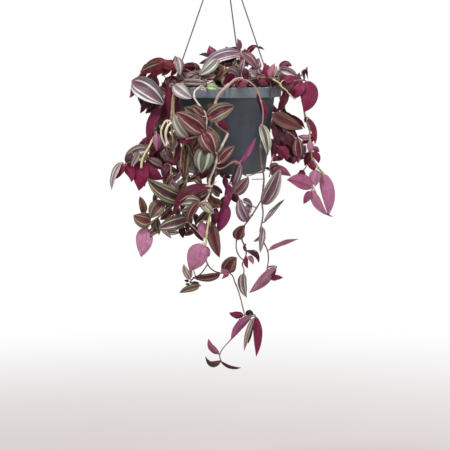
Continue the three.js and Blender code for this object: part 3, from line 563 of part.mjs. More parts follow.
      [[19.5, 84.55, -250.01], [34.74, 101.63, -240.18], [47.28, 102.93, -250.35], [0.1574, -0.5923, 0.7902], 16.56, 14, [19.56, 85.18, -249.22], 0, 2],
      [[26.44, 71.71, -257.27], [38.83, 67.4, -239.41], [51.23, 63.08, -241.54], [-0.5062, -0.7789, 0.3704], 14.52, 16, [18.69, 69.46, -247.1], 1, 2],
    ],
  },
  shoot_rear_4: {
    colour: 0x765460,
    stems: [
      { r: 1.5, path: [[-3.43, 43.35, -266.22], [-3.59, 44.22, -261.5], [-5.7, 55.93, -252.73], [-7.91, 64.52, -248.46], [-10.99, 73.52, -245.91], [-12.66, 78.15, -246.02], [-14.25, 82.47, -247.73], [-16.99, 89.52, -253.98], [-18.87, 93.88, -262.57], [-19.9, 97.15, -276.93], [-15.66, 100.2, -305.93], [-11.33, 102.96, -324.82], [-5.58, 101.36, -343.58], [0.87, 104.47, -361.91], [-0.63, 100.84, -381.12], [-0.07, 101.54, -385.61], [2.72, 105.56, -386]] },
    ],
    leaves: [
      [[-9.79, 102.18, -329.52], [-27.74, 120.28, -341.05], [-43.4, 122.55, -372.57], [0.7379, 0.3561, -0.5734], 22.81, 14, [-9.87, 102.55, -329.58], 0, 2],
      [[-0.06, 101.97, -378.61], [19.17, 122.85, -383.58], [39.2, 127.75, -408.55], [0.6086, -0.3136, 0.7289], 22.62, 14, [-0.42, 101.34, -378.46], 0, 2],
      [[2.72, 105.56, -386], [-17.75, 124.92, -390.44], [-37.87, 128.28, -414.88], [0.4757, 0.2324, -0.8483], 21.14, 22, [1.92, 104.42, -385.89], 0, 2],
      [[-14.49, 101.22, -310.71], [-0.97, 124.19, -315.22], [15.58, 131.46, -339.73], [0.5892, -0.1239, 0.7984], 22.28, 18, [-14.55, 100.9, -310.77], 0, 2],
      [[-17.25, 98.09, -296.72], [-39.45, 115.55, -298.64], [-58.1, 117.4, -320.56], [0.3609, 0.1894, -0.9132], 21.12, 18, [-17.03, 99.21, -296.57], 0, 2],
      [[4.89, 105.09, -381.88], [-7.74, 126.51, -389.66], [-20.36, 131.94, -417.45], [0.7448, 0.0978, -0.6601], 19.02, 22, [1.92, 104.42, -385.89], 1, 2],
      [[-13.82, 81.21, -248.33], [-7.24, 109.39, -236.19], [2.95, 121.99, -244.05], [0.472, -0.4836, 0.7371], 21.01, 14, [-13.91, 81.55, -247.37], 0, 2],
      [[-25, 51.88, -261.98], [-13.62, 70.13, -244.64], [-2.24, 88.38, -247.31], [0.7467, -0.5895, 0.308], 20.22, 16, [-4.86, 51.22, -256.26], 1, 2],
      [[-18.14, 92.4, -261.44], [-34.58, 113.99, -253.36], [-52.69, 119.68, -265.29], [-0.0717, 0.1722, -0.9824], 20.3, 14, [-18.53, 93.08, -261], 0, 2],
      [[3.63, 22.5, -258.82], [-11.32, 32.2, -235.77], [-26.28, 41.9, -232.72], [0.2859, 0.8964, -0.3388], 20.22, 16, [-3.54, 43.94, -263.01], 1, 2],
      [[-19.43, 97.08, -279.09], [-11.06, 117.72, -283.84], [1.21, 122.85, -308.59], [0.6766, 0.0253, 0.7359], 18.77, 18, [-19.58, 97.37, -279.08], 0, 2],
      [[0.58, 104.28, -361.66], [-14.32, 121.31, -358.85], [-28.55, 122.35, -376.03], [0.454, 0.4998, -0.7376], 16.88, 14, [0.75, 104.41, -361.58], 0, 2],
      [[-10.26, 72.15, -248.05], [-14.59, 94.13, -243.47], [-26.47, 102.01, -258.89], [0.272, 0.073, -0.9595], 16.7, 14, [-10.35, 71.66, -246.44], 0, 2],
      [[-6.19, 57.55, -252.89], [-13.59, 79.82, -247.04], [-8.53, 92.05, -261.19], [0.8011, 0.0485, 0.5965], 16.71, 22, [-6.03, 57.2, -252.1], 0, 2],
      [[-5.1, 101.78, -345], [2.89, 124.34, -342.27], [12.47, 130.98, -359.54], [0.6411, -0.2384, 0.7295], 15.46, 22, [-5.07, 101.61, -345.02], 0, 2],
    ],
  },
  shoot_rear_5: {
    colour: 0x6a4a4e,
    stems: [
      { r: 1.5, path: [[-19.05, 37.04, -266.22], [-19.51, 37.74, -261.55], [-25.77, 47.69, -252.85], [-30.93, 54.74, -248.59], [-37.06, 61.83, -245.97], [-40.3, 65.46, -245.93], [-43.39, 68.87, -247.46], [-48.61, 74.44, -253.45], [-50.52, 76.51, -257.41], [-53.54, 79.92, -271.27], [-60.44, 81.1, -299.42], [-52.09, 86.13, -331.99], [-48.97, 86.38, -370.63], [-46.62, 87.71, -380]] },
    ],
    leaves: [
      [[-59.75, 81.44, -300.28], [-85.86, 90.43, -302.39], [-102.01, 86.88, -324.49], [0.2711, 0.7918, -0.5474], 22.18, 18, [-60.19, 81.26, -300.42], 0, 2],
      [[-56.25, 80.55, -281.67], [-53.08, 102.81, -289.69], [-40.22, 112.33, -317.71], [0.6431, 0.2485, 0.7244], 21.42, 22, [-56.1, 80.36, -281.71], 0, 2],
      [[-52.91, 78.91, -268.95], [-75.18, 96.49, -270.52], [-92.99, 98.7, -292.1], [0.4872, 0.6354, -0.5991], 20.8, 14, [-53.01, 79.32, -268.83], 0, 2],
      [[-26.93, 49.17, -252.89], [-28.12, 78.52, -246.62], [-20.6, 94.46, -260.36], [0.8066, -0.163, 0.5682], 21.6, 14, [-26.66, 48.9, -252.12], 0, 2],
      [[-51.6, 86, -335.81], [-73.42, 89.83, -343.49], [-86.44, 80.29, -371.16], [0.2817, 0.7663, -0.5774], 19.47, 22, [-51.78, 86.16, -335.83], 0, 2],
      [[-47.33, 73.05, -252.83], [-50.58, 99.97, -241.39], [-44.5, 113.88, -249.96], [-0.0542, -0.3133, 0.9481], 21.56, 22, [-47.6, 73.37, -252.3], 0, 2],
      [[-55.4, 85.3, -318.89], [-54.27, 110.84, -319.62], [-43.89, 123.32, -340.35], [0.6519, 0.0247, 0.7579], 19.58, 14, [-55.4, 84.14, -319.07], 0, 2],
      [[-50.4, 85.86, -354.61], [-46.68, 109.34, -358.89], [-34.29, 119.38, -383.17], [0.8329, -0.1052, 0.5433], 17.65, 22, [-50.27, 86.28, -354.6], 0, 2],
      [[-35.89, 60.3, -247.59], [-53.84, 79.6, -244.19], [-67.9, 83.38, -260.78], [0.4087, 0.5488, -0.7292], 18.26, 18, [-35.62, 60.16, -246.59], 0, 2],
      [[-48.23, 86.82, -372.71], [-69.31, 96.71, -369.68], [-82.03, 92.95, -386.65], [0.2324, 0.7289, -0.644], 16.89, 14, [-48.43, 86.69, -372.78], 0, 2],
      [[-10.17, 21.5, -260.74], [-12.29, 36.76, -249.7], [-14.42, 52.02, -258.66], [0.9774, 0.1246, 0.171], 13.07, 16, [-19.27, 37.37, -264.03], 1, 2],
    ],
  },
  shoot_rear_6: {
    colour: 0x74565c,
    stems: [
      { r: 1.5, path: [[-30.73, 25.96, -266.22], [-31.41, 26.45, -261.54], [-40.82, 33.5, -252.85], [-48.17, 38.23, -248.58], [-56.44, 42.66, -245.97], [-60.77, 44.89, -245.93], [-64.88, 46.97, -247.47], [-71.74, 50.29, -253.47], [-74.27, 51.52, -257.44], [-78.34, 53.47, -271.32], [-84.95, 54.48, -299.71], [-87.37, 45.33, -327.28], [-87.53, 40.46, -340.96], [-87.93, 47.09, -364.05], [-86.67, 41.69, -372]] },
    ],
    leaves: [
      [[-80.73, 54.11, -281.1], [-93.37, 81.49, -287.17], [-92.48, 100.33, -313.24], [0.391, 0.4372, 0.8099], 25.23, 14, [-80.63, 53.82, -281.13], 0, 2],
      [[-87.13, 47.17, -323.79], [-112.11, 40.22, -335.8], [-122.84, 25.97, -367.8], [0.2852, 0.6065, -0.7422], 23.04, 22, [-87.04, 46.55, -323.6], 0, 2],
      [[-87.87, 45.43, -357.01], [-113.14, 38.41, -366.2], [-124.03, 24.36, -395.4], [0.1016, 0.7001, -0.7068], 22.79, 14, [-87.81, 45.09, -357.1], 0, 2],
      [[-87.47, 41.58, -338.14], [-102.15, 64.12, -347.95], [-102.24, 80.1, -377.75], [0.4705, 0.6226, 0.6253], 22.21, 18, [-87.5, 41.48, -338.11], 0, 2],
      [[-76.34, 52.45, -265.81], [-104.71, 47.53, -270.26], [-119.63, 33.93, -294.71], [-0.1045, 0.7856, -0.6099], 21.16, 22, [-76.69, 52.68, -265.68], 0, 2],
      [[-47.33, 27.82, -255.25], [-58.13, 56.26, -247.06], [-54.81, 77.18, -258.86], [0.8376, -0.0445, 0.5445], 22.13, 14, [-41.66, 34.03, -252.36], 1, 2],
      [[-68.29, 48.58, -251.49], [-78.05, 76.36, -242.93], [-74.48, 95.3, -254.36], [0.3836, -0.1279, 0.9146], 20.27, 22, [-68.73, 48.83, -250.84], 0, 2],
      [[-36.4, 35.36, -255.45], [-49.67, 50.09, -235.58], [-62.94, 64.82, -235.71], [0.7281, 0.6842, -0.0424], 21.31, 16, [-38.5, 31.74, -254.89], 0, 2],
      [[-91.31, 39.84, -266.5], [-114.55, 37, -274.68], [-123, 28.05, -302.85], [-0.4287, 0.9035, 0.0035], 18.52, 22, [-77.57, 53.1, -268.67], 1, 2],
      [[-40.37, 36.08, -254.55], [-51.8, 52.58, -237.11], [-63.23, 69.08, -239.67], [0.8172, 0.5759, -0.0218], 21.28, 16, [-40.95, 33.58, -252.78], 0, 2],
      [[-44.86, 36.22, -252.89], [-47.38, 63.32, -247.98], [-40.97, 77.14, -263.08], [0.8173, -0.0788, 0.5709], 20.35, 22, [-44.12, 35.62, -250.94], 0, 2],
      [[-39.89, 28.83, -252.43], [-56.41, 32.57, -232.16], [-72.93, 36.31, -231.9], [0.3344, 0.9203, 0.203], 19.29, 16, [-39.15, 32.24, -254.39], 0, 2],
      [[-83.85, 54.72, -294.26], [-107.48, 47.16, -293.44], [-115.45, 36.38, -312.63], [-0.1414, 0.7237, -0.6755], 18.07, 22, [-83.69, 54.29, -294.31], 0, 2],
      [[-27.08, 20, -254.94], [-32.12, 38.42, -239.13], [-37.16, 56.85, -243.32], [0.9659, 0.258, 0.0196], 17.84, 16, [-31.41, 26.45, -261.54], 1, 2],
      [[-85.67, 52.16, -307.2], [-95.96, 73.89, -307.33], [-92.38, 87.64, -327.46], [0.4517, 0.3377, 0.8258], 15.87, 18, [-85.6, 52.01, -307.16], 0, 2],
    ],
  },
  shoot_side_right: {
    colour: 0x6f4f54,
    stems: [
      { r: 1.5, path: [[48.73, -6.15, -266.22], [49.6, -6.27, -261.49], [57.88, -7.43, -256.31], [71.55, -9.41, -250.97], [81.05, -10.94, -248.8], [85.9, -11.08, -249.46], [90.26, -10.52, -251.68], [93.8, -9.65, -254.99], [95.73, -8.64, -259.37], [96.51, -5.7, -273.87], [98.04, -0.06, -312.89], [98.87, -4.92, -332]] },
    ],
    leaves: [
      [[98.47, -2.68, -322.89], [114.72, 13.82, -329.45], [114.97, 30.79, -356.02], [0.8455, -0.4819, -0.2299], 19.08, 18, [98.48, -2.61, -322.91], 0, 2],
      [[94.57, -9.3, -256.52], [117.7, -18.17, -244.2], [125.31, -30.95, -251.88], [-0.5152, -0.158, 0.8424], 19.81, 18, [94.49, -9.29, -256.55], 0, 2],
      [[97.6, -1.21, -303.72], [112.99, -16.64, -307.29], [112.37, -31.87, -330.87], [-0.1673, -0.5498, 0.8184], 17.12, 22, [97.68, -1.38, -303.74], 0, 2],
      [[82.92, -10.95, -249.25], [107.15, -11.57, -240.32], [117.26, -4.66, -251.4], [0.2521, -0.4715, -0.8451], 17.15, 22, [82.95, -11, -249.06], 0, 2],
    ],
  },
  shoot_side_left: {
    colour: 0x6d4a58,
    stems: [
      { r: 1.5, path: [[-35.01, 13.78, -266.11], [-35.78, 14.04, -261.39], [-39.49, 15.32, -258.53], [-52.49, 19.79, -253.38], [-65.89, 24.82, -250.15], [-70.47, 26.47, -249.69], [-75.22, 27.43, -250.18], [-79.72, 27.5, -252.05], [-83.73, 26.66, -254.71], [-87.09, 24.62, -257.59], [-91.49, 18.24, -263.52], [-94.99, 7.5, -272.84], [-96.36, -8.49, -291.18], [-93.1, -27.71, -325.05], [-87.05, -39.07, -362]] },
    ],
    leaves: [
      [[-96, -3.38, -284.77], [-114.12, -23.09, -295.22], [-116.25, -42.26, -325.68], [-0.4055, 0.663, -0.6293], 22.39, 14, [-95.9, -3.11, -285.01], 0, 2],
      [[-90.33, -33.6, -342.34], [-116.62, -44.14, -343.54], [-127.95, -60.33, -364.73], [-0.1447, 0.6238, -0.7681], 22.25, 18, [-90.24, -33.08, -342.49], 0, 2],
      [[-94.33, 8.06, -272.72], [-109.25, 26.05, -280.07], [-108.22, 42.75, -307.43], [0.5927, 0.6021, 0.5349], 21.3, 22, [-94.84, 7.98, -272.43], 0, 2],
      [[-87.48, -38.38, -359.42], [-113.15, -32.43, -365.41], [-124.04, -20.34, -391.4], [-0.0097, 0.7431, 0.6691], 19.83, 14, [-87.47, -38.29, -359.44], 0, 2],
      [[-78.49, 26.81, -252.23], [-93.21, 51.01, -244.76], [-92.69, 70.32, -257.29], [0.7516, 0.1494, 0.6425], 19.46, 22, [-78.73, 27.48, -251.64], 0, 2],
      [[-89.2, 20.51, -261.18], [-108.83, 7, -260.68], [-112.82, -9.91, -280.18], [-0.5607, 0.6047, -0.5657], 19.11, 14, [-89.72, 20.82, -261.12], 0, 2],
      [[-92.31, -29.14, -329.74], [-114.96, -20.41, -329.6], [-122.29, -7.08, -349.46], [0.1639, 0.5856, 0.7939], 17.37, 22, [-92.33, -29.15, -329.74], 0, 2],
      [[-96.01, -14.11, -299.88], [-112.8, -6.33, -306.66], [-113.75, 3.67, -333.45], [0.0544, 0.8291, 0.5565], 16.94, 18, [-95.5, -13.57, -300.13], 0, 2],
      [[-66.06, 24.47, -250.98], [-88.29, 16.11, -245.56], [-95.38, 2.55, -260.14], [-0.4135, 0.5532, -0.7232], 17.73, 22, [-65.75, 24.77, -250.18], 0, 2],
      [[-94.39, -22.13, -314.31], [-110.09, -39.62, -312.77], [-110.17, -53.62, -331.23], [-0.2235, 0.3409, -0.9131], 15.87, 22, [-94.11, -21.73, -314.51], 0, 2],
      [[-50.33, 19.05, -255.74], [-70.37, 28.98, -242.04], [-74.41, 39.2, -248.35], [0.4341, -0.1905, 0.8805], 16.12, 14, [-49.87, 18.89, -254.42], 0, 2],
    ],
  },
};
const ROWS = { 1: [0.42], 2: [0.3, 0.68] };
function makeShoot(shoot) {
  const parts = shoot.stems.map((s) => rod(s.path, s.r, s.r < 1.3 ? 4 : 5));
  for (const [p0, p1, p2, lat, W, fold, root, stalk, rows] of shoot.leaves)
    parts.push(blade({ p0, p1, p2, lat, W, fold, root, stalk, rows: ROWS[rows] }));
  return parts.reduce((a, b) => a.add(b));
}

// ---------------------------------------------------------------- assembly
const group = new THREE.Group();
function addPiece(name, solid, color, roughness, metalness = 0) {
  const mesh = new THREE.Mesh(toGeometry(solid), new THREE.MeshStandardMaterial({ color, roughness, metalness }));
  mesh.name = name;
  group.add(mesh);
}
addPiece("pot", makePot(), 0x3e444c, 0.45);
addPiece("soil", makeSoil(), 0x3a2c22, 0.95);
addPiece("hanger_hook", makeHook(), 0x6b7176, 0.4);
for (const [side, angle] of Object.entries(LEG_ANGLES)) addPiece("hanger_leg_" + side, makeLeg(angle), 0x6b7176, 0.4);
for (const [name, shoot] of Object.entries(SHOOTS)) addPiece(name, makeShoot(shoot), shoot.colour, 0.5);

export default group;
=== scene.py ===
"""A tradescantia trailing out of a hanging plastic pot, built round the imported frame."""
import math

import bpy
import numpy as np
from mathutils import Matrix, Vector, noise


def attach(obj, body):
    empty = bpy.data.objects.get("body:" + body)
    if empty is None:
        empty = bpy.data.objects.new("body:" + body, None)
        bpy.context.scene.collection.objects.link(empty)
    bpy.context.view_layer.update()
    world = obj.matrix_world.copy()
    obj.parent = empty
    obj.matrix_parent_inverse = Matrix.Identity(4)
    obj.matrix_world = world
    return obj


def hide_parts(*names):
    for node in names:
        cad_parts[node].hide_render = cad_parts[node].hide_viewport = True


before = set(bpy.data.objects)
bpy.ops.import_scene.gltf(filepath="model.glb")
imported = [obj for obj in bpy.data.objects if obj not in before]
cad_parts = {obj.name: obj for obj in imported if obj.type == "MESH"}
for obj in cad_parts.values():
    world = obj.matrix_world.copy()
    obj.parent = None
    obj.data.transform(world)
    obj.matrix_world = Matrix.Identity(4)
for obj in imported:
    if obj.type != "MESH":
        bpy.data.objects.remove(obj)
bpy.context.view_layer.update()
MM = 0.001

# ------------------------------------------------------------------ camera
# The lens is long and the camera looks slightly down, its axis level with the middle of the picture.
F_PX, SIZE_PX, SENSOR = 1715.0, 450.0, 36.0
TILT = math.atan((225 - 47) / F_PX)
cam_data = bpy.data.cameras.new("camera")
cam_data.sensor_width = SENSOR
cam_data.lens = F_PX / SIZE_PX * SENSOR
cam_data.clip_start, cam_data.clip_end = 0.1, 30.0
cam = bpy.data.objects.new("camera", cam_data)
cam.location = (3.42 * MM, -2700 * MM, -196 * MM)
cam.rotation_euler = (math.pi / 2 - TILT, 0, 0)
bpy.context.scene.collection.objects.link(cam)
bpy.context.scene.camera = cam

# ------------------------------------------------------------------ plant tables (mm)
# stem: shoot, start radius, end radius, tone, waypoints
STEMS = [
    ('a', 1.8, 1.2, 'brown', [[-26.4,-27.6,-266.1],[-27.8,-29.1,-256.4],[-33.3,-31.4,-248.6],[-40.9,-33.8,-242.7],[-48.1,-36.9,-236.5],[-55.8,-40.2,-231.1],[-64.6,-43.2,-227.7],[-73.6,-45.1,-223.9],[-82.8,-46.4,-220.3],[-92.3,-48.1,-218.4],[-101.6,-51.2,-220.1],[-110.4,-53.7,-224.1],[-118.4,-55.3,-229.7],[-125.6,-56.0,-236.6],[-131.0,-56,-244.9]]),
    ('b', 1.5, 1.9, 'olive', [[-38.0,-18.4,-266.7],[-39.8,-19.0,-257.0],[-45.5,-22.5,-250.3],[-53.2,-27.8,-247.0],[-61.8,-32.2,-245.8],[-71.0,-35.6,-247.2],[-80.1,-37.3,-250.4],[-88.0,-38.3,-256.1],[-93.1,-39.7,-264.4],[-95.7,-40.7,-273.8],[-96.7,-41.6,-283.5],[-98.0,-42.9,-293.2],[-99.3,-44.5,-302.8],[-100.9,-47.4,-312.1],[-102.7,-51.6,-320.8],[-104.5,-56,-329.4]]),
    ('b', 1.3, 2.1, 'green', [[-104.5,-56.0,-329.4],[-107.1,-69.5,-335.8],[-109.9,-80.0,-342.3],[-113.6,-85.0,-349.5],[-118.4,-88.0,-357.1],[-122.5,-89.8,-365.5],[-124.0,-91.5,-374.7],[-124.3,-92.0,-379.4]]),
    ('b', 1.3, 1, 'cream', [[-123.9,-78.8,-372.6],[-130.9,-83.1,-368.1],[-139.3,-86.7,-368.9],[-147.1,-89.1,-373.4],[-150.6,-90.0,-376.5]]),
    ('c', 1.9, 1.2, 'olive', [[-31.7,-41.3,-267.7],[-35.1,-45.0,-259.3],[-40.3,-50.9,-253.3],[-46.5,-58.4,-251.0],[-52.7,-66.1,-251.0],[-59.0,-73.8,-252.1],[-65.2,-81.2,-254.6],[-70.9,-87.9,-259.3],[-74.6,-91.2,-267.7],[-76.3,-92.9,-277.4],[-76.9,-93.8,-287.3],[-77.4,-94.7,-297.3],[-78.1,-95.0,-307.2],[-77.8,-95.0,-317.1],[-76.7,-94.9,-327.1],[-75.4,-95.2,-337.0],[-73.9,-95.6,-346.8],[-74.1,-96.2,-356.7],[-76.6,-97.0,-366.3],[-78.2,-97.7,-376.2],[-78.9,-98.4,-386.1],[-78.7,-98.9,-396.0],[-78.3,-99.1,-406.0],[-77.7,-99.0,-416.0],[-78.7,-99,-425.9],[-81.3,-99,-435.5],[-86.5,-99.0,-444.0],[-93.8,-99.1,-450.6],[-101.7,-98.6,-456.7],[-109.4,-97.8,-463.0],[-115.6,-97,-470.8]]),
    ('c', 1.7, 1.2, 'pale2', [[-77.4,-94.5,-309.3],[-85.4,-97.4,-307.3],[-90.9,-98.1,-314.8],[-93.5,-97.8,-323.8],[-92.3,-96.7,-333.1],[-88.8,-95.7,-341.7],[-86.3,-95.0,-345.7]]),
    ('c', 2.3, 1.4, 'pale2', [[-77.5,-94.6,-310.8],[-83.0,-101.1,-315.1],[-86.0,-102.0,-324.1],[-85.9,-100.9,-333.7],[-82.3,-99,-342.4]]),
    ('c', 1.2, 1, 'olive', [[-78.7,-98.9,-421.6],[-74.6,-101.4,-429.3],[-69.7,-103.3,-436.6],[-63.2,-103.9,-442.9],[-57.1,-104.0,-449.6],[-54.4,-104.0,-453.2]]),
    ('d', 1.4, 1.2, 'cream2', [[-11.8,-52.6,-267.9],[-12.2,-54.1,-258.2],[-13.5,-58.0,-249.5],[-17.1,-66.9,-248.3],[-20.9,-75.8,-249.9],[-25.4,-84.4,-251.7],[-30.8,-92.3,-254.1],[-36.5,-99.4,-257.7],[-42.2,-105.5,-262.9],[-42.9,-109.5,-271.5],[-38.0,-112.3,-279.5],[-32.3,-113.8,-287.4],[-26.1,-114.8,-295.0],[-23.7,-115,-304.3],[-25.0,-115,-314.0],[-26.0,-115,-318.9]]),
    ('d', 1.5, 1.3, 'pink', [[-26.0,-115,-318.9],[-33.0,-114.8,-325.9],[-41.3,-113.1,-330.8],[-50.8,-111.0,-333.0],[-55.5,-110.0,-334.2]]),
    ('e', 1.7, 1.3, 'cream3', [[14.7,-54.3,-267.8],[15.4,-56.2,-258.4],[15.4,-61.7,-251.1],[13.6,-71.1,-250.4],[11.3,-80.4,-251.6],[7.9,-89.0,-254.1],[2.6,-95.6,-258.7],[-3.1,-100.3,-264.8],[-8.4,-102.4,-272.5],[-11.1,-104.2,-281.5],[-12.8,-105.7,-290.9],[-13.1,-107.1,-300.4],[-10.3,-109.0,-309.4],[-8.7,-110,-313.8]]),
    ('e', 1.2, 1.2, 'pink', [[-8.7,-110,-313.8],[-2.3,-111.7,-318.9],[4.5,-113.2,-323.3],[7.9,-114.0,-325.4]]),
    ('e', 2, 1.3, 'cream2', [[7.9,-114.0,-325.4],[3.9,-114.8,-334.5],[-0.7,-115.7,-343.2],[-5.4,-116.0,-352.0],[-8.4,-116.6,-361.4],[-10.8,-117.4,-371.0],[-13.7,-118.1,-380.5],[-17.7,-119.0,-389.5],[-20.1,-119.9,-399.1],[-19.8,-120.0,-409.0],[-21.4,-120.4,-418.7],[-26.7,-121.0,-426.9],[-31.3,-121,-428.8]]),
    ('e', 1.4, 1.6, 'green', [[-31.3,-121,-428.8],[-26.4,-124.1,-436.4],[-20.0,-126.0,-443.2],[-20.3,-126.1,-452.7],[-21.9,-126.0,-462.2],[-23.7,-126.0,-471.6],[-24.6,-125.5,-481.2],[-25.9,-124.6,-490.7],[-27.1,-124.0,-495.3]]),
    ('e', 1.2, 1, 'pink', [[-31.3,-121,-428.8],[-39.5,-123.4,-433.1],[-47.2,-125.3,-438.3],[-52.8,-126.1,-445.8],[-52.4,-126.1,-455.2],[-47.7,-125.7,-463.4],[-41.0,-125.0,-470.2],[-34.6,-124.9,-477.3],[-28.3,-125,-484.5]]),
    ('e', 1, 0.9, 'cream2', [[-21.1,-120.2,-413.6],[-16.9,-120.8,-406.4],[-11.7,-121.0,-399.8],[-8.6,-121.0,-397.0]]),
    ('f', 1.2, 1.05, 'arch2', [[18.2,-53.6,-267.9],[19.0,-56.6,-258.6],[20.3,-62.2,-250.8],[21.3,-71.2,-247.1],[22.8,-80.8,-245.3],[27.5,-89.2,-244.4],[35.0,-95.3,-245.8],[43.0,-98.7,-250.3],[49.6,-101.1,-257.1],[53.9,-102.7,-265.8],[57.1,-103.7,-275.0],[59.7,-104.1,-284.5],[61.1,-104,-294.2],[60.7,-104,-304.0],[59.7,-104,-313.8],[58.8,-104,-323.6],[58.4,-104,-328.5]]),
    ('f', 1.5, 0.9, 'trail', [[58.4,-104,-328.5],[57.8,-103.6,-338.4],[57.4,-103.2,-348.3],[57.5,-102.6,-358.2],[58.2,-101.9,-368.1],[59.8,-101.2,-377.9],[61.8,-101.0,-387.6],[62.6,-101,-397.5],[61.6,-101,-407.3],[60.5,-101,-417.2],[60.1,-101,-427.1],[60.3,-101,-437.1],[61.3,-101,-446.9],[60.5,-101,-456.8],[58.6,-101,-466.6],[56.9,-101.0,-476.3],[59.5,-100.9,-485.8],[63.7,-101.4,-494.8],[67.9,-102.0,-503.7],[69.6,-102.0,-513.5],[69.3,-102,-523.4],[67.6,-102,-533.2]]),
    ('f', 1.2, 0.9, 'trail', [[61.0,-101,-424.5],[55.8,-99.9,-432.6],[50.7,-98.6,-440.8],[45.9,-97.1,-449.2],[40.4,-96.5,-457.2],[34.6,-96.0,-464.9],[28.1,-95.0,-472.1],[23.5,-95.0,-480.6],[21.0,-95,-490.0],[20.5,-95,-499.7],[22.5,-95,-509.2],[27.9,-95,-517.2],[31.7,-95,-520.2]]),
    ('f', 1.2, 0.9, 'trail', [[28.8,-95.5,-473.2],[28.8,-94.6,-482.6],[30.2,-93.8,-491.8],[34.4,-93.0,-500.1],[35.9,-93.0,-509.4],[33.9,-93,-518.5],[29.9,-93,-526.9],[32.5,-93,-535.9],[31.5,-93,-545.2]]),
    ('f', 2.3, 2.1, 'arch', [[19.5,-58.5,-255.1],[27.7,-53.3,-254.2],[36.1,-50.4,-252.4],[35.5,-59.5,-249.5],[32.8,-68.7,-247.2],[29.5,-77.6,-245.3],[24.8,-86.1,-244.0],[18.7,-93.5,-245.2],[12.4,-99.2,-249.9],[5.9,-104.1,-255.4],[-0.6,-108.3,-261.3],[-6.4,-111.2,-268.6],[-10.2,-112.4,-277.4],[-11.3,-112.5,-282.1]]),
    ('h', 1.5, 1.3, 'brown', [[22.1,-27.6,-265.7],[22.5,-25.0,-256.6],[25.5,-29.2,-249.7],[30.1,-37.6,-248.6],[34.6,-46.0,-248.4],[39.4,-54.4,-248.1],[44.7,-62.1,-246.3],[50.8,-68.9,-243.4],[59.2,-73.2,-242.4],[68.7,-74.2,-242.5],[73.5,-74,-242.7]]),
    ('h', 1.3, 0.9, 'pale', [[73.4,-74.0,-242.7],[77.7,-76.9,-245.5],[85.4,-73.9,-249.9],[90.6,-71.0,-257.0],[97.3,-67.4,-262.1],[102.5,-64.0,-268.7],[108.9,-60.1,-274.2],[112.6,-58.0,-276.3]]),
    ('h', 1.3, 1.1, 'brown', [[73.9,-77.9,-243.0],[81.2,-71.5,-244.7],[88.2,-65.0,-246.6],[95.6,-58.8,-248.1],[103.9,-53.5,-248.1],[112.4,-48.7,-247.6],[121.1,-44.2,-246.9],[125.4,-42,-246.7]]),
    ('i', 1.3, 1.7, 'olive', [[56.6,-18.4,-267.9],[58.1,-19.2,-258.1],[63.2,-20.3,-250.1],[72.3,-21.3,-246.4],[82.0,-22.0,-244.8],[91.8,-22.0,-245.7],[101.3,-21.9,-248.6],[109.8,-22.6,-253.5],[116.7,-23.9,-260.5],[120.9,-25.2,-269.4],[123.6,-26.8,-278.7],[125.4,-28.7,-288.3],[127.0,-30.2,-297.9],[129.4,-31.8,-307.4],[132.0,-32.9,-316.9],[135.2,-34.0,-326.1],[134.9,-35.1,-336.0],[136.2,-36.4,-345.7],[138.1,-37.1,-355.3],[138.4,-37.9,-365.2],[142.7,-39.3,-374.0],[148.2,-40.5,-382.1],[154.2,-41.4,-389.9],[157.2,-42.0,-393.8]]),
    ('i', 0.9, 0.8, 'olive', [[139.9,-38.3,-367.4],[134.8,-34.9,-373.8],[130.5,-31.6,-380.7],[125.9,-29.0,-387.7]]),
    ('i', 1.1, 1, 'cream', [[146.1,-39.7,-378.1],[146.2,-45.2,-386.4],[145.9,-50.1,-395.1],[143.6,-53.2,-404.3],[139.5,-56,-412.9]]),
    ('j', 1.6, 1.2, 'brown', [[57.1,7.4,-267.5],[61.7,5.1,-259.2],[68.2,2.4,-252.8],[76.1,-3.4,-252.1],[83.7,-9.6,-253.5],[90.8,-15.5,-257.3],[95.3,-20.8,-264.1],[95.7,-24.9,-273.0],[94.4,-28.4,-282.2],[91.6,-32.0,-291.0],[88.8,-35.0,-300.0],[86.5,-37.3,-309.3],[89.8,-40.2,-317.9],[96.7,-42.7,-324.5],[104.9,-44.0,-330.0],[112.2,-44.1,-336.6],[117.1,-44,-345.1],[119.9,-44,-354.6],[121.7,-44,-364.4]]),
    ('j', 1.4, 1, 'pink', [[86.5,-37.3,-309.3],[84.6,-35.2,-315.4],[83.9,-36.8,-324.7],[83.0,-38.4,-334.1],[82.2,-39.9,-343.4],[80.9,-42.3,-352.5],[78.9,-45.6,-361.2],[76.4,-49.4,-369.6],[73.8,-53.0,-378.0],[74.2,-56.5,-386.7],[71.4,-58.0,-395.7]]),
    ('k', 2, 1.5, 'beige', [[13.6,-22.1,-265.1],[14.0,-23.4,-255.9],[15.7,-25.2,-246.9],[18.3,-26.2,-238.0],[21.7,-26.1,-229.2],[25.6,-24.9,-220.8],[28.4,-23.1,-212.1],[29.1,-22,-207.6]]),
    ('k', 1.5, 1.2, 'beige', [[17.5,-25.7,-240.9],[11.9,-31.0,-235.0],[5.4,-35.4,-229.4],[-2.4,-38.5,-224.6],[-10.5,-42.0,-220.6]]),
    ('l', 1.6, 1.1, 'beige', [[-15.2,-7.4,-265.2],[-16.2,-7.5,-256.1],[-19.8,-10.8,-248.4],[-24.9,-15.5,-242.4],[-31.1,-20.2,-237.5],[-37.0,-24,-231.6]]),
    ('l', 1.4, 1.1, 'beige', [[-23.4,-14.1,-244.4],[-20.5,-9.2,-237.2],[-17.8,-5.0,-229.5],[-15.4,-2.1,-221.2],[-13.8,0,-212.4]]),
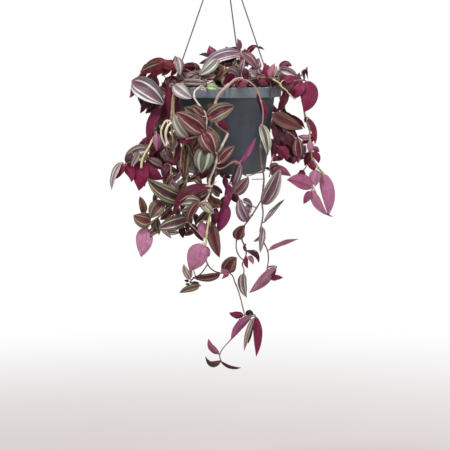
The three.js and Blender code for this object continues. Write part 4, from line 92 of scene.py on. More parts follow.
    ('m', 1.5, 1.1, 'pink', [[45.4,-3.7,-266.1],[47.7,-3.6,-256.8],[50.3,-6.7,-248.2],[52.9,-10.9,-240.0],[56.9,-15.1,-233.1],[59.2,-23.7,-236.5],[61.6,-32.5,-239.7],[65.0,-41.5,-240.8],[66.6,-46,-241.2]]),
    ('m', 1.3, 1, 'pink', [[52.0,-9.7,-242.6],[49.8,-2.9,-236.5],[47.6,3.9,-230.3],[45.0,9.6,-223.3],[42.0,13.3,-215.1],[38.1,16,-207.0]]),
    ('m', 1.5, 1, 'pink', [[52.0,-9.7,-242.6],[60.9,-5.8,-240.5],[70.0,-2.3,-238.3],[79.1,0.5,-235.3],[88.7,2.0,-233.5],[97.7,1.0,-237.4],[106.5,-1.1,-241.5],[115.6,-3.8,-244.3],[123.9,-6,-239.6]]),
    ('n', 1.7, 1.2, 'brown', [[-38.4,5.5,-266.2],[-40.5,6.3,-256.7],[-46.7,3.3,-250.2],[-54.0,-2.2,-246.4],[-61.2,-8.5,-244.1],[-67.9,-15.8,-243.9],[-73.9,-23.4,-245.7],[-78.9,-30.5,-250.3],[-82.6,-36.7,-257.0],[-85.8,-41.4,-265.0],[-88.4,-44.2,-274.1],[-90.8,-46.0,-283.5],[-93.6,-47.3,-292.9],[-96.3,-47.9,-302.4],[-98.7,-48.1,-311.9],[-100.8,-48.0,-321.6],[-102.3,-48.0,-331.3],[-103.0,-47.8,-341.2],[-103.4,-48.2,-351.0],[-103.3,-49.3,-360.8],[-103.6,-50.4,-370.6],[-104.4,-51.5,-380.4],[-104.9,-52.0,-385.3]]),
    ('o', 1.6, 1.4, 'olive', [[-20.9,-48.8,-267.8],[-25.5,-47.5,-259.8],[-29.2,-51.2,-251.3],[-37.7,-54.5,-248.0],[-47.3,-57.2,-248.3],[-56.9,-59.3,-249.9],[-65.6,-59.8,-254.3],[-71.4,-56.8,-261.8],[-75.1,-57.1,-270.7],[-75.6,-62.8,-278.7],[-75.6,-69.0,-286.5],[-75.1,-75.5,-294.1],[-73.9,-81.1,-302.2],[-72.1,-85.9,-310.8],[-69.3,-89.6,-319.6],[-65.5,-92.0,-328.4],[-62.1,-93.2,-337.7],[-59.7,-92.5,-347.4],[-57.3,-91.8,-357.0],[-53.9,-93.4,-366.1],[-50.8,-96.2,-375.1],[-52.4,-96.9,-384.9],[-54.5,-97.1,-394.6],[-56.1,-97.0,-404.4],[-57.1,-97,-414.3],[-57.8,-97,-424.3]]),
    ('o', 1.4, 1, 'olive', [[-62.7,-92.4,-337.2],[-57.9,-99.3,-335.5],[-60.2,-98.2,-344.5],[-62.2,-96.8,-353.6],[-63.1,-96.2,-363.0],[-63.5,-96.0,-372.4],[-63.0,-96.4,-381.8],[-62.0,-97.0,-391.2]]),
    ('e', 1.2, 1.1, 'pink', [[-12.7,-117.8,-375.2],[-5.1,-113.3,-378.8],[2.7,-108.0,-376.7],[10.2,-103.4,-372.5],[17.9,-98.3,-369.5],[25.7,-94.8,-372.0],[24.0,-94.9,-381.5],[21.4,-96.3,-390.7],[18.2,-97.9,-399.8],[15.1,-98.8,-408.9],[11.4,-99.9,-417.8],[6.0,-102.3,-425.6],[-0.3,-104.6,-432.6],[-7.2,-106.0,-439.3]]),
    ('q', 1.4, 0.8, 'trail', [[12.0,-46,-266.7],[12.6,-47.5,-256.8],[11.8,-54.6,-251.3],[9.6,-64.4,-251.3],[7.0,-74.0,-252.8],[3.7,-82.8,-255.5],[-0.6,-89.8,-261.3],[-5.9,-93.3,-268.8],[-10.3,-94.7,-277.6],[-12.6,-95.9,-287.2],[-14.3,-96.8,-297.0],[-16.1,-97.5,-306.8],[-17.7,-98.0,-316.6],[-18.2,-97.9,-326.6],[-17.9,-97.9,-336.5],[-16.8,-99.0,-346.3],[-15.1,-100.7,-356.0],[-12.7,-102.6,-365.5],[-10.5,-104.4,-375.0],[-10.7,-105.9,-384.9],[-12.6,-106.9,-394.6],[-14.8,-108.0,-404.2],[-16.8,-109.3,-413.9],[-18.8,-110.7,-423.6],[-20.7,-111.9,-433.3],[-22.1,-112.8,-443.1],[-23.4,-113.4,-453.0],[-24.3,-113.9,-462.9],[-25.1,-114.5,-472.8],[-25.6,-114.9,-482.7],[-26.0,-115.1,-492.8],[-26.1,-114.4,-502.6],[-25.7,-112.9,-512.5],[-24.1,-110.7,-522.0],[-19.5,-108.1,-530.4],[-11.9,-105.7,-536.3],[-2.7,-103.7,-539.3],[7.1,-101.8,-538.4],[14.4,-100.9,-543.1],[18.0,-101,-552.3],[21.9,-101.0,-561.5],[25.0,-101.1,-571.0],[27.7,-100.6,-580.5],[30.1,-99.9,-590.2],[32.4,-100,-599.9],[33.6,-100,-609.5],[28.7,-100,-618.2],[23.4,-100,-626.6],[17.8,-100,-634.9],[11.9,-100,-642.9],[5.3,-100,-650.4],[-1.0,-100,-658.1],[-4.8,-100,-667.0],[-2.7,-100,-676.8]]),
    ('q', 1, 0.8, 'trail', [[-22.6,-109.9,-524.4],[-27.8,-109.0,-532.3],[-33.7,-108.5,-539.8],[-41.8,-108.0,-544.9],[-48.8,-108,-550.8],[-50.0,-108,-555.5]]),
    ('f', 0.9, 0.8, 'cream', [[60.4,-101.5,-382.6],[52.4,-97.2,-386.8],[44.3,-92.4,-389.9],[37.0,-86.0,-392.3]]),
    ('f', 0.7, 0.6, 'brown', [[62.3,-101.1,-395.5],[53.2,-98.1,-396.0],[44.6,-94,-396.6]]),
    ('r', 1.8, 1.2, 'pink', [[45.9,16.5,-266.2],[50.4,18.3,-258.5],[57.9,21.2,-252.7],[66.0,25.0,-248.4],[74.2,29.8,-245.9],[82.5,34.7,-247.8],[88.8,38.7,-254.0],[91.2,40.7,-263.3],[91.5,41.2,-273.2],[92.8,41.0,-283.0],[94.1,40.3,-292.8],[94.6,40.1,-302.7],[94.4,40.3,-312.6],[94.4,40.1,-322.5],[94.8,39.2,-332.4],[95.0,38.7,-342.3],[94.8,39.3,-352.1],[94.4,40.2,-362]]),
    ('s', 1.8, 1.2, 'beige', [[32.2,34.8,-266.2],[35.1,38.5,-258.5],[40.2,44.7,-252.8],[45.2,52.0,-248.5],[49.9,60.2,-245.9],[54.5,68.5,-247.7],[58.1,75.2,-253.8],[60.5,79.2,-262.4],[61.7,81.5,-271.9],[61.0,84.1,-281.3],[58.8,86.5,-290.6],[57.9,88.3,-300.2],[58.9,89.6,-309.9],[59.8,90.0,-319.7],[59.7,88.8,-329.4],[59.5,87.4,-339.1],[59.9,87.7,-349.0],[60.5,88.7,-358.7],[59.6,89.6,-368.5],[57.3,90.4,-378]]),
    ('t', 1.8, 1.2, 'pink', [[14.2,43.2,-266.2],[15.2,47.8,-258.6],[17.0,55.5,-252.8],[18.3,64.2,-248.6],[19.0,73.6,-246.0],[19.5,83.0,-247.5],[19.7,90.6,-253.6],[20.2,95.4,-262.0],[20.3,98.1,-271.4],[18.1,99.8,-280.7],[14.1,100.2,-289.6],[12.5,100.7,-299.1],[15.6,101.1,-308.4],[18.6,101.6,-317.6],[17.9,102.9,-327.2],[15.4,104.4,-336.6],[13.0,105.0,-346.0],[10.5,104.7,-355.4],[8.2,104.0,-364.9],[6.3,103.0,-374.5],[4.5,101.9,-384.0]]),
    ('u', 1.8, 1.2, 'beige', [[-3.4,43.3,-266.2],[-4.3,48.0,-258.5],[-5.7,55.9,-252.7],[-7.9,64.5,-248.5],[-11.0,73.5,-245.9],[-14.2,82.5,-247.7],[-17.0,89.5,-254.0],[-18.9,93.9,-262.6],[-19.9,96.3,-272.1],[-19.5,97.5,-281.8],[-18.1,97.7,-291.6],[-16.5,98.9,-301.2],[-14.7,101.5,-310.6],[-12.6,103.2,-320.1],[-10.0,102.3,-329.5],[-7.1,101.2,-338.9],[-3.8,102.1,-348.1],[-0.3,104.0,-357.2],[1.2,104.1,-366.8],[0.0,101.9,-376.4],[-0.1,101.5,-385.6],[2.7,105.6,-386]]),
    ('v', 1.8, 1.2, 'pink', [[-19.1,37.0,-266.2],[-21.6,41.0,-258.6],[-25.8,47.7,-252.9],[-30.9,54.7,-248.6],[-37.1,61.8,-246.0],[-43.4,68.9,-247.5],[-48.6,74.4,-253.4],[-51.7,78.0,-261.9],[-53.5,79.9,-271.3],[-56.2,80.8,-280.6],[-59.3,80.5,-289.8],[-60.4,81.1,-299.4],[-58.4,83.2,-308.7],[-55.7,85.2,-317.8],[-53.3,86.0,-327.3],[-51.1,86.2,-336.8],[-50.2,86.1,-346.4],[-50.6,85.6,-356.2],[-50.0,85.8,-365.9],[-47.8,87.1,-375.3],[-46.6,87.7,-380.0]]),
    ('w', 1.8, 1.2, 'beige', [[-30.7,26.0,-266.2],[-34.5,28.7,-258.6],[-40.8,33.5,-252.8],[-48.2,38.2,-248.6],[-56.4,42.7,-246.0],[-64.9,47.0,-247.5],[-71.7,50.3,-253.5],[-76.0,52.4,-261.9],[-78.3,53.5,-271.3],[-80.8,54.4,-280.7],[-83.1,55.1,-290.2],[-85.0,54.5,-299.7],[-86.2,52.2,-309.1],[-87.0,49.2,-318.4],[-87.4,45.3,-327.3],[-87.5,41.3,-336.2],[-87.7,41.2,-345.8],[-88.0,45.0,-354.7],[-87.9,47.1,-364.0],[-86.7,41.7,-372.0]]),
    ('x', 1.8, 1.2, 'beige', [[48.7,-6.1,-266.2],[53.5,-6.8,-258.6],[62.3,-8.1,-254.3],[71.6,-9.4,-251.0],[81.0,-10.9,-248.8],[90.3,-10.5,-251.7],[95.7,-8.6,-259.4],[96.2,-6.6,-269.0],[96.7,-4.9,-278.7],[96.9,-3.4,-288.5],[97.3,-1.6,-298.2],[97.8,-0.1,-308.0],[98.3,-0.8,-317.8],[98.7,-3.6,-327.2],[98.9,-4.9,-332]]),
    ('y', 1.8, 1.2, 'olive', [[-35.0,13.8,-266.1],[-39.5,15.3,-258.5],[-48.1,18.3,-254.9],[-57.0,21.3,-252.1],[-65.9,24.8,-250.1],[-75.2,27.4,-250.2],[-83.7,26.7,-254.7],[-89.6,21.6,-260.5],[-93.1,14.8,-266.6],[-95.0,7.5,-272.8],[-96.0,0.4,-279.5],[-96.4,-5.7,-287.2],[-96.2,-11.2,-295.3],[-95.8,-16.4,-303.5],[-94.9,-21.3,-311.9],[-93.7,-25.8,-320.6],[-92.4,-29.5,-329.6],[-90.9,-32.6,-338.7],[-89.4,-35.4,-348.0],[-87.8,-37.9,-357.3],[-87.1,-39.1,-362.0]]),
    ('g', 1.8, 1.2, 'olive', [[48.5,7.7,-266.2],[53.2,8.5,-258.6],[61.9,10.0,-254.3],[71.0,11.6,-251.0],[80.4,13.3,-248.8],[89.4,14.9,-251.6],[94.9,15.9,-259.4],[95.5,16.0,-269.2],[96.1,15.2,-278.9],[96.4,14.5,-288.7],[96.8,15.0,-298.5],[97.2,16.0,-308.3],[97.8,16.3,-318.0],[98.6,15.8,-327.8],[99.4,15.2,-337.6],[99.9,15.1,-347.4],[99.7,16.1,-357.1],[99.5,16.7,-362]]),
    ('p', 1.8, 1.2, 'cream', [[-30.7,19.0,-266.0],[-34.9,21.2,-258.3],[-42.8,25.4,-254.2],[-51.0,29.8,-251.1],[-59.5,34.5,-249.6],[-68.2,39.0,-249.8],[-77.0,41.7,-253.0],[-84.4,41.4,-259.3],[-89.2,38.5,-267.3],[-92.7,34.9,-275.8],[-95.1,31.2,-284.6],[-96.8,28.1,-293.7],[-97.8,25.2,-303.1],[-98.6,22.7,-312.5],[-99.1,20.4,-322.1],[-99.4,18.5,-331.7],[-99.3,16.8,-341.4],[-99.1,15.4,-351.1],[-99.0,14.6,-356.0]]),
    ('k', 0.9, 0.5, 'beige', [[14.3,-30.0,-253.1],[9.6,-40.0,-243.7],[3.4,-44.0,-237.4],[6.5,-44.0,-229.8],[12.7,-42.0,-228.2]]),
    ('k', 0.8, 0.5, 'brown', [[20.4,-36.0,-246.8],[15.8,-44.0,-235.9],[20.4,-46.0,-228.2],[25.0,-46.0,-232.8],[23.5,-46.0,-238.9]]),
    ('l', 0.8, 0.5, 'beige', [[-10.6,-20.0,-253.3],[-5.9,-40.0,-242.1],[-8.9,-46.0,-232.8],[-15.1,-46.0,-229.7],[-18.1,-48.0,-234.3]]),
    ('l', 0.8, 0.4, 'brown', [[-4.4,-24.0,-250.1],[0.3,-42.0,-240.5],[6.5,-46.0,-234.3],[11.1,-47.0,-237.4]]),
    ('k', 0.7, 0.4, 'pink', [[26.6,-36.0,-246.8],[31.2,-44.0,-235.9],[28.1,-44.0,-226.7],[22.0,-40.0,-222.1]]),
    ('m', 0.8, 0.5, 'beige', [[60.8,-30.0,-246.9],[66.5,-50.0,-240.4],[72.7,-50.0,-235.8],[69.7,-46.0,-229.7]]),
    ('m', 0.7, 0.4, 'brown', [[73.5,-20.0,-247.1],[78.9,-50.0,-241.9],[86.5,-52.0,-245.0],[81.9,-52.0,-249.6]]),
]
# leaf: shoot, midrib start, midrib control, tip, direction across, width, fold, tone, side towards the front, point on the stem, distance from it, pale margins or None
LEAVES = [
    ('a', (-138.7, -60, -250.0), (-109.2, -79, -261.0), (-88.6, -74, -283.6), (-0.582, -0.181, -0.793), 36.4, 16, 'P5', 1, (-130.2, -56, -243.7), 10, (0.0, 1.0)),
    ('c', (-62.0, -102, -427.4), (-91.0, -119, -414.7), (-114.3, -112, -393.9), (0.542, -0.013, 0.841), 26.9, 16, 'OG', 1, (-71.8, -102.3, -433.2), 11.4, (0.25, 0.25)),
    ('d', (-28.2, -116, -323.4), (-47.4, -131, -305.3), (-70.4, -122, -293.3), (0.558, 0.15, 0.816), 31.5, 16, 'B', 1, (-29.3, -114.7, -322.1), 2.1, (0.0, 0.0)),
    ('e', (-32.1, -124, -491.5), (-38.2, -136, -512.5), (-50.3, -128, -533.6), (0.917, -0.102, -0.385), 32.1, 10, 'M', -1, (-26.5, -124.3, -493.0), 5.8, None),
    ('f', (60.9, -103, -433.4), (77.9, -115.5, -406.9), (87.2, -108, -378.2), (0.894, 0.182, -0.409), 24.9, 20, 'VP', 1, (60.5, -101, -433.4), 2, (0.3, 0.7)),
    ('i', (154.8, -44, -392.1), (167.8, -55, -422.6), (163.3, -50, -457.0), (0.981, -0.135, 0.142), 22.2, 12, 'M5', -1, (155.7, -41.7, -391.7), 2.5, None),
    ('k', (28.7, -28, -206.8), (-11.9, -45, -203.6), (-35.2, -42, -236.5), (-0.457, 0.339, 0.822), 22.1, 20, 'P2', 1, (28.7, -22.5, -209.6), 6, (0.8, 0.2)),
    ('h', (128.4, -44, -248.2), (141.7, -56, -273.2), (124.9, -52, -296.4), (0.995, 0.052, -0.082), 28.9, 14, 'W', -1, (124.2, -42.6, -246.8), 3.9, None),
    ('e', (-16.2, -122, -405.2), (-69.2, -133, -399.9), (-74.3, -124, -454.3), (0.569, -0.497, -0.654), 19.5, 18, 'W5', -1, (-15.3, -120.6, -405.8), 1.8, None),
    ('b', (-124.2, -82, -368.6), (-121.2, -96, -390.9), (-128.2, -90, -413.9), (0.986, 0.127, -0.109), 27.6, 14, 'WM3', -1, (-126.6, -80.5, -370.9), 3.6, None),
    ('f', (-22.2, -117, -303.8), (-3.8, -126.5, -289.6), (18.5, -116, -284.3), (0.431, -0.137, -0.892), 28.2, 20, 'OD', 1, (-11.0, -112.4, -280.8), 24.6, (0.2, 0.2)),
    ('c', (-118.6, -98, -469.9), (-118.2, -109, -491.7), (-124.7, -104, -514.5), (0.979, 0.135, -0.151), 26.5, 12, 'M7', -1, (-114.8, -97.1, -469.7), 3.3, None),
    ('d', (-29.7, -116, -324.9), (-18.3, -132, -338.4), (-12.4, -124, -356.0), (-0.88, -0.119, -0.459), 32.7, 14, 'B', 1, (-30.9, -114.6, -323.6), 2.2, None),
    ('e', (-25.2, -120, -348.7), (-31.8, -130, -365.9), (-32.7, -124, -385.4), (-0.978, 0.087, 0.191), 31.8, 18, 'GD', 1, (-6.6, -116.3, -357.4), 20.8, None),
    ('e', (-19.3, -117, -459.5), (-14.6, -124.5, -486.9), (-4.2, -120, -514.1), (-0.945, -0.209, -0.251), 21.1, 20, 'B3', 1, (-22.0, -125.5, -459.4), 9, None),
    ('j', (77.0, -40, -299.2), (98.9, -48, -314.4), (125.6, -36, -322.2), (-0.41, -0.163, -0.897), 23.3, 20, 'B4', 1, (87.9, -35.3, -303.6), 12.7, None),
    ('c', (-54.4, -104, -456.3), (-76.5, -118, -462.1), (-99.0, -112, -469.9), (-0.285, -0.049, 0.957), 24.1, 18, 'V3', 1, (-55.3, -104.0, -452.2), 3.1, None),
    ('b', (-94.8, -62, -286.1), (-117.8, -72, -313.1), (-111.8, -66, -348.9), (0.88, -0.426, -0.211), 18, 16, 'W', -1, (-97.6, -42.9, -288.6), 19.4, None),
    ('i', (138.6, -58, -411.9), (121.1, -67, -396.5), (99.1, -60, -400.2), (-0.274, -0.166, -0.947), 23.8, 12, 'M6', -1, (140.0, -55.6, -411.6), 2.4, None),
    ('b', (-122.2, -76, -373.3), (-110.4, -85, -389.4), (-91.6, -78, -396.9), (0.605, -0.09, 0.791), 24.8, 14, 'W', -1, (-123.9, -78.8, -372.6), 3.3, None),
    ('f', (81.3, -103, -530.8), (64.7, -110.5, -553.8), (40.1, -106, -569.6), (0.63, 0.348, -0.694), 19.9, 26, 'K6', -1, (67.7, -102.0, -530.0), 13.6, None),
    ('q', (50.2, -98, -607.2), (60.6, -105, -636.7), (49.8, -100, -668.2), (0.9, 0.435, -0.02), 17.2, 20, 'W', -1, (33.6, -100, -609.5), 16.9, None),
    ('e', (5.7, -109, -434.4), (1.4, -116, -456.0), (-8.7, -111, -476.9), (0.93, -0.204, -0.306), 19.9, 16, 'WM2', -1, (0.4, -103.6, -431.1), 8.3, None),
    ('a', (-87.1, -58, -218.9), (-110.2, -65, -220.6), (-125.4, -60, -238.7), (0.444, 0.183, -0.877), 20.8, 12, 'WR', -1, (-89.3, -47.5, -219.4), 10.8, None),
    ('h', (119.2, -44, -246.7), (113.8, -55, -261.0), (109.0, -50, -275.7), (0.943, -0.15, -0.298), 27.1, 12, 'W', -1, (119.7, -44.9, -247), 1.1, None),
    ('f', (57.8, -106, -313.3), (67.8, -113, -335.2), (69.2, -108, -360.1), (-0.92, -0.332, -0.21), 18.5, 24, 'GV', 1, (59.5, -104, -313.4), 2.6, (1.0, 1.0)),
    ('c', (-74.1, -86, -253.4), (-62.5, -99, -266.9), (-46.1, -96, -273.3), (-0.61, -0.169, -0.774), 22, 12, 'G2', 1, (-69.6, -86.4, -258.2), 6.6, None),
    ('d', (-26.0, -110, -301.0), (-43.4, -114, -296.1), (-58.5, -106, -286.1), (0.429, 0.214, 0.877), 21, 18, 'O', 1, (-24.7, -114.9, -300.6), 5.1, None),
    ('b', (-115.0, -82, -352.5), (-137.2, -95, -349.1), (-149.6, -92, -368.7), (-0.386, -0.136, 0.912), 20.4, 24, 'S', 1, (-116.3, -74.2, -354.1), 8.1, None),
    ('c', (-91.0, -100, -432.2), (-104.4, -113, -439.1), (-108.9, -110, -454.9), (-0.809, 0.19, 0.556), 24.8, 16, 'O', 1, (-81.8, -99, -435.3), 9.7, None),
    ('c', (-110.2, -98, -459.9), (-124.6, -110, -459.9), (-135.6, -106, -449.9), (0.357, 0.027, 0.933), 26.1, 16, 'OD2', 1, (-107.8, -97.7, -462.5), 3.5, None),
    ('f', (37.7, -98, -459.9), (25.8, -107, -443.4), (25.4, -104, -424.2), (0.943, -0.15, 0.299), 19.9, 22, 'K', 1, (38.2, -96.4, -460.0), 1.7, None),
    ('o', (-81.0, -60, -254), (-78.9, -67, -281.4), (-83.4, -62, -309.1), (0.82, 0.57, -0.057), 15.6, 20, 'W3', -1, (-70.7, -57.2, -260.8), 12.7, None),
    ('i', (138.8, -56, -416), (145.3, -61, -438.6), (163.1, -54, -455.8), (0.794, 0.343, 0.502), 16.8, 22, 'M', -1, (140.0, -55.6, -411.6), 3.2, None),
    ('e', (15.6, -104, -416.6), (31.7, -114, -407.4), (39.0, -108, -391.1), (0.739, 0.076, -0.67), 20.3, 20, 'K4', 1, (11.6, -100.1, -415.4), 5.7, None),
    ('d', (-52.4, -111, -331.1), (-69.3, -115.5, -316.2), (-72.7, -112, -294.2), (0.815, -0.381, 0.436), 18, 22, 'GB', 1, (-51.8, -110.8, -333.2), 2.2, None),
    ('o', (-59.0, -90, -342.9), (-60.9, -96, -369.0), (-68.9, -94, -394.5), (0.901, -0.41, -0.142), 14.3, 20, 'W2', -1, (-60.6, -92.9, -343.4), 3.4, None),
    ('j', (96.4, -42, -325.4), (103.0, -50, -336.1), (104.1, -46, -349.2), (0.952, 0.085, 0.293), 27.3, 14, 'D2', -1, (97.5, -41.8, -324.1), 1.8, None),
    ('k', (-7.4, -44, -214.7), (-20.4, -54, -229.1), (-37.4, -52, -238.8), (-0.637, 0.401, 0.658), 19.8, 20, 'GS', 1, (-9.3, -41.5, -221.2), 6.9, None),
    ('q', (43.2, -102, -608.1), (20.9, -109, -618.4), (12.3, -104, -643.1), (0.706, 0.3, -0.641), 15.9, 20, 'M3', -1, (33.6, -100, -609.5), 10, None),
    ('q', (4.9, -108, -537.0), (8.4, -117, -521.0), (21.7, -110, -514.5), (0.804, 0.061, -0.592), 24.7, 22, 'B3', 1, (4.0, -102.4, -539.0), 6, None),
    ('e', (-4.9, -118, -370.0), (4.4, -123, -354.5), (18.2, -116, -343.7), (0.7, -0.412, -0.583), 18.8, 18, 'B', 1, (-10.6, -117.2, -368.3), 6, None),
    ('e', (-34.3, -122, -430.2), (-53.1, -129, -419.8), (-69.0, -124, -434.6), (-0.103, -0.293, 0.951), 18.8, 18, 'V4', 1, (-34.1, -121.7, -430.6), 0.6, None),
    ('j', (118.2, -44, -364.9), (116.4, -52, -349.3), (115.4, -44, -334.6), (0.98, -0.176, 0.09), 20.6, 18, 'B', 1, (121.3, -44, -362.7), 3.6, None),
    ('n', (-100.1, -43, -274.4), (-106.2, -46, -285.1), (-112.7, -41, -296.1), (0.795, 0.438, -0.42), 26.4, 14, 'D2', -1, (-89.3, -43.7, -277.3), 11.3, None),
    ('e', (-34.2, -126, -429.8), (-48.1, -133, -442.1), (-51.6, -128, -461.4), (-0.782, 0.479, 0.399), 19.4, 30, 'B', 1, (-34.6, -121.8, -430.9), 4.3, None),
    ('o', (-54.3, -96, -345.6), (-56.1, -102, -371.1), (-58.1, -100, -397.1), (-0.894, -0.437, 0.101), 12.5, 20, 'O', 1, (-59.7, -98.3, -344.8), 5.9, None),
    ('o', (-48.3, -94, -341.1), (-51.2, -99, -362.9), (-54.4, -96, -385.2), (-0.905, 0.411, 0.107), 14.3, 20, 'O2', 1, (-58.7, -98.8, -339.7), 11.6, None),
    ('j', (82.5, -38, -314.8), (84.6, -47, -330.6), (87.1, -44, -347.0), (0.983, 0.148, 0.112), 17.9, 14, 'D2', -1, (84.3, -35.8, -315.3), 2.9, None),
    ('d', (-26.0, -112, -317.5), (-9.2, -118, -326.1), (-4.1, -112, -344.7), (-0.66, -0.531, -0.531), 18.5, 20, 'OG', 1, (-25.5, -115, -316.2), 3, None),
    ('f', (31.3, -95, -541.8), (29.2, -102.5, -560.0), (36.4, -98, -578.5), (-0.904, 0.398, -0.157), 17.6, 26, 'S', 1, (32, -93, -541.9), 2.1, None),
    ('j', (71.3, -60, -384.7), (90.7, -65, -380.5), (105.3, -58, -394.9), (0.267, 0.232, 0.936), 16.4, 18, 'M3', -1, (73.2, -55.7, -386.3), 5, None),
    ('e', (8.0, -100, -403.2), (9.8, -108, -425.0), (-0.4, -104, -445.6), (0.823, -0.557, -0.11), 15.6, 22, 'WM2', -1, (15.4, -98.8, -406.5), 8.2, None),
    ('q', (-4.2, -108, -539.3), (-24.8, -114, -546.5), (-46.9, -108, -546.2), (-0.144, -0.431, 0.891), 15.8, 24, 'B', 1, (-4.7, -104.2, -537.6), 4.2, None),
    ('k', (28.2, -30, -206.8), (44.9, -41, -214.7), (52.9, -40, -231.3), (-0.718, -0.432, -0.545), 18.6, 20, 'K4', 1, (28.6, -22.6, -210.1), 8, None),
    ('n', (-99.8, -62, -366.1), (-91.9, -67, -376.5), (-84.4, -64, -387.5), (0.789, -0.191, 0.584), 22, 20, 'D2', -1, (-103.9, -50.4, -366.8), 12.4, None),
    ('o', (-43.8, -92, -351.9), (-41.4, -97, -369.9), (-39.2, -94, -388.4), (-0.876, -0.476, -0.083), 16.1, 18, 'O2', 1, (-57.4, -92.5, -355.4), 14.2, None),
    ('b', (-150.5, -90, -373.1), (-138.6, -96, -384.3), (-138.3, -94, -400.9), (0.858, -0.296, 0.42), 18.1, 18, 'W', -1, (-149.0, -89.6, -375.2), 2.6, None),
    ('e', (26.2, -99, -372.8), (23.0, -106.5, -394.4), (14.1, -102, -415.2), (-0.837, -0.475, 0.273), 13.4, 24, 'K', 1, (25.4, -94.9, -373.0), 4.2, None),
    ('i', (143.5, -50, -385.4), (143.2, -58, -397.2), (143.5, -54, -409.9), (0.996, 0.085, -0.017), 19.9, 12, 'M', -1, (145.5, -45.4, -388.1), 5.7, None),
    ('q', (48.6, -104, -608.5), (37.4, -109, -632.7), (32.1, -106, -660.1), (-0.799, 0.554, 0.234), 11.1, 30, 'S4', 1, (33.6, -100, -609.5), 15.5, None),
    ('o', (-65.2, -87, -355.3), (-67.0, -92, -373.3), (-69.1, -89, -391.8), (-0.82, -0.56, 0.117), 15.3, 18, 'O2', 1, (-58.0, -92.5, -353.6), 9.2, None),
    ('o', (-71.2, -90, -336.8), (-69.3, -95, -354.8), (-67.6, -92, -373.3), (0.85, -0.515, 0.112), 15.3, 18, 'W2', -1, (-63.9, -92.0, -334.0), 8.1, None),
    ('j', (97.5, -30, -262.4), (96.5, -37, -281.8), (84.1, -36, -297.1), (0.884, -0.378, -0.277), 13.9, 18, 'W2', -1, (95.4, -21.8, -266.2), 9.3, None),
    ('b', (-155.0, -92, -371.0), (-168.7, -97, -389.7), (-169.6, -94, -413.6), (-0.843, 0.467, 0.267), 12.5, 24, 'S', 1, (-149.5, -89.7, -375.6), 7.3, None),
    ('f', (24.0, -98, -488.3), (21.2, -107, -472.7), (34.6, -104, -467.0), (0.899, 0.028, -0.438), 19.8, 16, 'B3', 1, (22.3, -95.0, -488.1), 3.5, None),
    ('e', (26.2, -96, -371.5), (20.9, -103, -388.3), (10.3, -98, -403.3), (-0.815, -0.387, 0.432), 14.7, 24, 'K4', 1, (25.5, -94.9, -371.9), 1.4, None),
    ('a', (-96.3, -56, -218.1), (-81.9, -61, -223.6), (-70.3, -54, -233.4), (0.506, 0.026, 0.862), 15.1, 14, 'WR', -1, (-97.7, -49.7, -220.1), 6.7, None),
    ('i', (89.5, -28, -231.5), (104.9, -37, -231.5), (115.7, -34, -243.0), (-0.29, 0.4, -0.87), 18.1, 20, 'S2', 1, (88.3, -22, -245.3), 15.1, None),
    ('j', (87.0, -48, -349.9), (93.7, -56, -359.1), (100.8, -52, -369.0), (0.799, -0.077, 0.596), 19.2, 14, 'W', -1, (81.1, -41.9, -350.4), 8.5, None),
    ('k', (26.5, -48, -228.2), (32.2, -57, -237.2), (38.0, -54, -246.5), (0.858, 0.133, 0.495), 20.9, 14, 'D2', -1, (22.7, -24.9, -228.2), 23.4, None),
    ('e', (-25.3, -118, -406.3), (-40.7, -124, -405.1), (-55.5, -118, -410.8), (0.133, -0.446, -0.885), 15.4, 18, 'W3', -1, (-20.6, -120.1, -406.5), 5.1, None),
    ('o', (-53.0, -98, -446.1), (-54.1, -102, -461.0), (-55.3, -98, -476.8), (-0.932, -0.355, 0.072), 15.5, 20, 'O2', 1, (-57.7, -97, -422.9), 22.4, None),
    ('c', (-60.4, -86, -248.9), (-40.5, -96.5, -247.4), (-21.5, -99, -252.1), (0.079, 0.455, -0.887), 12.7, 14, 'S', 1, (-64.8, -80.8, -254.4), 8.8, None),
    ('n', (-99.7, -63, -353.7), (-98, -68, -365.7), (-96.6, -65, -378.2), (0.9, -0.411, 0.146), 20.2, 20, 'W2', -1, (-103.4, -49.4, -354.6), 14.2, None),
    ('j', (79.4, -42, -336.3), (80.8, -48, -353.3), (76.3, -46, -370.2), (0.956, -0.289, -0.054), 13.2, 14, 'D2', -1, (82.3, -39.6, -337), 3.9, None),
    ('f', (61.3, -103, -470.1), (56.3, -108, -488.4), (57.5, -105, -508.2), (-0.875, -0.471, 0.111), 14.1, 30, 'S', 1, (58.1, -101, -469.5), 3.8, None),
    ('n', (-88.8, -58, -272.4), (-90.6, -63, -291.4), (-92.7, -60, -310.7), (0.854, -0.517, -0.06), 13.7, 20, 'D2', -1, (-88.7, -43.3, -275.3), 14.9, None),
    ('b', (-123.3, -84, -353.9), (-134.5, -90, -362.7), (-146.1, -88, -372.0), (-0.542, -0.355, 0.761), 15.3, 14, 'P3', 1, (-119.0, -75.6, -358.9), 10.7, None),
    ('e', (-32.8, -122, -459.0), (-29.0, -126.5, -471.1), (-25.3, -123, -484.0), (0.906, 0.333, 0.26), 16.5, 18, 'M', -1, (-22.2, -125.5, -460.4), 11.3, None),
    ('e', (-32.8, -124, -430.0), (-24.4, -128, -440.0), (-12.4, -124, -445.9), (-0.524, -0.524, -0.671), 18.4, 24, 'G', 1, (-33.3, -121.5, -430.1), 2.5, None),
    ('d', (-37.4, -108, -329.8), (-53.5, -111, -332.5), (-67.7, -106, -341.2), (0.333, -0.215, -0.918), 12.7, 14, 'W3', -1, (-38.7, -113.7, -329.7), 5.8, None),
    ('e', (4.9, -107, -420.9), (0.4, -112, -432.6), (-4.2, -109, -445.1), (0.867, -0.402, -0.293), 17.4, 20, 'W3', -1, (6.8, -101.6, -424.1), 6.6, None),
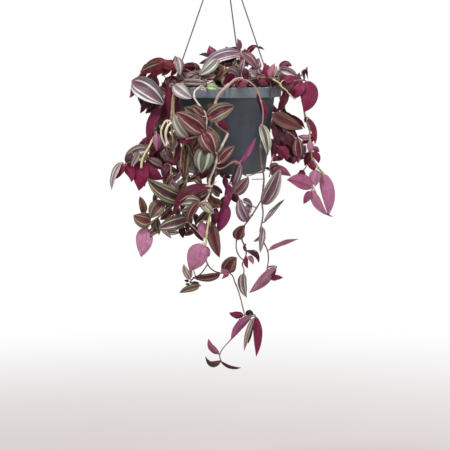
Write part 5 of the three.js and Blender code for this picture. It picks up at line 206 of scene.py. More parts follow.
    ('i', (132.3, -34, -304.9), (147.9, -36, -323.6), (142.8, -30, -347.8), (0.755, 0.61, 0.242), 12.9, 20, 'W', -1, (129.3, -31.4, -306.0), 4.2, None),
    ('b', (-101.5, -72, -327.1), (-97.8, -80, -340.7), (-100.7, -76, -355.2), (0.912, 0.408, -0.032), 15.3, 14, 'M', -1, (-106.8, -60.0, -334.4), 15, None),
    ('e', (26.1, -112, -368.9), (41, -115, -351.9), (51, -110, -331.9), (-0.627, 0.676, 0.387), 11.9, 24, 'M2', -1, (18.8, -97.9, -369.5), 15.9, None),
    ('e', (-11.8, -108, -439.1), (-10.6, -115, -454.0), (-15.6, -110, -469.4), (0.893, -0.443, -0.083), 14, 16, 'W2', -1, (-6.3, -105.7, -438.3), 5, None),
    ('q', (-35.5, -106, -558.8), (-52.1, -113, -558.9), (-66, -108, -569.3), (-0.268, -0.434, 0.86), 14.8, 24, 'V2', 1, (-48.6, -108, -552.6), 14.6, None),
    ('d', (-34.4, -108, -332.8), (-40.4, -112, -341.7), (-46.5, -108, -351.0), (-0.816, 0.191, 0.545), 17.8, 18, 'B', 1, (-36.7, -114.1, -329.1), 7.5, None),
    ('h', (86.1, -66, -244.7), (96.7, -68, -247.0), (107.8, -58, -249.5), (0.082, 0.333, 0.939), 18.4, 12, 'W2', -1, (86.5, -66.8, -246.0), 1.5, None),
    ('e', (-49.5, -120, -462.3), (-38.9, -125, -475.0), (-28.4, -122, -488.7), (-0.697, -0.493, -0.521), 12.5, 22, 'D', 1, (-48.4, -125.8, -461.9), 5.9, None),
    ('f', (71.2, -104, -503.3), (92.7, -105, -493.2), (115.6, -98, -486.8), (-0.145, -0.739, 0.658), 13.6, 14, 'M', -1, (67.5, -101.9, -504.8), 4.5, None),
    ('f', (63.6, -100, -461.3), (78.6, -101, -443.2), (93.7, -98, -425.5), (0.351, -0.904, -0.245), 15.6, 14, 'S', 1, (59.6, -101, -461.1), 4.1, None),
    ('a', (-71.9, -50, -211.3), (-68.2, -60, -225.4), (-64.9, -58, -239.5), (-0.895, -0.434, -0.101), 15.8, 30, 'S', 1, (-77.0, -45.1, -223.5), 14.1, None),
    ('l', (-30.5, -43, -239.0), (-42.8, -50, -242.7), (-55.1, -49, -246.6), (-0.168, -0.432, 0.886), 16.6, 20, 'P3', 1, (-36.1, -23.4, -232.4), 21.4, None),
    ('b', (-153.0, -90, -372.6), (-158.5, -95, -384.5), (-164.6, -92, -396.9), (0.821, -0.446, -0.356), 15.4, 18, 'W', -1, (-149.1, -89.6, -375.3), 4.5, None),
    ('k', (8.0, -46, -232.8), (18.5, -54, -233.8), (24.2, -50, -242.7), (-0.504, 0.092, -0.859), 19.2, 14, 'P3', 1, (5.4, -35.4, -229.4), 11.4, (0.0, 0.4)),
    ('o', (-57.5, -96, -394.3), (-64.2, -101, -406.1), (-71.2, -98, -418.6), (-0.812, -0.325, 0.485), 13.8, 20, 'O', 1, (-53.8, -96.5, -394.9), 3.8, None),
    ('e', (-7.2, -111, -434.2), (-16.3, -119, -427.1), (-20.8, -115, -417.2), (0.778, -0.31, 0.546), 17.3, 20, 'R', 1, (-5.5, -105.5, -437.4), 6.6, None),
    ('o', (-52.8, -104, -421.1), (-58.0, -109, -431.4), (-63.4, -106, -442.3), (0.833, 0.323, -0.449), 15.4, 20, 'D2', -1, (-57.5, -97, -420.8), 8.5, None),
    ('d', (-31.2, -114, -299.4), (-36.3, -117, -287.1), (-49.3, -112, -284.4), (0.637, 0.21, 0.742), 14.5, 18, 'B', 1, (-25.4, -114.9, -297.8), 6.1, None),
    ('n', (-97.0, -45, -283.6), (-108.5, -49, -290.4), (-120.3, -45, -297.5), (-0.48, 0.35, 0.804), 14, 20, 'D2', 1, (-91.4, -45.2, -285.1), 5.8, None),
    ('c', (-121.3, -98, -449.2), (-120.8, -100, -434.7), (-126.7, -94, -422.0), (0.909, 0.398, 0.122), 13.2, 24, 'R', 1, (-108.5, -97.6, -463.1), 18.9, None),
    ('b', (-93.2, -74, -377.6), (-105.2, -80, -370.6), (-117.5, -78, -364.2), (0.338, 0.532, 0.776), 13.5, 16, 'P3', 1, (-123.9, -78.8, -372.9), 31.4, None),
    ('q', (-5.8, -101, -665.2), (-21.3, -106, -657.2), (-21.4, -103, -640.5), (-0.829, 0.244, -0.503), 12, 20, 'M3', -1, (-3.8, -100, -665.3), 2.2, None),
    ('l', (-13, -6, -212.3), (-19.8, -8, -204.2), (-20.8, -2, -193.7), (-0.857, 0.295, -0.423), 17, 14, 'M2', -1, (-14.3, -0.7, -214.9), 5.9, None),
    ('c', (-81.8, -95, -373.1), (-91.6, -104, -379.8), (-90.8, -101, -392.4), (0.884, -0.359, -0.299), 15.5, 18, 'D2', -1, (-76.8, -97.5, -373.7), 5.6, None),
    ('n', (-93.4, -66, -353.5), (-88.7, -70, -363.2), (-84.3, -66, -373.5), (-0.785, -0.505, -0.359), 16.5, 20, 'P3', 1, (-103.4, -49.4, -354.4), 19.4, None),
    ('o', (-56.0, -100, -439.8), (-58.2, -102.5, -453.3), (-60.7, -97, -467.7), (0.923, -0.334, -0.192), 12, 20, 'D2', -1, (-57.7, -97, -422.9), 15.9, None),
    ('c', (-77.4, -96, -443.3), (-86.4, -101, -450.4), (-95.7, -98, -458.4), (-0.551, -0.42, 0.721), 14.6, 20, 'B', 1, (-83.5, -99, -440), 7.5, None),
    ('o', (-52.6, -103, -339.1), (-46.1, -108.5, -353.2), (-39.8, -106, -367.8), (-0.828, -0.459, -0.324), 10.7, 20, 'O', 1, (-58.3, -99.1, -337.6), 7.1, None),
    ('c', (-101.8, -98, -455.3), (-96.5, -103, -467.7), (-97.5, -100, -481.9), (-0.942, 0.289, -0.172), 12.4, 24, 'OG', 1, (-101, -98.0, -456.2), 1.2, None),
    ('o', (-30.5, -50, -245.0), (-20.4, -56, -241.8), (-10.4, -54, -238.8), (0.178, -0.458, -0.871), 16.6, 20, 'P3', 1, (-32.1, -52.5, -249.4), 5.4, None),
    ('o', (-65.1, -94, -367.0), (-61.9, -100, -381.9), (-59.0, -98, -397.2), (-0.894, 0.384, -0.232), 10.7, 20, 'B', 1, (-63.0, -96.3, -366.9), 3.1, None),
    ('e', (-8.7, -106, -311.8), (0.8, -109, -315.4), (10.2, -104, -319.4), (0.379, -0.413, 0.828), 16.2, 20, 'W', -1, (-9.5, -109.5, -311.3), 3.6, None),
    ('a', (-94.6, -62, -219.3), (-114.3, -67, -220.9), (-127.5, -64, -236.2), (-0.411, -0.351, 0.841), 8.5, 16, 'O', 1, (-98.1, -49.9, -220.2), 12.7, None),
    ('i', (136.4, -36, -358.4), (129.1, -39, -367.9), (128, -34, -380.3), (0.9, -0.239, -0.364), 13.3, 18, 'W2', -1, (138.6, -37.3, -357.9), 2.7, None),
    ('n', (-95.3, -50, -289.6), (-102.9, -54, -297.9), (-110.8, -50, -306.5), (0.693, 0.345, -0.633), 14, 20, 'D2', -1, (-93.1, -46.3, -290.9), 4.5, None),
    ('e', (-2.7, -104, -436.4), (-9.4, -109, -428.0), (-19.4, -106, -425.5), (0.545, -0.299, 0.783), 15.6, 20, 'O', 1, (-3.6, -104.8, -435.3), 1.6, None),
    ('b', (-117.8, -73, -368.4), (-106.9, -76.5, -375.1), (-96.4, -72, -382.3), (-0.482, -0.416, -0.771), 11.9, 16, 'K2', 1, (-122.2, -77.3, -364.7), 7.2, None),
    ('b', (-127.4, -93, -354.9), (-133.3, -98, -365.6), (-139.6, -95, -376.9), (-0.705, -0.555, 0.442), 13.2, 16, 'S', 1, (-130.9, -83.1, -368.1), 16.8, None),
    ('q', (-49.9, -112, -547.2), (-58.5, -116, -536.9), (-58.9, -112, -524.2), (0.85, 0.407, 0.335), 12.5, 26, 'S3', 1, (-46.8, -108.0, -548.7), 5.3, None),
    ('q', (44.8, -100, -615.4), (44.3, -105, -632.2), (37.9, -102, -649.2), (-0.83, 0.54, 0.137), 10.1, 30, 'O', 1, (33.6, -100, -609.5), 12.6, None),
    ('q', (31.8, -100, -605.3), (19.7, -105, -606.7), (9.5, -102, -600.3), (-0.234, 0.41, -0.882), 14.4, 20, 'W', -1, (32.7, -100.1, -605.1), 0.9, None),
    ('i', (135.6, -58, -417.4), (130.0, -63, -427.0), (124.8, -60, -437.4), (0.861, -0.254, -0.44), 12.3, 18, 'M2', -1, (140.0, -55.6, -411.6), 6.3, None),
    ('h', (71.9, -80, -240.7), (77.8, -81, -231.7), (78.1, -74, -221.0), (-0.819, -0.423, 0.388), 14.9, 22, 'K3', -1, (74.0, -78.2, -243.0), 3.6, None),
    ('k', (5.0, -44, -228.2), (-2.0, -50, -234.3), (-8.9, -48, -240.4), (-0.672, 0.375, 0.639), 16, 20, 'R', 1, (2.2, -36.7, -227.7), 7.8, None),
    ('q', (-2.7, -101, -675.8), (-20.8, -108, -689.9), (-26.8, -103, -667.6), (0.182, 0.683, 0.707), 12.8, 24, 'D3', 1, (-3.3, -100, -674.5), 1, None),
    ('n', (-115.4, -48, -277.3), (-123.6, -51, -286.2), (-126.7, -46, -298.2), (0.769, -0.445, -0.459), 13, 20, 'W2', -1, (-91.3, -45.1, -284.6), 25.3, None),
    ('k', (20.5, -18, -216.1), (7.3, -24, -218.8), (-5.9, -22, -221.5), (-0.244, 0.472, 0.847), 11.2, 18, 'R', 1, (26.7, -24.2, -218.2), 9, None),
    ('f', (36.3, -96, -505.5), (56.4, -101, -503.8), (54.6, -98, -524.5), (0.554, 0.693, 0.462), 12.7, 20, 'D', -1, (35.4, -92.9, -505.4), 3.2, None),
    ('i', (137.8, -40, -370.6), (139.9, -45, -378.8), (142.4, -42, -387.6), (0.959, 0.142, 0.246), 14.9, 18, 'W', -1, (140.2, -38.5, -369.8), 2.9, None),
    ('f', (27.8, -80, -245.2), (28.0, -94, -251.4), (28.4, -96, -257.7), (0.981, -0.094, 0.169), 19.7, 20, 'W', -1, (28.1, -80.1, -244.9), 0.4, None),
    ('n', (-96.7, -60, -338.4), (-92.7, -65, -345.9), (-89.0, -62, -353.7), (0.829, 0.425, 0.363), 15.9, 20, 'M3', -1, (-102.8, -48.1, -339.2), 13.4, None),
    ('h', (68.9, -80, -240.7), (63.6, -81, -230.7), (64.4, -74, -219.5), (-0.892, 0.348, -0.288), 12.3, 22, 'W', -1, (74.0, -78.2, -243.0), 5.9, None),
    ('h', (93.5, -72, -246.1), (102.6, -73, -243.4), (112.1, -66, -240.9), (-0.377, 0.473, 0.796), 14.6, 18, 'W', -1, (87.9, -72.7, -252.3), 8.4, None),
    ('m', (51.8, -14, -231.7), (51.5, -15, -221.5), (57.3, -8, -213.1), (0.818, 0.43, -0.383), 15.3, 22, 'K3', 1, (55.8, -13.5, -234.4), 4.9, None),
    ('k', (1.9, -40, -225.2), (-11.8, -47, -232.7), (-27.4, -46, -234.3), (-0.196, -0.405, 0.893), 9.1, 20, 'P', 1, (0.1, -37.6, -226.5), 3.2, None),
    ('k', (1.9, -50, -231.2), (-3.6, -55, -241.0), (-13.5, -52, -246.5), (-0.643, -0.332, 0.69), 12.2, 20, 'R', 1, (-0.4, -37.8, -226.2), 13.4, None),
    ('k', (8.0, -52, -241.9), (3.4, -60, -248.7), (-1.2, -60, -255.5), (-0.859, 0.347, 0.377), 15.9, 20, 'O', 1, (5.9, -35, -229.9), 20.9, None),
    ('k', (26.8, -20, -218.4), (16.6, -26, -221.9), (6.5, -24, -225.4), (-0.18, -0.526, 0.831), 13.7, 18, 'O', 1, (26.7, -24.2, -218.1), 4.2, None),
    ('f', (-14.7, -108, -283.0), (-18.7, -113, -290.4), (-26.7, -110, -293.5), (-0.58, -0.352, 0.735), 15.6, 20, 'O', 1, (-11.0, -112.4, -280.8), 5.7, None),
    ('d', (-24.1, -98, -257.1), (-14.0, -102.5, -252.9), (-6.4, -99, -260.7), (-0.204, -0.111, -0.973), 12.4, 10, 'GG', 1, (-31.6, -93.2, -254.9), 9.2, None),
    ('e', (-14.7, -117, -406.4), (-9.8, -121, -413.6), (-4.9, -117, -421.5), (-0.721, -0.513, -0.466), 14.3, 18, 'O', 1, (-15.4, -120.6, -406.0), 3.7, None),
    ('k', (28.2, -34, -211.4), (35.7, -41, -217.4), (38.2, -40, -226.7), (0.821, 0.442, 0.362), 15, 20, 'W2', -1, (27.9, -23.4, -213.8), 10.8, None),
    ('m', (90.6, -20, -231.6), (95.8, -23, -219.7), (107.8, -18, -225.4), (-0.256, -0.447, 0.857), 15.1, 20, 'M2', -1, (91.7, 1.7, -234.8), 21.9, None),
    ('e', (1.9, -96, -392.8), (4.9, -101, -403.9), (8.0, -98, -415.6), (0.907, -0.322, 0.271), 10.3, 20, 'WM2', -1, (18.9, -97.6, -397.2), 17.6, None),
    ('m', (86.9, -40, -240.6), (96.5, -46, -243.5), (106.8, -44, -243.6), (-0.044, 0.45, -0.892), 13.1, 20, 'P', 1, (66.2, -44.7, -241.1), 21.1, None),
    ('e', (-16.2, -121, -404.5), (-8.3, -125, -409.9), (-0.3, -121, -415.9), (-0.532, 0.406, -0.743), 12.5, 18, 'D', 1, (-15.0, -120.6, -405.4), 1.6, None),
    ('f', (51.8, -100, -265.2), (55.6, -101, -281.7), (59.5, -98, -298.5), (0.627, -0.772, 0.098), 10, 20, 'D', -1, (52.9, -102.3, -264.3), 2.7, None),
    ('i', (140.0, -40, -358.1), (148.3, -44, -364.8), (148.7, -40, -376.0), (0.874, 0.239, 0.422), 11.8, 18, 'W', -1, (138.7, -37.4, -358.6), 3, None),
    ('a', (-136.4, -56, -252.6), (-134.0, -59, -265.1), (-143.7, -54, -274.1), (0.814, 0.534, -0.227), 11.4, 20, 'P', -1, (-130.2, -56, -243.7), 9.4, None),
    ('e', (-62.1, -101, -467.3), (-60.9, -104, -476.5), (-59.8, -103, -486.2), (0.865, 0.499, 0.052), 12.8, 20, 'D', -1, (-48.4, -125.8, -461.7), 28.8, None),
    ('k', (11.2, -20, -220.0), (0.5, -26, -223.8), (-10.1, -24, -227.7), (0.377, -0.471, -0.798), 11.2, 18, 'R2', -1, (24, -24.6, -224.8), 14.5, None),
    ('e', (-40.4, -120, -438.0), (-53.9, -122, -437.9), (-66.1, -120, -444.0), (-0.222, -0.26, 0.94), 8.4, 18, 'S', 1, (-41.2, -123.5, -435.4), 4.5, None),
    ('a', (-76.5, -52, -216.6), (-87.9, -57, -221.9), (-98.7, -54, -215.1), (0.005, -0.649, -0.761), 12.9, 20, 'W2', -1, (-79.8, -45.6, -222.6), 9.3, None),
    ('j', (118.2, -42, -365.8), (128.3, -46, -358.1), (127.5, -42, -345.6), (0.756, -0.557, -0.345), 11.3, 18, 'O', 1, (121.4, -44, -363), 4.2, None),
    ('o', (-34.9, -59, -241.8), (-42.5, -67, -247.0), (-50.1, -67, -252.3), (-0.655, 0.505, 0.562), 13.7, 20, 'O', 1, (-37.1, -54.2, -248.5), 8.5, None),
    ('b', (-121.5, -76, -383.6), (-120.7, -79, -396.4), (-120.0, -78, -409.6), (0.887, -0.453, 0.086), 9.4, 20, 'W', -1, (-124.7, -79.8, -378.8), 6.2, None),
    ('f', (59.4, -102, -277.2), (63.5, -103, -290.7), (67.8, -100, -304.5), (0.622, -0.771, 0.136), 11.3, 20, 'W', -1, (57.3, -103.5, -277.6), 2.6, None),
    ('i', (134.6, -38, -341.2), (138.3, -42, -350.6), (133.2, -38, -359.8), (0.954, 0.291, -0.075), 12.3, 20, 'M', -1, (136.4, -35.6, -341.2), 3, None),
    ('l', (-35.2, -37, -232.9), (-46.7, -41, -239.7), (-59.9, -41, -237.5), (-0.225, 0.349, 0.91), 8.8, 20, 'K', 1, (-36.1, -23.4, -232.4), 13.2, None),
    ('l', (-35.4, -26, -229.2), (-44.6, -32, -221.3), (-56.7, -30, -222.2), (-0.182, -0.505, -0.843), 10.5, 20, 'R2', -1, (-36.1, -23.4, -232.4), 3.5, None),
    ('j', (95.0, -36, -325.0), (105, -39, -322.9), (115.3, -34, -321.2), (-0.16, -0.205, 0.966), 10.1, 18, 'R2', -1, (95.8, -41.5, -322.7), 6, None),
    ('l', (-30.9, -10, -234.8), (-41.0, -16, -233.2), (-51.2, -14, -231.7), (0.224, -0.446, 0.866), 11.2, 18, 'R', 1, (-28.8, -18.2, -238.9), 9.4, None),
    ('n', (-104.4, -62, -356.8), (-107.3, -67, -363.4), (-110.5, -64, -370.5), (0.73, 0.55, -0.406), 15.6, 20, 'W2', -1, (-103.6, -49.6, -357.8), 12.4, None),
    ('j', (74.3, -62, -384.6), (78.9, -66, -375.8), (88.2, -62, -379.2), (0.331, -0.411, -0.849), 13.8, 18, 'B', 1, (73.2, -55.8, -386.5), 6.6, None),
    ('k', (21.3, -21, -213.0), (11.2, -26, -216.5), (1.1, -23, -220.0), (-0.248, -0.46, 0.853), 10.2, 18, 'D2', 1, (27.9, -23.4, -213.7), 7.1, None),
    ('f', (38.5, -100, -447.5), (39.6, -103, -439.5), (46.1, -98, -435.4), (0.759, -0.518, -0.394), 15.3, 26, 'K', 1, (44.1, -97.6, -450.8), 7, None),
    ('q', (-2.7, -101, -675.8), (10.8, -105, -686.4), (28.5, -101, -686.7), (0.189, 0.819, 0.541), 8.2, 24, 'D', -1, (-3.3, -100, -674.5), 1, None),
    ('c', (-86.6, -98, -476.8), (-75.1, -101, -476.9), (-63.7, -100, -477.4), (-0.003, 0.237, -0.972), 8.6, 20, 'S', 1, (-103.5, -97.9, -458.5), 24.9, None),
    ('m', (39.6, 14, -206.2), (44.6, 9, -196.5), (55.3, 12, -194.4), (-0.57, -0.458, 0.682), 11.4, 20, 'W', -1, (38.8, 15.3, -208.7), 2.6, None),
    ('h', (92.3, -62, -250.9), (98.5, -61, -256.3), (104.9, -56, -261.8), (0.53, 0.316, 0.787), 12.1, 18, 'O', -1, (92.6, -61.4, -247.4), 3.6, None),
    ('c', (-78.8, -96, -385.2), (-84.2, -103, -388.9), (-90.0, -102, -393.1), (0.38, 0.395, -0.837), 14.5, 18, 'W2', -1, (-78.7, -98.3, -385.0), 2.3, None),
    ('a', (-61.3, -44, -219), (-65.0, -51, -229.7), (-68.9, -50, -240.4), (-0.848, -0.349, 0.399), 9.5, 30, 'O', 1, (-64.5, -42.6, -227.7), 9.4, None),
    ('c', (-94.2, -100, -470.4), (-86.1, -103, -478.2), (-78.1, -102, -486.3), (-0.661, -0.433, -0.612), 8.6, 20, 'S', 1, (-104.3, -97.9, -459.3), 15.3, None),
    ('h', (55.0, -88, -245.8), (61.8, -92, -249.9), (68.6, -92, -254.1), (0.559, 0.337, 0.758), 11.9, 18, 'W2', -1, (59.4, -72.8, -242.5), 16.1, None),
    ('k', (-2.8, -22, -225.4), (-8.6, -28, -231.9), (-14.4, -26, -238.5), (-0.728, 0.463, 0.506), 12.1, 18, 'D3', 1, (2.1, -36.8, -227.6), 15.7, None),
    ('n', (-81.3, -60, -338.4), (-79.2, -65, -347.4), (-77.4, -62, -356.8), (-0.926, 0.3, -0.227), 10.5, 20, 'W2', 1, (-102.8, -48.1, -338.6), 24.6, None),
    ('f', (73.7, -101, -548.7), (82.9, -101.5, -547.5), (92.2, -98, -546.8), (-0.026, -0.418, 0.908), 12.1, 26, 'W', -1, (67.6, -102, -531.8), 16.8, None),
    ('k', (26.7, -20, -203.7), (13.4, -26, -203.8), (3.4, -24, -195.2), (-0.374, 0.417, -0.829), 8.1, 16, 'W2', -1, (28.8, -22.3, -208.9), 4.9, None),
    ('o', (-71.1, -58, -269.4), (-71.8, -61, -277.7), (-72.6, -60, -286.2), (0.862, 0.488, -0.137), 11.9, 18, 'D2', -1, (-74.5, -56.5, -268.6), 3.7, None),
    ('e', (-29.9, -120, -497.3), (-22.7, -122, -503.1), (-20.8, -120, -512.5), (0.802, -0.358, 0.477), 10.5, 18, 'M', -1, (-26.8, -124.2, -493.9), 5.3, None),
    ('b', (-138.8, -95, -357.1), (-143.4, -100.5, -363.2), (-148.5, -98, -369.8), (0.754, -0.457, -0.472), 11.6, 16, 'D2', -1, (-139.5, -86.6, -369.9), 15.4, None),
    ('i', (134.7, -36, -335.1), (125.5, -37, -337.3), (117.1, -30, -333.8), (-0.166, -0.291, -0.942), 10.3, 20, 'M', -1, (135.7, -35.0, -335.0), 1.4, None),
    ('o', (-71.0, -97, -336.4), (-72.0, -101, -345.1), (-78.6, -97, -351.6), (-0.809, -0.423, 0.407), 10.7, 20, 'P3', 1, (-63.7, -92.1, -334.4), 9, None),
    ('o', (-85.8, -57, -287.8), (-85.5, -60, -296.9), (-85.3, -59, -306.2), (0.897, -0.436, 0.07), 10.1, 18, 'D2', -1, (-74.8, -65.1, -281.2), 15.2, None),
    ('f', (30.8, -104, -427.2), (41.0, -106, -426.6), (44.5, -104, -436.4), (-0.499, 0.441, -0.746), 11.7, 26, 'K', 1, (51.2, -99.0, -439.7), 24.5, None),
    ('q', (10.3, -113, -536.4), (3.4, -118, -534.2), (-3.4, -115, -533.0), (-0.147, -0.455, -0.878), 13, 30, 'K5', -1, (8.3, -101.7, -539.0), 11.8, None),
    ('k', (24.4, -16, -200.7), (26.3, -19, -191.3), (22.1, -14, -182.8), (-0.819, 0.548, -0.169), 10.9, 20, 'M2', -1, (28.8, -22.3, -208.9), 10.3, None),
    ('e', (8.0, -92, -373.3), (0.4, -95, -375.0), (-7.2, -94, -376.9), (0.191, 0.276, -0.942), 10.3, 20, 'D2', -1, (13.3, -101.3, -371.4), 10.9, None),
    ('i', (125.9, -29, -386.9), (124.0, -32, -395.2), (115.9, -27, -393.3), (0.548, 0.086, -0.832), 13.5, 20, 'W', -1, (127.0, -29.7, -386.2), 0.5, None),
    ('e', (-10.2, -110, -428.2), (-12.5, -112.5, -433.3), (-14.8, -107, -439.2), (-0.753, 0.482, 0.447), 14.6, 20, 'R', 1, (-3.8, -104.9, -435.6), 11, None),
    ('f', (36.3, -95, -514.8), (34.4, -97.5, -524.1), (38.6, -96, -533.2), (0.934, 0.345, 0.098), 8.6, 20, 'W', -1, (34.4, -93.0, -514.6), 2.8, None),
    ('k', (5.0, -34, -222.2), (14.8, -37, -227.5), (23.6, -32, -220.7), (0.114, -0.35, -0.93), 9.1, 24, 'O', 1, (2.8, -36.5, -227.9), 6.7, None),
    ('f', (69.1, -102, -534.7), (76.4, -105, -538.2), (79.8, -100, -531.1), (-0.354, 0.574, 0.738), 15.3, 26, 'W2', -1, (67.6, -102, -531.8), 2.2, None),
    ('o', (-40.6, -104, -393.7), (-36.0, -109, -397.9), (-31.5, -106, -402.7), (-0.643, 0.276, -0.715), 12, 20, 'P3', 1, (-53.4, -96.5, -392.0), 14.9, None),
    ('m', (45.0, -50, -234.3), (48.7, -57, -238), (52.6, -56, -241.8), (-0.46, 0.41, -0.787), 15.1, 22, 'S', 1, (65.1, -41.8, -240.8), 22.7, None),
    ('l', (-16.8, -16, -213.8), (-26.4, -19, -219.1), (-37.1, -18, -221.6), (0.22, 0.637, -0.739), 8.7, 20, 'D2', -1, (-15.0, -1.5, -218.0), 15.2, None),
    ('b', (-116.6, -80, -347.3), (-125.9, -85, -353.1), (-132.8, -82, -344.3), (-0.086, -0.553, -0.829), 9.7, 24, 'W', -1, (-114.4, -73.1, -350.6), 8, None),
    ('k', (22.1, -16, -196), (12.1, -20, -201.8), (1.1, -20, -198.3), (0.188, -0.493, -0.85), 7.5, 16, 'D', -1, (28.8, -22.3, -208.9), 14.8, None),
    ('l', (-16.9, -12, -212.3), (-25.7, -13, -202.7), (-37.5, -10, -208.4), (-0.201, -0.644, -0.738), 8.7, 20, 'D2', -1, (-14.5, -0.9, -215.7), 11.9, None),
    ('k', (31.4, -26, -208.3), (40.5, -32, -213.1), (45.3, -30, -222.2), (-0.512, 0.538, -0.67), 7.9, 20, 'S', 1, (28.6, -22.6, -210.1), 4.5, None),
    ('l', (-51.1, -18, -233.7), (-58.8, -20, -233.4), (-66.7, -18, -233.2), (0.027, -0.457, 0.889), 9.3, 18, 'K4', 1, (-36.1, -23.4, -232.4), 15.5, None),
    ('j', (115.9, -42, -364.2), (112.0, -44, -370.7), (108.2, -42, -377.4), (0.83, 0.277, -0.484), 8.8, 20, 'W', -1, (121.4, -44, -362.9), 6, None),
    ('a', (-116.6, -52, -235.8), (-122.9, -54, -240.7), (-129.4, -52, -245.7), (0.526, 0.514, -0.677), 8.5, 20, 'D', -1, (-119.5, -55.1, -231.6), 6, None),
    ('f', (38.6, -95, -514.8), (45, -97.5, -519.0), (46.3, -96, -527.0), (0.8, -0.291, 0.525), 8.6, 20, 'K', -1, (34.4, -93.0, -514.4), 4.7, None),
    ('i', (139.3, -38, -353.6), (145.8, -41, -352.9), (150.3, -36, -358.4), (0.422, -0.223, 0.879), 10.3, 20, 'M2', -1, (138.1, -36.9, -353.9), 1.7, None),
    ('i', (126.6, -31, -388.4), (124.1, -35, -393.5), (122.0, -31, -399.3), (0.916, 0.104, -0.387), 10.1, 20, 'W', -1, (127.0, -29.7, -386.2), 2.1, None),
    ('o', (-43.6, -104, -384.6), (-39.4, -109, -388.0), (-35.2, -106, -392.1), (-0.603, 0.274, -0.75), 10.3, 20, 'D2', 1, (-52.1, -96.3, -383.5), 11.5, None),
    ('h', (76.5, -78, -240.7), (82.0, -80, -233.7), (81.9, -74, -224.8), (0.754, -0.65, -0.093), 8.6, 22, 'S', 1, (75.0, -77.0, -243.2), 3.1, None),
    ('k', (15.8, -34, -225.2), (18.5, -36, -220.6), (21.2, -30, -216.0), (0.683, 0.431, -0.59), 11.6, 24, 'S', 1, (8.4, -33.0, -232.2), 10.2, None),
    ('f', (59.8, -103, -482.4), (53.3, -105, -486.8), (46.9, -103, -491.6), (-0.562, -0.244, 0.79), 7.4, 30, 'S', 1, (59.2, -101.2, -482.6), 1.9, None),
    ('q', (-47.5, -112, -533.4), (-48.7, -114, -540.8), (-49.9, -112, -548.8), (-0.929, 0.342, 0.14), 7.2, 26, 'K', 1, (-41.0, -108.2, -544.1), 13.1, None),
    ('c', (-108.0, -96, -460.1), (-104.9, -98, -467.6), (-108.1, -96, -475.5), (-0.953, 0.302, 0.004), 7.1, 24, 'OG', 1, (-106.8, -97.7, -461.5), 2.5, None),
    ('d', (-25.7, -61, -247.1), (-18.0, -64, -247.0), (-10.4, -63, -247.1), (-0.044, -0.321, 0.946), 7, 20, 'D', -1, (-16.2, -64.8, -248.5), 10.3, None),
    ('e', (23.2, -94, -370.1), (15.5, -97, -368.0), (8.7, -96, -372.2), (0.104, 0.276, -0.956), 6.9, 20, 'M3', -1, (23.6, -95.6, -370.4), 1.7, None),
    ('d', (-35.1, -101, -258.5), (-27.9, -103, -257), (-24.8, -101, -263.6), (-0.415, -0.367, -0.832), 8.5, 18, 'S', 1, (-36.9, -99.8, -258.0), 2.2, None),
    ('o', (-58.9, -100, -398.6), (-66.5, -105, -399.4), (-71.0, -102, -406.1), (-0.518, 0.466, 0.717), 7.1, 20, 'V', 1, (-54.5, -96.6, -399.3), 5.6, None),
    ('a', (-116.6, -50, -222.0), (-120.8, -52, -228.9), (-125.1, -50, -235.8), (0.633, 0.668, -0.391), 7.5, 20, 'D', -1, (-112.7, -54.0, -226.0), 6.9, None),
    ('m', (60.5, -44, -237.4), (57.4, -45, -232.8), (54.4, -42, -228.2), (0.744, -0.345, 0.573), 8.9, 22, 'K', 1, (65.1, -41.9, -240.8), 6.1, None),
    ('j', (77.7, -50, -366.8), (81.1, -51, -368.7), (84.7, -48, -370.8), (0.534, -0.292, 0.793), 12.2, 20, 'W', -1, (76.8, -48.4, -367.2), 1.8, None),
    ('q', (35.6, -98, -605.6), (40.6, -102, -595.1), (47.6, -98, -604.4), (-0.101, -0.193, 0.976), 7.7, 20, 'D', -1, (32.9, -100.1, -606.3), 3.5, None),
    ('q', (9.5, -104, -540.6), (4.2, -106, -544.2), (-1.2, -104, -548.3), (0.522, 0.451, -0.724), 7.9, 24, 'K5', -1, (9.1, -101.5, -539.0), 3, None),
    ('j', (117.5, -42, -364.2), (116.6, -44, -369.9), (116.0, -42, -375.9), (0.914, -0.389, -0.118), 7.9, 20, 'M2', -1, (121.1, -44, -361.9), 4.6, None),
    ('q', (-48.4, -107, -554.1), (-41.9, -109, -553.8), (-35.5, -107, -554.1), (0, 0.467, 0.884), 6.8, 20, 'D2', -1, (-49.1, -108, -553.8), 1.3, None),
    ('b', (-112.9, -78, -352.8), (-115.8, -80, -347.3), (-118.9, -78, -342.1), (-0.807, -0.373, -0.457), 6.8, 20, 'P', -1, (-115.5, -73.7, -352.6), 5, None),
    ('m', (38.1, 14, -207.8), (35.0, 11, -203.5), (34.9, 16, -198.3), (-0.835, -0.525, -0.167), 10, 20, 'D2', -1, (39.1, 15.1, -209.3), 1.7, None),
    ('j', (118.3, -40, -364.4), (122.5, -42, -366.2), (126.9, -40, -368.2), (0.383, 0.379, 0.843), 8.8, 20, 'W2', -1, (121.2, -44, -362.2), 5.2, None),
    ('k', (25.2, -14, -199.1), (27.9, -15, -192.4), (27.6, -12, -185.2), (-0.835, 0.546, 0.062), 6, 20, 'M2', -1, (28.8, -22.3, -208.9), 12.3, None),
    ('m', (115.5, -20, -244.8), (117.4, -22, -240.1), (119.4, -20, -235.5), (-0.795, 0.509, 0.329), 7.5, 20, 'R2', -1, (118.9, -4.7, -243.0), 15.8, None),
    ('c', (-86.7, -84, -352.4), (-88.9, -86, -355.3), (-91.2, -84, -358.5), (-0.709, -0.462, 0.533), 9.2, 20, 'S', 1, (-86.9, -95.2, -344.4), 12.9, None),
    ('m', (126.7, -14, -237.1), (129.4, -16, -231.5), (132.2, -14, -225.9), (0.81, 0.427, -0.403), 5.7, 20, 'P3', 1, (122.8, -5.7, -240.4), 8.8, None),
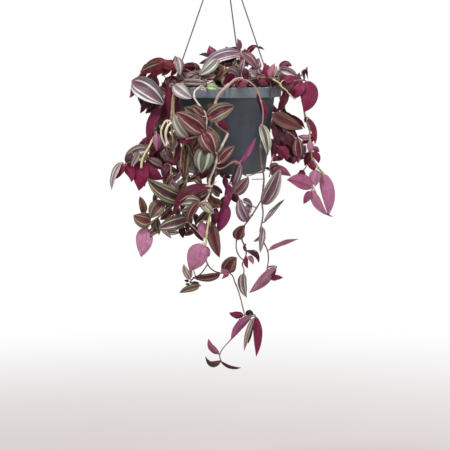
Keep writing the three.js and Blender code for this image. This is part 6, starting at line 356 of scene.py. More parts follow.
    ('f', (35.5, -93, -495.8), (31.3, -95, -502.0), (36.3, -93, -508.1), (0.866, 0.496, 0.055), 5.6, 20, 'W', -1, (32.4, -93.4, -497.1), 3.4, None),
    ('m', (52.1, 9, -196), (59.8, 6, -195.4), (65.5, 7, -200.7), (0.357, 0.333, 0.873), 4.5, 20, 'D', -1, (38.6, 15.5, -208.2), 19.1, None),
    ('m', (91.3, -22, -236.2), (89.3, -24, -230.8), (87.4, -22, -225.4), (0.875, -0.366, 0.317), 5.3, 20, 'S', 1, (94.1, 1.4, -235.9), 23.6, None),
    ('q', (32.6, -99, -612.4), (27.0, -100, -621.2), (21.4, -99, -630.3), (-0.77, -0.416, 0.483), 2.7, 10, 'O', 1, (31.9, -100, -612.0), 1.3, None),
    ('h', (126.2, -42, -248.2), (125.2, -46, -220.3), (132.1, -42, -247.5), (-0.111, -0.527, 0.842), 9.7, 18, 'D', -1, (124.2, -42.6, -246.8), 1.7, None),
    ('i', (129.2, -33, -304.1), (128.4, -35, -308.7), (127.7, -33, -313.5), (0.88, 0.453, -0.142), 5.7, 20, 'D', -1, (128.9, -31.1, -304.5), 2, None),
    ('j', (72.2, -56, -383.4), (68.3, -57, -382.6), (64.5, -54, -382.0), (-0.105, 0.27, -0.957), 5.2, 20, 'D', -1, (73.4, -54.9, -383.9), 1.7, None),
    ('q', (-51.5, -108, -550.9), (-55.2, -110, -549.8), (-59.1, -108, -549.3), (-0.175, -0.468, -0.867), 5.1, 20, 'D', -1, (-48.5, -108.0, -552.3), 3.3, None),
    ('q', (26.4, -99, -609.3), (23.7, -100, -617.7), (21.1, -99, -626.4), (-0.798, 0.548, 0.251), 2.3, 10, 'S', 1, (31.4, -100, -612.7), 6.1, None),
    ('m', (123.5, -16, -237.9), (124.5, -18, -234.0), (125.8, -16, -230.1), (0.824, -0.511, -0.244), 4.7, 20, 'P', 1, (122.8, -5.7, -240.4), 10.2, None),
    ('m', (121.8, -18, -240.9), (124.9, -20, -239.0), (128.1, -18, -237.1), (0.458, -0.502, -0.733), 4.7, 20, 'S', 1, (122.8, -5.7, -240.4), 12.3, None),
    ('q', (-50.7, -108, -555.5), (-54.1, -110, -555.2), (-57.6, -108, -555.5), (0, -0.468, -0.884), 4.3, 20, 'D2', -1, (-49.4, -108, -554.2), 0.8, None),
    ('i', (161.4, -51, -452.2), (165.2, -51, -457.6), (171.9, -49, -457.6), (0.475, -0.279, 0.834), 2.5, 10, 'D', -1, (140.0, -55.6, -411.6), 45.3, None),
    ('w', (-80.7, 54.1, -281.1), (-93.4, 81.5, -287.2), (-92.5, 100.3, -313.2), (0.391, 0.437, 0.81), 25.2, 14, 'W', -1, (-80.6, 53.8, -281.1), 0.3, None),
    ('w', (-87.1, 47.2, -323.8), (-112.1, 40.2, -335.8), (-122.8, 26.0, -367.8), (0.285, 0.607, -0.742), 23, 22, 'B3', -1, (-87.0, 46.5, -323.6), 0.7, None),
    ('r', (94.7, 39.5, -329.5), (109.6, 62.7, -340.3), (109.9, 79.4, -371.1), (0.336, -0.632, -0.699), 23.4, 14, 'V', 1, (94.6, 39.8, -329.5), 0.2, None),
    ('y', (-96, -3.4, -284.8), (-114.1, -23.1, -295.2), (-116.2, -42.3, -325.7), (-0.406, 0.663, -0.629), 22.4, 14, 'V', -1, (-95.9, -3.1, -285.0), 0.4, None),
    ('u', (-9.8, 102.2, -329.5), (-27.7, 120.3, -341.1), (-43.4, 122.5, -372.6), (0.738, 0.356, -0.573), 22.8, 14, 'W2', 1, (-9.9, 102.5, -329.6), 0.4, None),
    ('w', (-87.9, 45.4, -357.0), (-113.1, 38.4, -366.2), (-124.0, 24.4, -395.4), (0.102, 0.7, -0.707), 22.8, 14, 'W', -1, (-87.8, 45.1, -357.1), 0.4, None),
    ('g', (96.7, 14.9, -296.3), (109.0, 36.4, -305.4), (105.5, 55.2, -334.4), (0.671, -0.499, -0.548), 23, 18, 'W', 1, (96.7, 15.5, -296.3), 0.6, None),
    ('w', (-87.5, 41.6, -338.1), (-102.2, 64.1, -347.9), (-102.2, 80.1, -377.8), (0.47, 0.623, 0.625), 22.2, 18, 'B3', -1, (-87.5, 41.5, -338.1), 0.1, None),
    ('u', (-0.1, 102.0, -378.6), (19.2, 122.8, -383.6), (39.2, 127.8, -408.6), (0.609, -0.314, 0.729), 22.6, 14, 'S', 1, (-0.4, 101.3, -378.5), 0.7, None),
    ('t', (19.8, 95, -264.0), (7.5, 120.3, -269.2), (-7.3, 129.8, -294.4), (0.811, 0.411, -0.416), 23.5, 14, 'W2', 1, (20.2, 95.9, -263.7), 1, None),
    ('p', (-99.2, 16.2, -346.2), (-112.9, 40.7, -355.4), (-112.6, 57.5, -384.7), (0.755, 0.506, 0.417), 21.6, 22, 'G', 1, (-99.2, 16.1, -346.1), 0.1, None),
    ('r', (59.4, 22.0, -252.9), (90.4, 31.0, -251.3), (109.6, 29.3, -269.7), (0.068, -0.983, 0.173), 22.9, 14, 'B3', -1, (59.0, 21.7, -252.1), 0.9, None),
    ('p', (-99.3, 19.0, -329.5), (-121.6, 8.6, -341.1), (-128.2, -4.6, -372.7), (0.033, 0.781, -0.624), 20.9, 22, 'P', -1, (-98.8, 19.5, -329.7), 0.7, None),
    ('s', (59.8, 85.1, -286.1), (83.5, 93.3, -293.8), (98.7, 88.0, -321.5), (0.306, -0.868, 0.392), 22.6, 18, 'O', 1, (60.1, 85.0, -286.1), 0.4, None),
    ('w', (-76.3, 52.5, -265.8), (-104.7, 47.5, -270.3), (-119.6, 33.9, -294.7), (-0.104, 0.786, -0.61), 21.2, 22, 'B3', 1, (-76.7, 52.7, -265.7), 0.4, None),
    ('u', (2.7, 105.6, -386), (-17.8, 124.9, -390.4), (-37.9, 128.3, -414.9), (0.476, 0.232, -0.848), 21.1, 22, 'P', -1, (1.9, 104.4, -385.9), 0, None),
    ('u', (-14.5, 101.2, -310.7), (-1.0, 124.2, -315.2), (15.6, 131.5, -339.7), (0.589, -0.124, 0.798), 22.3, 18, 'B3', 1, (-14.6, 100.9, -310.8), 0.3, None),
    ('y', (-90.3, -33.6, -342.3), (-116.6, -44.1, -343.5), (-128.0, -60.3, -364.7), (-0.145, 0.624, -0.768), 22.2, 18, 'W2', 1, (-90.2, -33.1, -342.5), 0.6, None),
    ('g', (99.6, 16.6, -360.9), (114.4, 40.3, -362.4), (113.6, 61.4, -383.9), (0.646, -0.366, -0.67), 21.6, 22, 'G', 1, (99.6, 16.4, -359.5), 0, None),
    ('w', (-47.3, 27.8, -255.2), (-58.1, 56.3, -247.1), (-54.8, 77.2, -258.9), (0.838, -0.044, 0.544), 22.1, 14, 'V', -1, (-41.7, 34.0, -252.4), 8.9, None),
    ('g', (98.5, 15.8, -326.7), (114.2, 37.7, -327.8), (114.2, 56.9, -348.9), (0.585, -0.41, -0.7), 22.3, 18, 'V', -1, (98.5, 15.3, -326.7), 0.5, None),
    ('s', (58.4, 88.4, -303.5), (53.0, 115.6, -303.9), (39.2, 129.1, -324.2), (0.404, -0.017, -0.915), 22, 14, 'W', 1, (58.1, 88.5, -303.5), 0.3, None),
    ('s', (61.3, 81.5, -272.3), (58.4, 106.8, -279.4), (46.5, 119, -306.5), (0.721, -0.126, -0.681), 20.6, 18, 'O', 1, (61.3, 81.7, -272.2), 0.2, None),
    ('v', (-59.8, 81.4, -300.3), (-85.9, 90.4, -302.4), (-102.0, 86.9, -324.5), (0.271, 0.792, -0.547), 22.2, 18, 'O', 1, (-60.2, 81.3, -300.4), 0.5, None),
    ('y', (-94.3, 8.1, -272.7), (-109.2, 26.1, -280.1), (-108.2, 42.8, -307.4), (0.593, 0.602, 0.535), 21.3, 22, 'B3', 1, (-94.8, 8.0, -272.4), 0.6, None),
    ('v', (-56.2, 80.5, -281.7), (-53.1, 102.8, -289.7), (-40.2, 112.3, -317.7), (0.643, 0.248, 0.724), 21.4, 22, 'S', 1, (-56.1, 80.4, -281.7), 0.2, None),
    ('t', (16, 101.2, -309.5), (32.0, 125.5, -312.2), (46.2, 133.9, -334.8), (0.697, -0.704, 0.136), 21.1, 18, 'S', 1, (15.3, 101.3, -309.7), 0.7, None),
    ('u', (-17.2, 98.1, -296.7), (-39.5, 115.5, -298.6), (-58.1, 117.4, -320.6), (0.361, 0.189, -0.913), 21.1, 18, 'G', -1, (-17.0, 99.2, -296.6), 1.2, None),
    ('v', (-52.9, 78.9, -268.9), (-75.2, 96.5, -270.5), (-93.0, 98.7, -292.1), (0.487, 0.635, -0.599), 20.8, 14, 'V', 1, (-53.0, 79.3, -268.8), 0.4, None),
    ('i', (70.2, -9.2, -254.6), (87.3, -24.4, -244.5), (91.8, -37.8, -250.5), (-0.708, -0.137, 0.693), 18.3, 14, 'B', -1, (66.6, -20.7, -248.7), 13.4, None),
    ('y', (-87.5, -38.4, -359.4), (-113.2, -32.4, -365.4), (-124.0, -20.3, -391.4), (-0.01, 0.743, 0.669), 19.8, 14, 'P2', 1, (-87.5, -38.3, -359.4), 0.1, None),
    ('v', (-26.9, 49.2, -252.9), (-28.1, 78.5, -246.6), (-20.6, 94.5, -260.4), (0.807, -0.163, 0.568), 21.6, 14, 'D2', 1, (-26.7, 48.9, -252.1), 0.9, None),
    ('t', (15.0, 104.3, -337.1), (31.3, 119.5, -346.2), (46.1, 118.7, -375.2), (0.696, -0.197, 0.69), 19.5, 14, 'W', 1, (15.0, 103.3, -337.2), 1, None),
    ('t', (13.3, 100.3, -294.3), (7.8, 122.5, -301.7), (-4.3, 130.1, -329.1), (0.9, 0.23, -0.371), 20.2, 14, 'P2', 1, (13.9, 100.3, -294.5), 0.7, None),
    ('t', (15.0, 69.8, -256.0), (18.9, 90.9, -239.2), (22.8, 112.0, -242.4), (0.922, -0.048, -0.384), 22, 16, 'V', 1, (18.5, 67.3, -247.7), 9.4, None),
    ('s', (59.6, 88.0, -335.3), (62.2, 115.9, -339.4), (56.5, 130.2, -363.5), (0.929, -0.076, -0.362), 19.3, 22, 'P2', -1, (59.9, 88.7, -335.4), 0.8, None),
    ('u', (4.9, 105.1, -381.9), (-7.7, 126.5, -389.7), (-20.4, 131.9, -417.4), (0.745, 0.098, -0.66), 19, 22, 'B', -1, (1.9, 104.4, -385.9), 4.7, None),
    ('v', (-51.6, 86, -335.8), (-73.4, 89.8, -343.5), (-86.4, 80.3, -371.2), (0.282, 0.766, -0.577), 19.5, 22, 'B3', 1, (-51.8, 86.2, -335.8), 0.2, None),
    ('p', (-98.7, 21.9, -316.5), (-117.7, 35.6, -323.5), (-120.9, 51.6, -350.5), (0.362, 0.726, 0.585), 19.3, 14, 'P', 1, (-98.2, 22.4, -316.6), 0.7, None),
    ('g', (80.1, 13.2, -249.7), (97.9, 35.1, -243.9), (100.0, 54.2, -258.1), (0.588, -0.179, -0.789), 20.9, 22, 'B', 1, (79.9, 13.2, -248.9), 0.8, None),
    ('w', (-68.3, 48.6, -251.5), (-78.0, 76.4, -242.9), (-74.5, 95.3, -254.4), (0.384, -0.128, 0.915), 20.3, 22, 'V', 1, (-68.7, 48.8, -250.8), 0.8, None),
    ('x', (98.5, -2.7, -322.9), (114.7, 13.8, -329.4), (115.0, 30.8, -356.0), (0.846, -0.482, -0.23), 19.1, 18, 'B3', -1, (98.5, -2.6, -322.9), 0.1, None),
    ('w', (-36.4, 35.4, -255.4), (-49.7, 50.1, -235.6), (-62.9, 64.8, -235.7), (0.728, 0.684, -0.042), 21.3, 16, 'B', 1, (-38.5, 31.7, -254.9), 4.2, None),
    ('u', (-13.8, 81.2, -248.3), (-7.2, 109.4, -236.2), (3.0, 122.0, -244.1), (0.472, -0.484, 0.737), 21, 14, 'B3', -1, (-13.9, 81.5, -247.4), 1, None),
    ('r', (27.9, 10.5, -260.2), (43.3, 23.3, -239.4), (58.7, 36.1, -238.7), (0.735, -0.543, -0.406), 20.4, 16, 'B3', 1, (46.4, 16.7, -263.9), 19.8, None),
    ('w', (-91.3, 39.8, -266.5), (-114.5, 37, -274.7), (-123, 28.1, -302.9), (-0.429, 0.903, 0.004), 18.5, 22, 'G', -1, (-77.6, 53.1, -268.7), 19.2, None),
    ('u', (-25, 51.9, -262.0), (-13.6, 70.1, -244.6), (-2.2, 88.4, -247.3), (0.747, -0.59, 0.308), 20.2, 16, 'B', 1, (-4.9, 51.2, -256.3), 21, None),
    ('w', (-40.4, 36.1, -254.6), (-51.8, 52.6, -237.1), (-63.2, 69.1, -239.7), (0.817, 0.576, -0.022), 21.3, 16, 'S', 1, (-41.0, 33.6, -252.8), 3.1, None),
    ('u', (-18.1, 92.4, -261.4), (-34.6, 114.0, -253.4), (-52.7, 119.7, -265.3), (-0.072, 0.172, -0.982), 20.3, 14, 'P', -1, (-18.5, 93.1, -261), 0.9, None),
    ('y', (-78.5, 26.8, -252.2), (-93.2, 51.0, -244.8), (-92.7, 70.3, -257.3), (0.752, 0.149, 0.642), 19.5, 22, 'O', 1, (-78.7, 27.5, -251.6), 0.9, None),
    ('u', (3.6, 22.5, -258.8), (-11.3, 32.2, -235.8), (-26.3, 41.9, -232.7), (0.286, 0.896, -0.339), 20.2, 16, 'G', 1, (-3.5, 43.9, -263.0), 23, None),
    ('r', (72.7, 29.0, -247.4), (92.3, 50.2, -236.6), (97.1, 65.2, -245.9), (0.423, -0.029, -0.906), 20.3, 22, 'G', 1, (72.5, 28.8, -246.4), 1, None),
    ('v', (-47.3, 73.0, -252.8), (-50.6, 100.0, -241.4), (-44.5, 113.9, -250.0), (-0.054, -0.313, 0.948), 21.6, 22, 'G', 1, (-47.6, 73.4, -252.3), 0.7, None),
    ('v', (-55.4, 85.3, -318.9), (-54.3, 110.8, -319.6), (-43.9, 123.3, -340.4), (0.652, 0.025, 0.758), 19.6, 14, 'O', -1, (-55.4, 84.1, -319.1), 1.2, None),
    ('s', (41.1, 46.2, -252.9), (65.6, 57.2, -239.9), (80.3, 55.6, -246.9), (-0.288, -0.379, 0.879), 21.6, 14, 'P', 1, (40.9, 45.9, -252.1), 0.9, None),
    ('t', (26.2, 48.7, -259), (11.6, 65.5, -244.6), (-3.1, 82.4, -250.3), (0.725, 0.51, 0.462), 19.4, 16, 'V', 1, (15.7, 49.7, -257.2), 10.8, None),
    ('r', (94.2, 40.2, -294.9), (105.2, 61.2, -300.8), (101.7, 75.5, -326.8), (0.568, -0.512, -0.645), 18, 14, 'D2', 1, (93.4, 40.6, -294.9), 0.9, None),
    ('g', (64.9, 22.3, -261.0), (83.7, 11.3, -249.0), (102.5, 0.4, -257.0), (-0.511, -0.842, 0.172), 19.9, 16, 'W2', 1, (64.2, 10.4, -253.7), 14, None),
    ('s', (37.0, 54.0, -259.4), (42.7, 74.8, -246.7), (48.4, 95.5, -253.9), (0.932, -0.286, 0.221), 19.9, 16, 'P', 1, (41.4, 46.5, -251.8), 11.6, None),
    ('s', (24.9, 33.2, -259.3), (17.5, 49.4, -238.0), (10.1, 65.6, -236.7), (0.697, 0.596, -0.398), 20.5, 16, 'G', 1, (32.7, 35.5, -261.5), 8.4, None),
    ('s', (66.5, 40.4, -257.3), (79.7, 57.7, -242.9), (92.9, 75.0, -248.5), (0.777, -0.496, -0.388), 19.4, 16, 'W2', 1, (44.4, 50.9, -249.1), 25.7, None),
    ('w', (-44.9, 36.2, -252.9), (-47.4, 63.3, -248.0), (-41.0, 77.1, -263.1), (0.817, -0.079, 0.571), 20.4, 22, 'P2', 1, (-44.1, 35.6, -250.9), 2.2, None),
    ('p', (-93.6, 33.1, -280.3), (-105.0, 53.2, -284.4), (-101.4, 68.3, -308.5), (0.283, 0.487, 0.826), 18.3, 22, 'P2', 1, (-93.2, 33.4, -280.5), 0.5, None),
    ('r', (94.8, 39.3, -349.2), (119.7, 39.6, -349.0), (133.2, 28.9, -368.7), (0.151, -0.282, 0.947), 18.9, 22, 'V', 1, (94.7, 39.4, -349.2), 0.1, None),
    ('u', (-19.4, 97.1, -279.1), (-11.1, 117.7, -283.8), (1.2, 122.8, -308.6), (0.677, 0.025, 0.736), 18.8, 18, 'V', -1, (-19.6, 97.4, -279.1), 0.3, None),
    ('v', (-50.4, 85.9, -354.6), (-46.7, 109.3, -358.9), (-34.3, 119.4, -383.2), (0.833, -0.105, 0.543), 17.6, 22, 'P', 1, (-50.3, 86.3, -354.6), 0.4, None),
    ('y', (-89.2, 20.5, -261.2), (-108.8, 7, -260.7), (-112.8, -9.9, -280.2), (-0.561, 0.605, -0.566), 19.1, 14, 'W2', 1, (-89.7, 20.8, -261.1), 0.6, None),
    ('r', (90.3, 40.0, -263.2), (104.6, 62.9, -260.6), (104.3, 79.0, -278.0), (0.374, -0.235, -0.897), 18.4, 18, 'W', -1, (90.9, 40.4, -263.2), 0.7, None),
    ('t', (18.6, 69.6, -248.0), (3.9, 91.9, -235.3), (-8.2, 98.3, -242.7), (-0.352, 0.182, -0.918), 20.3, 22, 'P2', 1, (18.7, 69.4, -247.1), 0.9, None),
    ('s', (25.0, 35.5, -257.5), (40.8, 47.9, -247.2), (56.6, 60.3, -256.8), (0.448, -0.592, 0.67), 19.7, 16, 'S', 1, (32.7, 35.5, -261.5), 8.7, None),
    ('t', (5.1, 32.8, -258.7), (1.4, 53.2, -245.7), (-2.4, 73.6, -252.8), (0.912, 0.219, -0.347), 18.6, 16, 'W2', 1, (14.4, 44.0, -261.5), 14.8, None),
    ('t', (19.1, 99.1, -277.3), (29.1, 119.1, -282.3), (42.5, 123.5, -307.3), (0.704, -0.09, 0.705), 17.1, 14, 'W', -1, (19.3, 99.2, -277.3), 0.2, None),
    ('s', (40.8, 30.5, -257.0), (53.2, 42.5, -236.4), (65.5, 54.5, -235.8), (0.596, -0.781, 0.188), 19.1, 16, 'G', 1, (34.5, 37.7, -259.4), 9.9, None),
    ('t', (16.6, 54.4, -252.9), (23.6, 74.4, -246.8), (32.4, 81.8, -256.7), (0.493, -0.403, 0.771), 15.5, 14, 'D2', 1, (16.8, 54.8, -253.4), 0.7, None),
    ('w', (-39.9, 28.8, -252.4), (-56.4, 32.6, -232.2), (-72.9, 36.3, -231.9), (0.334, 0.92, 0.203), 19.3, 16, 'S', 1, (-39.1, 32.2, -254.4), 4, None),
    ('s', (59.8, 88.0, -349.4), (81.8, 96.5, -350.5), (95.4, 91.4, -371.6), (0.342, -0.387, 0.856), 18.1, 22, 'O', 1, (59.9, 87.7, -349.4), 0.3, None),
    ('v', (-35.9, 60.3, -247.6), (-53.8, 79.6, -244.2), (-67.9, 83.4, -260.8), (0.409, 0.549, -0.729), 18.3, 18, 'S', 1, (-35.6, 60.2, -246.6), 1, None),
    ('g', (64.0, 10.4, -254.6), (88.2, 1.4, -243.6), (96.7, -10.4, -252.5), (-0.476, -0.201, 0.856), 19.4, 22, 'S', -1, (63.7, 10.3, -253.9), 0.7, None),
    ('t', (7.5, 103.6, -368.4), (23.1, 121.2, -368.4), (38.2, 122.9, -388.4), (0.579, -0.66, 0.479), 18.1, 18, 'G', 1, (7.7, 103.4, -368.5), 0.3, None),
    ('x', (94.6, -9.3, -256.5), (117.7, -18.2, -244.2), (125.3, -30.9, -251.9), (-0.515, -0.158, 0.842), 19.8, 18, 'P', 1, (94.5, -9.3, -256.6), 0.1, None),
    ('x', (97.6, -1.2, -303.7), (113.0, -16.6, -307.3), (112.4, -31.9, -330.9), (-0.167, -0.55, 0.818), 17.1, 22, 'G', 1, (97.7, -1.4, -303.7), 0.2, None),
    ('w', (-83.8, 54.7, -294.3), (-107.5, 47.2, -293.4), (-115.5, 36.4, -312.6), (-0.141, 0.724, -0.675), 18.1, 22, 'V', -1, (-83.7, 54.3, -294.3), 0.5, None),
    ('t', (3.5, 34.0, -254.9), (1.1, 52.8, -242.2), (-1.2, 71.7, -249.4), (0.905, 0.169, -0.391), 19.1, 16, 'O', 1, (14.4, 44.0, -261.5), 16.2, None),
    ('y', (-92.3, -29.1, -329.7), (-115.0, -20.4, -329.6), (-122.3, -7.1, -349.5), (0.164, 0.586, 0.794), 17.4, 22, 'W', 1, (-92.3, -29.1, -329.7), 0, None),
    ('w', (-27.1, 20, -254.9), (-32.1, 38.4, -239.1), (-37.2, 56.9, -243.3), (0.966, 0.258, 0.02), 17.8, 16, 'S', 1, (-31.4, 26.4, -261.5), 10.2, None),
    ('y', (-96.0, -14.1, -299.9), (-112.8, -6.3, -306.7), (-113.8, 3.7, -333.4), (0.054, 0.829, 0.556), 16.9, 18, 'D2', 1, (-95.5, -13.6, -300.1), 0.8, None),
    ('g', (94.0, 15.7, -258.4), (117.7, 5.1, -248.3), (125.7, -8.2, -258.2), (-0.514, -0.335, 0.79), 17.6, 18, 'W', 1, (94.4, 15.8, -258.2), 0.4, None),
    ('g', (97.1, 41.5, -311.3), (118.5, 49.5, -308.5), (133.0, 43.1, -325.7), (0.141, -0.672, 0.727), 18, 18, 'W2', 1, (97.5, 15.4, -311.0), 26, None),
    ('p', (-75.7, 40.9, -253.2), (-87.2, 63.7, -248.1), (-84.5, 79.3, -263.0), (0.518, 0.118, 0.847), 17.1, 18, 'V', 1, (-75.8, 41.4, -252.5), 1, None),
    ('g', (99.7, 15.1, -343.8), (119.6, 2.4, -343.8), (123.6, -12.7, -363.7), (-0.497, -0.645, 0.58), 16.6, 22, 'V', 1, (99.6, 15.2, -343.8), 0.1, None),
    ('s', (59.8, 89.9, -319.4), (80.8, 100.7, -321.6), (93.4, 97.7, -343.7), (0.402, -0.761, 0.51), 16.4, 14, 'O', 1, (59.4, 89.3, -319.5), 0.7, None),
    ('g', (90.0, 38.5, -251.1), (110.6, 22.5, -247.5), (115.8, 10.8, -264.0), (-0.323, -0.492, 0.808), 17.1, 14, 'O', 1, (91.6, 15.3, -253.7), 23.5, None),
    ('t', (2.5, 52.2, -255.1), (12.1, 56.8, -243.1), (21.7, 61.4, -244.1), (0.341, -0.924, 0.175), 11.9, 16, 'B', 1, (15.8, 50.4, -256.7), 13.6, None),
    ('y', (-66.1, 24.5, -251.0), (-88.3, 16.1, -245.6), (-95.4, 2.5, -260.1), (-0.413, 0.553, -0.723), 17.7, 22, 'B3', -1, (-65.8, 24.8, -250.2), 0.9, None),
    ('t', (10.0, 38.0, -254.2), (-2.7, 47.6, -235.3), (-15.5, 57.4, -236.4), (0.694, 0.672, 0.26), 18.1, 16, 'S', 1, (14.4, 44.0, -261.5), 10.5, None),
    ('s', (59.8, 89.4, -365.6), (55.8, 112.3, -365.5), (43.4, 121.5, -385.5), (0.514, -0.017, -0.858), 16.1, 18, 'D2', 1, (58.9, 89.3, -365.5), 0.9, None),
    ('w', (-85.7, 52.2, -307.2), (-96.0, 73.9, -307.3), (-92.4, 87.6, -327.5), (0.452, 0.338, 0.826), 15.9, 18, 'D2', 1, (-85.6, 52.0, -307.2), 0.2, None),
    ('r', (69.3, 23.9, -253.1), (81.7, 12.1, -236.7), (94.1, 0.3, -240.4), (-0.615, -0.759, -0.213), 17.4, 16, 'G', 1, (66.9, 25.6, -248.1), 5.8, None),
    ('s', (50.3, 61.1, -246.9), (53.2, 85.7, -236.7), (46.5, 97.4, -246.4), (0.102, 0.272, -0.957), 17.3, 14, 'G', -1, (50.4, 61.0, -245.9), 0.9, None),
    ('t', (18, 102.3, -322.6), (10.7, 122.2, -325.6), (1.4, 126.4, -348.6), (0.872, 0.375, -0.315), 16.1, 14, 'P', 1, (18.6, 102.2, -322.8), 0.6, None),
    ('u', (0.6, 104.3, -361.7), (-14.3, 121.3, -358.9), (-28.6, 122.3, -376.0), (0.454, 0.5, -0.738), 16.9, 14, 'W2', -1, (0.8, 104.4, -361.6), 0.2, None),
    ('v', (-48.2, 86.8, -372.7), (-69.3, 96.7, -369.7), (-82.0, 93.0, -386.6), (0.232, 0.729, -0.644), 16.9, 14, 'P', -1, (-48.4, 86.7, -372.8), 0.3, None),
    ('y', (-94.4, -22.1, -314.3), (-110.1, -39.6, -312.8), (-110.2, -53.6, -331.2), (-0.224, 0.341, -0.913), 15.9, 22, 'O', 1, (-94.1, -21.7, -314.5), 0.5, None),
    ('t', (11.7, 104.5, -351.1), (0.2, 125.9, -348.5), (-12.2, 131.3, -365.9), (0.712, 0.536, -0.453), 15.9, 14, 'B3', -1, (11.6, 104.3, -351.1), 0.2, None),
    ('s', (58.2, 75.4, -254.5), (80.8, 84.8, -247.6), (94.2, 81.0, -260.7), (-0.023, -0.355, 0.935), 16.4, 18, 'P2', 1, (58.2, 75.5, -254.5), 0.1, None),
    ('x', (82.9, -10.9, -249.2), (107.2, -11.6, -240.3), (117.3, -4.7, -251.4), (0.252, -0.471, -0.845), 17.1, 22, 'O', 1, (83.0, -11, -249.1), 0.2, None),
    ('u', (-10.3, 72.2, -248.1), (-14.6, 94.1, -243.5), (-26.5, 102.0, -258.9), (0.272, 0.073, -0.96), 16.7, 14, 'W2', -1, (-10.3, 71.7, -246.4), 1.7, None),
    ('u', (-6.2, 57.5, -252.9), (-13.6, 79.8, -247.0), (-8.5, 92.0, -261.2), (0.801, 0.049, 0.597), 16.7, 22, 'W2', -1, (-6.0, 57.2, -252.1), 0.9, None),
    ('u', (-5.1, 101.8, -345), (2.9, 124.3, -342.3), (12.5, 131.0, -359.5), (0.641, -0.238, 0.73), 15.5, 22, 'O', 1, (-5.1, 101.6, -345.0), 0.2, None),
    ('r', (72.9, 28.6, -259.3), (76.1, 40.7, -246.2), (79.3, 52.8, -249.0), (0.953, -0.289, 0.088), 13.5, 16, 'B', 1, (70.0, 27.3, -247.2), 12.5, None),
    ('t', (6.5, 64.2, -261.5), (9.9, 81.5, -250.4), (13.4, 98.9, -259.2), (0.981, -0.194, -0.008), 15.7, 16, 'B', 1, (17.3, 57.7, -251.8), 16, None),
    ('t', (19.5, 84.5, -250.0), (34.7, 101.6, -240.2), (47.3, 102.9, -250.3), (0.157, -0.592, 0.79), 16.6, 14, 'S', 1, (19.6, 85.2, -249.2), 1, None),
    ('y', (-50.3, 19.1, -255.7), (-70.4, 29.0, -242.0), (-74.4, 39.2, -248.3), (0.434, -0.191, 0.88), 16.1, 14, 'P2', 1, (-49.9, 18.9, -254.4), 1.4, None),
    ('w', (-40.6, 54.5, -258.5), (-47.1, 60.3, -246.0), (-53.7, 66.2, -246.5), (0.486, 0.829, -0.279), 9.8, 16, 'B', 1, (-46.6, 37.2, -249.5), 20.4, None),
    ('k', (15.0, -2.4, -253.1), (26.5, -9.8, -234.6), (37.9, -17.2, -236.2), (-0.574, -0.817, 0.06), 15, 16, 'P2', 1, (14.0, -23.4, -256.1), 21.2, None),
    ('r', (45.8, 14.4, -258.3), (58.5, 8.7, -239.1), (71.1, 3.0, -239.8), (-0.521, -0.83, 0.199), 14.2, 16, 'G', 1, (47.1, 17.0, -261.2), 4.1, None),
    ('t', (26.4, 71.7, -257.3), (38.8, 67.4, -239.4), (51.2, 63.1, -241.5), (-0.506, -0.779, 0.37), 14.5, 16, 'V', 1, (18.7, 69.5, -247.1), 13, None),
    ('q', (4.5, -65.4, -254.7), (11.7, -76.5, -236.0), (18.9, -87.5, -237.4), (-0.884, -0.282, 0.372), 13.9, 16, 'B', 1, (9.0, -66.6, -251.8), 5.4, None),
    ('g', (97.4, 16.1, -311.6), (117.3, 9.8, -308.7), (121.4, 0.7, -325.9), (-0.291, -0.734, 0.614), 13.7, 18, 'B3', -1, (97.5, 15.4, -311.5), 0.7, None),
    ('h', (31.4, -36.9, -252.2), (18.7, -42.3, -234.4), (6.1, -47.6, -236.5), (-0.076, 0.877, 0.474), 13.6, 16, 'B', 1, (29.9, -37.4, -248.9), 3.7, None),
    ('p', (-97.0, 27, -297.9), (-109.1, 41.0, -298.2), (-105.7, 50.9, -318.6), (0.406, 0.559, 0.723), 13, 18, 'P', 1, (-97.2, 26.8, -297.8), 0.3, None),
    ('l', (-8.4, -13.0, -258.9), (-20.0, -17.1, -240.0), (-31.6, -21.3, -241.0), (-0.139, 0.954, 0.265), 13.8, 16, 'B', 1, (-15.8, -7.5, -259.6), 9.2, None),
    ('w', (-58.1, 43.4, -246.8), (-68.5, 62.4, -237.3), (-65.6, 72.3, -247.9), (0.678, 0.011, 0.735), 14, 18, 'V', 1, (-58.0, 43.5, -245.9), 0.8, None),
    ('l', (-7.3, -21.6, -255.3), (-20.7, -27.1, -240.7), (-34.0, -32.5, -246.1), (-0.259, 0.911, 0.321), 13.8, 16, 'P', 1, (-16.6, -7.8, -254.9), 16.6, None),
    ('b', (-43.9, -16.3, -254.8), (-57.9, -21.4, -242.8), (-71.9, -26.4, -250.8), (-0.356, 0.921, -0.159), 13.7, 16, 'P', 1, (-41.3, -19.8, -254.4), 4.4, None),
    ('v', (-10.2, 21.5, -260.7), (-12.3, 36.8, -249.7), (-14.4, 52.0, -258.7), (0.977, 0.125, 0.171), 13.1, 16, 'S', 1, (-19.3, 37.4, -264.0), 18.6, None),
    ('l', (-15.4, -3.7, -259.4), (-28.2, -10.4, -245.0), (-40.9, -17.2, -250.5), (-0.33, 0.867, 0.373), 13.3, 16, 'P2', 1, (-15.8, -7.5, -259.5), 3.8, None),
    ('p', (-58.7, 33.9, -250.4), (-73.9, 48.1, -244.9), (-83.1, 47.6, -259.4), (0.133, 0.037, -0.991), 13.6, 22, 'G', 1, (-58.6, 34.0, -250.1), 0.4, None),
    ('r', (50.2, 14.4, -255.4), (59.2, 26.1, -242.6), (68.1, 37.8, -249.8), (0.687, -0.618, 0.382), 13.3, 16, 'O', 1, (50.9, 18.5, -258.2), 5, None),
    ('r', (47.8, 17.7, -252.3), (62.2, 17.4, -238.3), (76.5, 17.1, -244.4), (-0.119, -0.923, 0.365), 13.4, 16, 'S', 1, (51.7, 18.8, -257.6), 6.7, None),
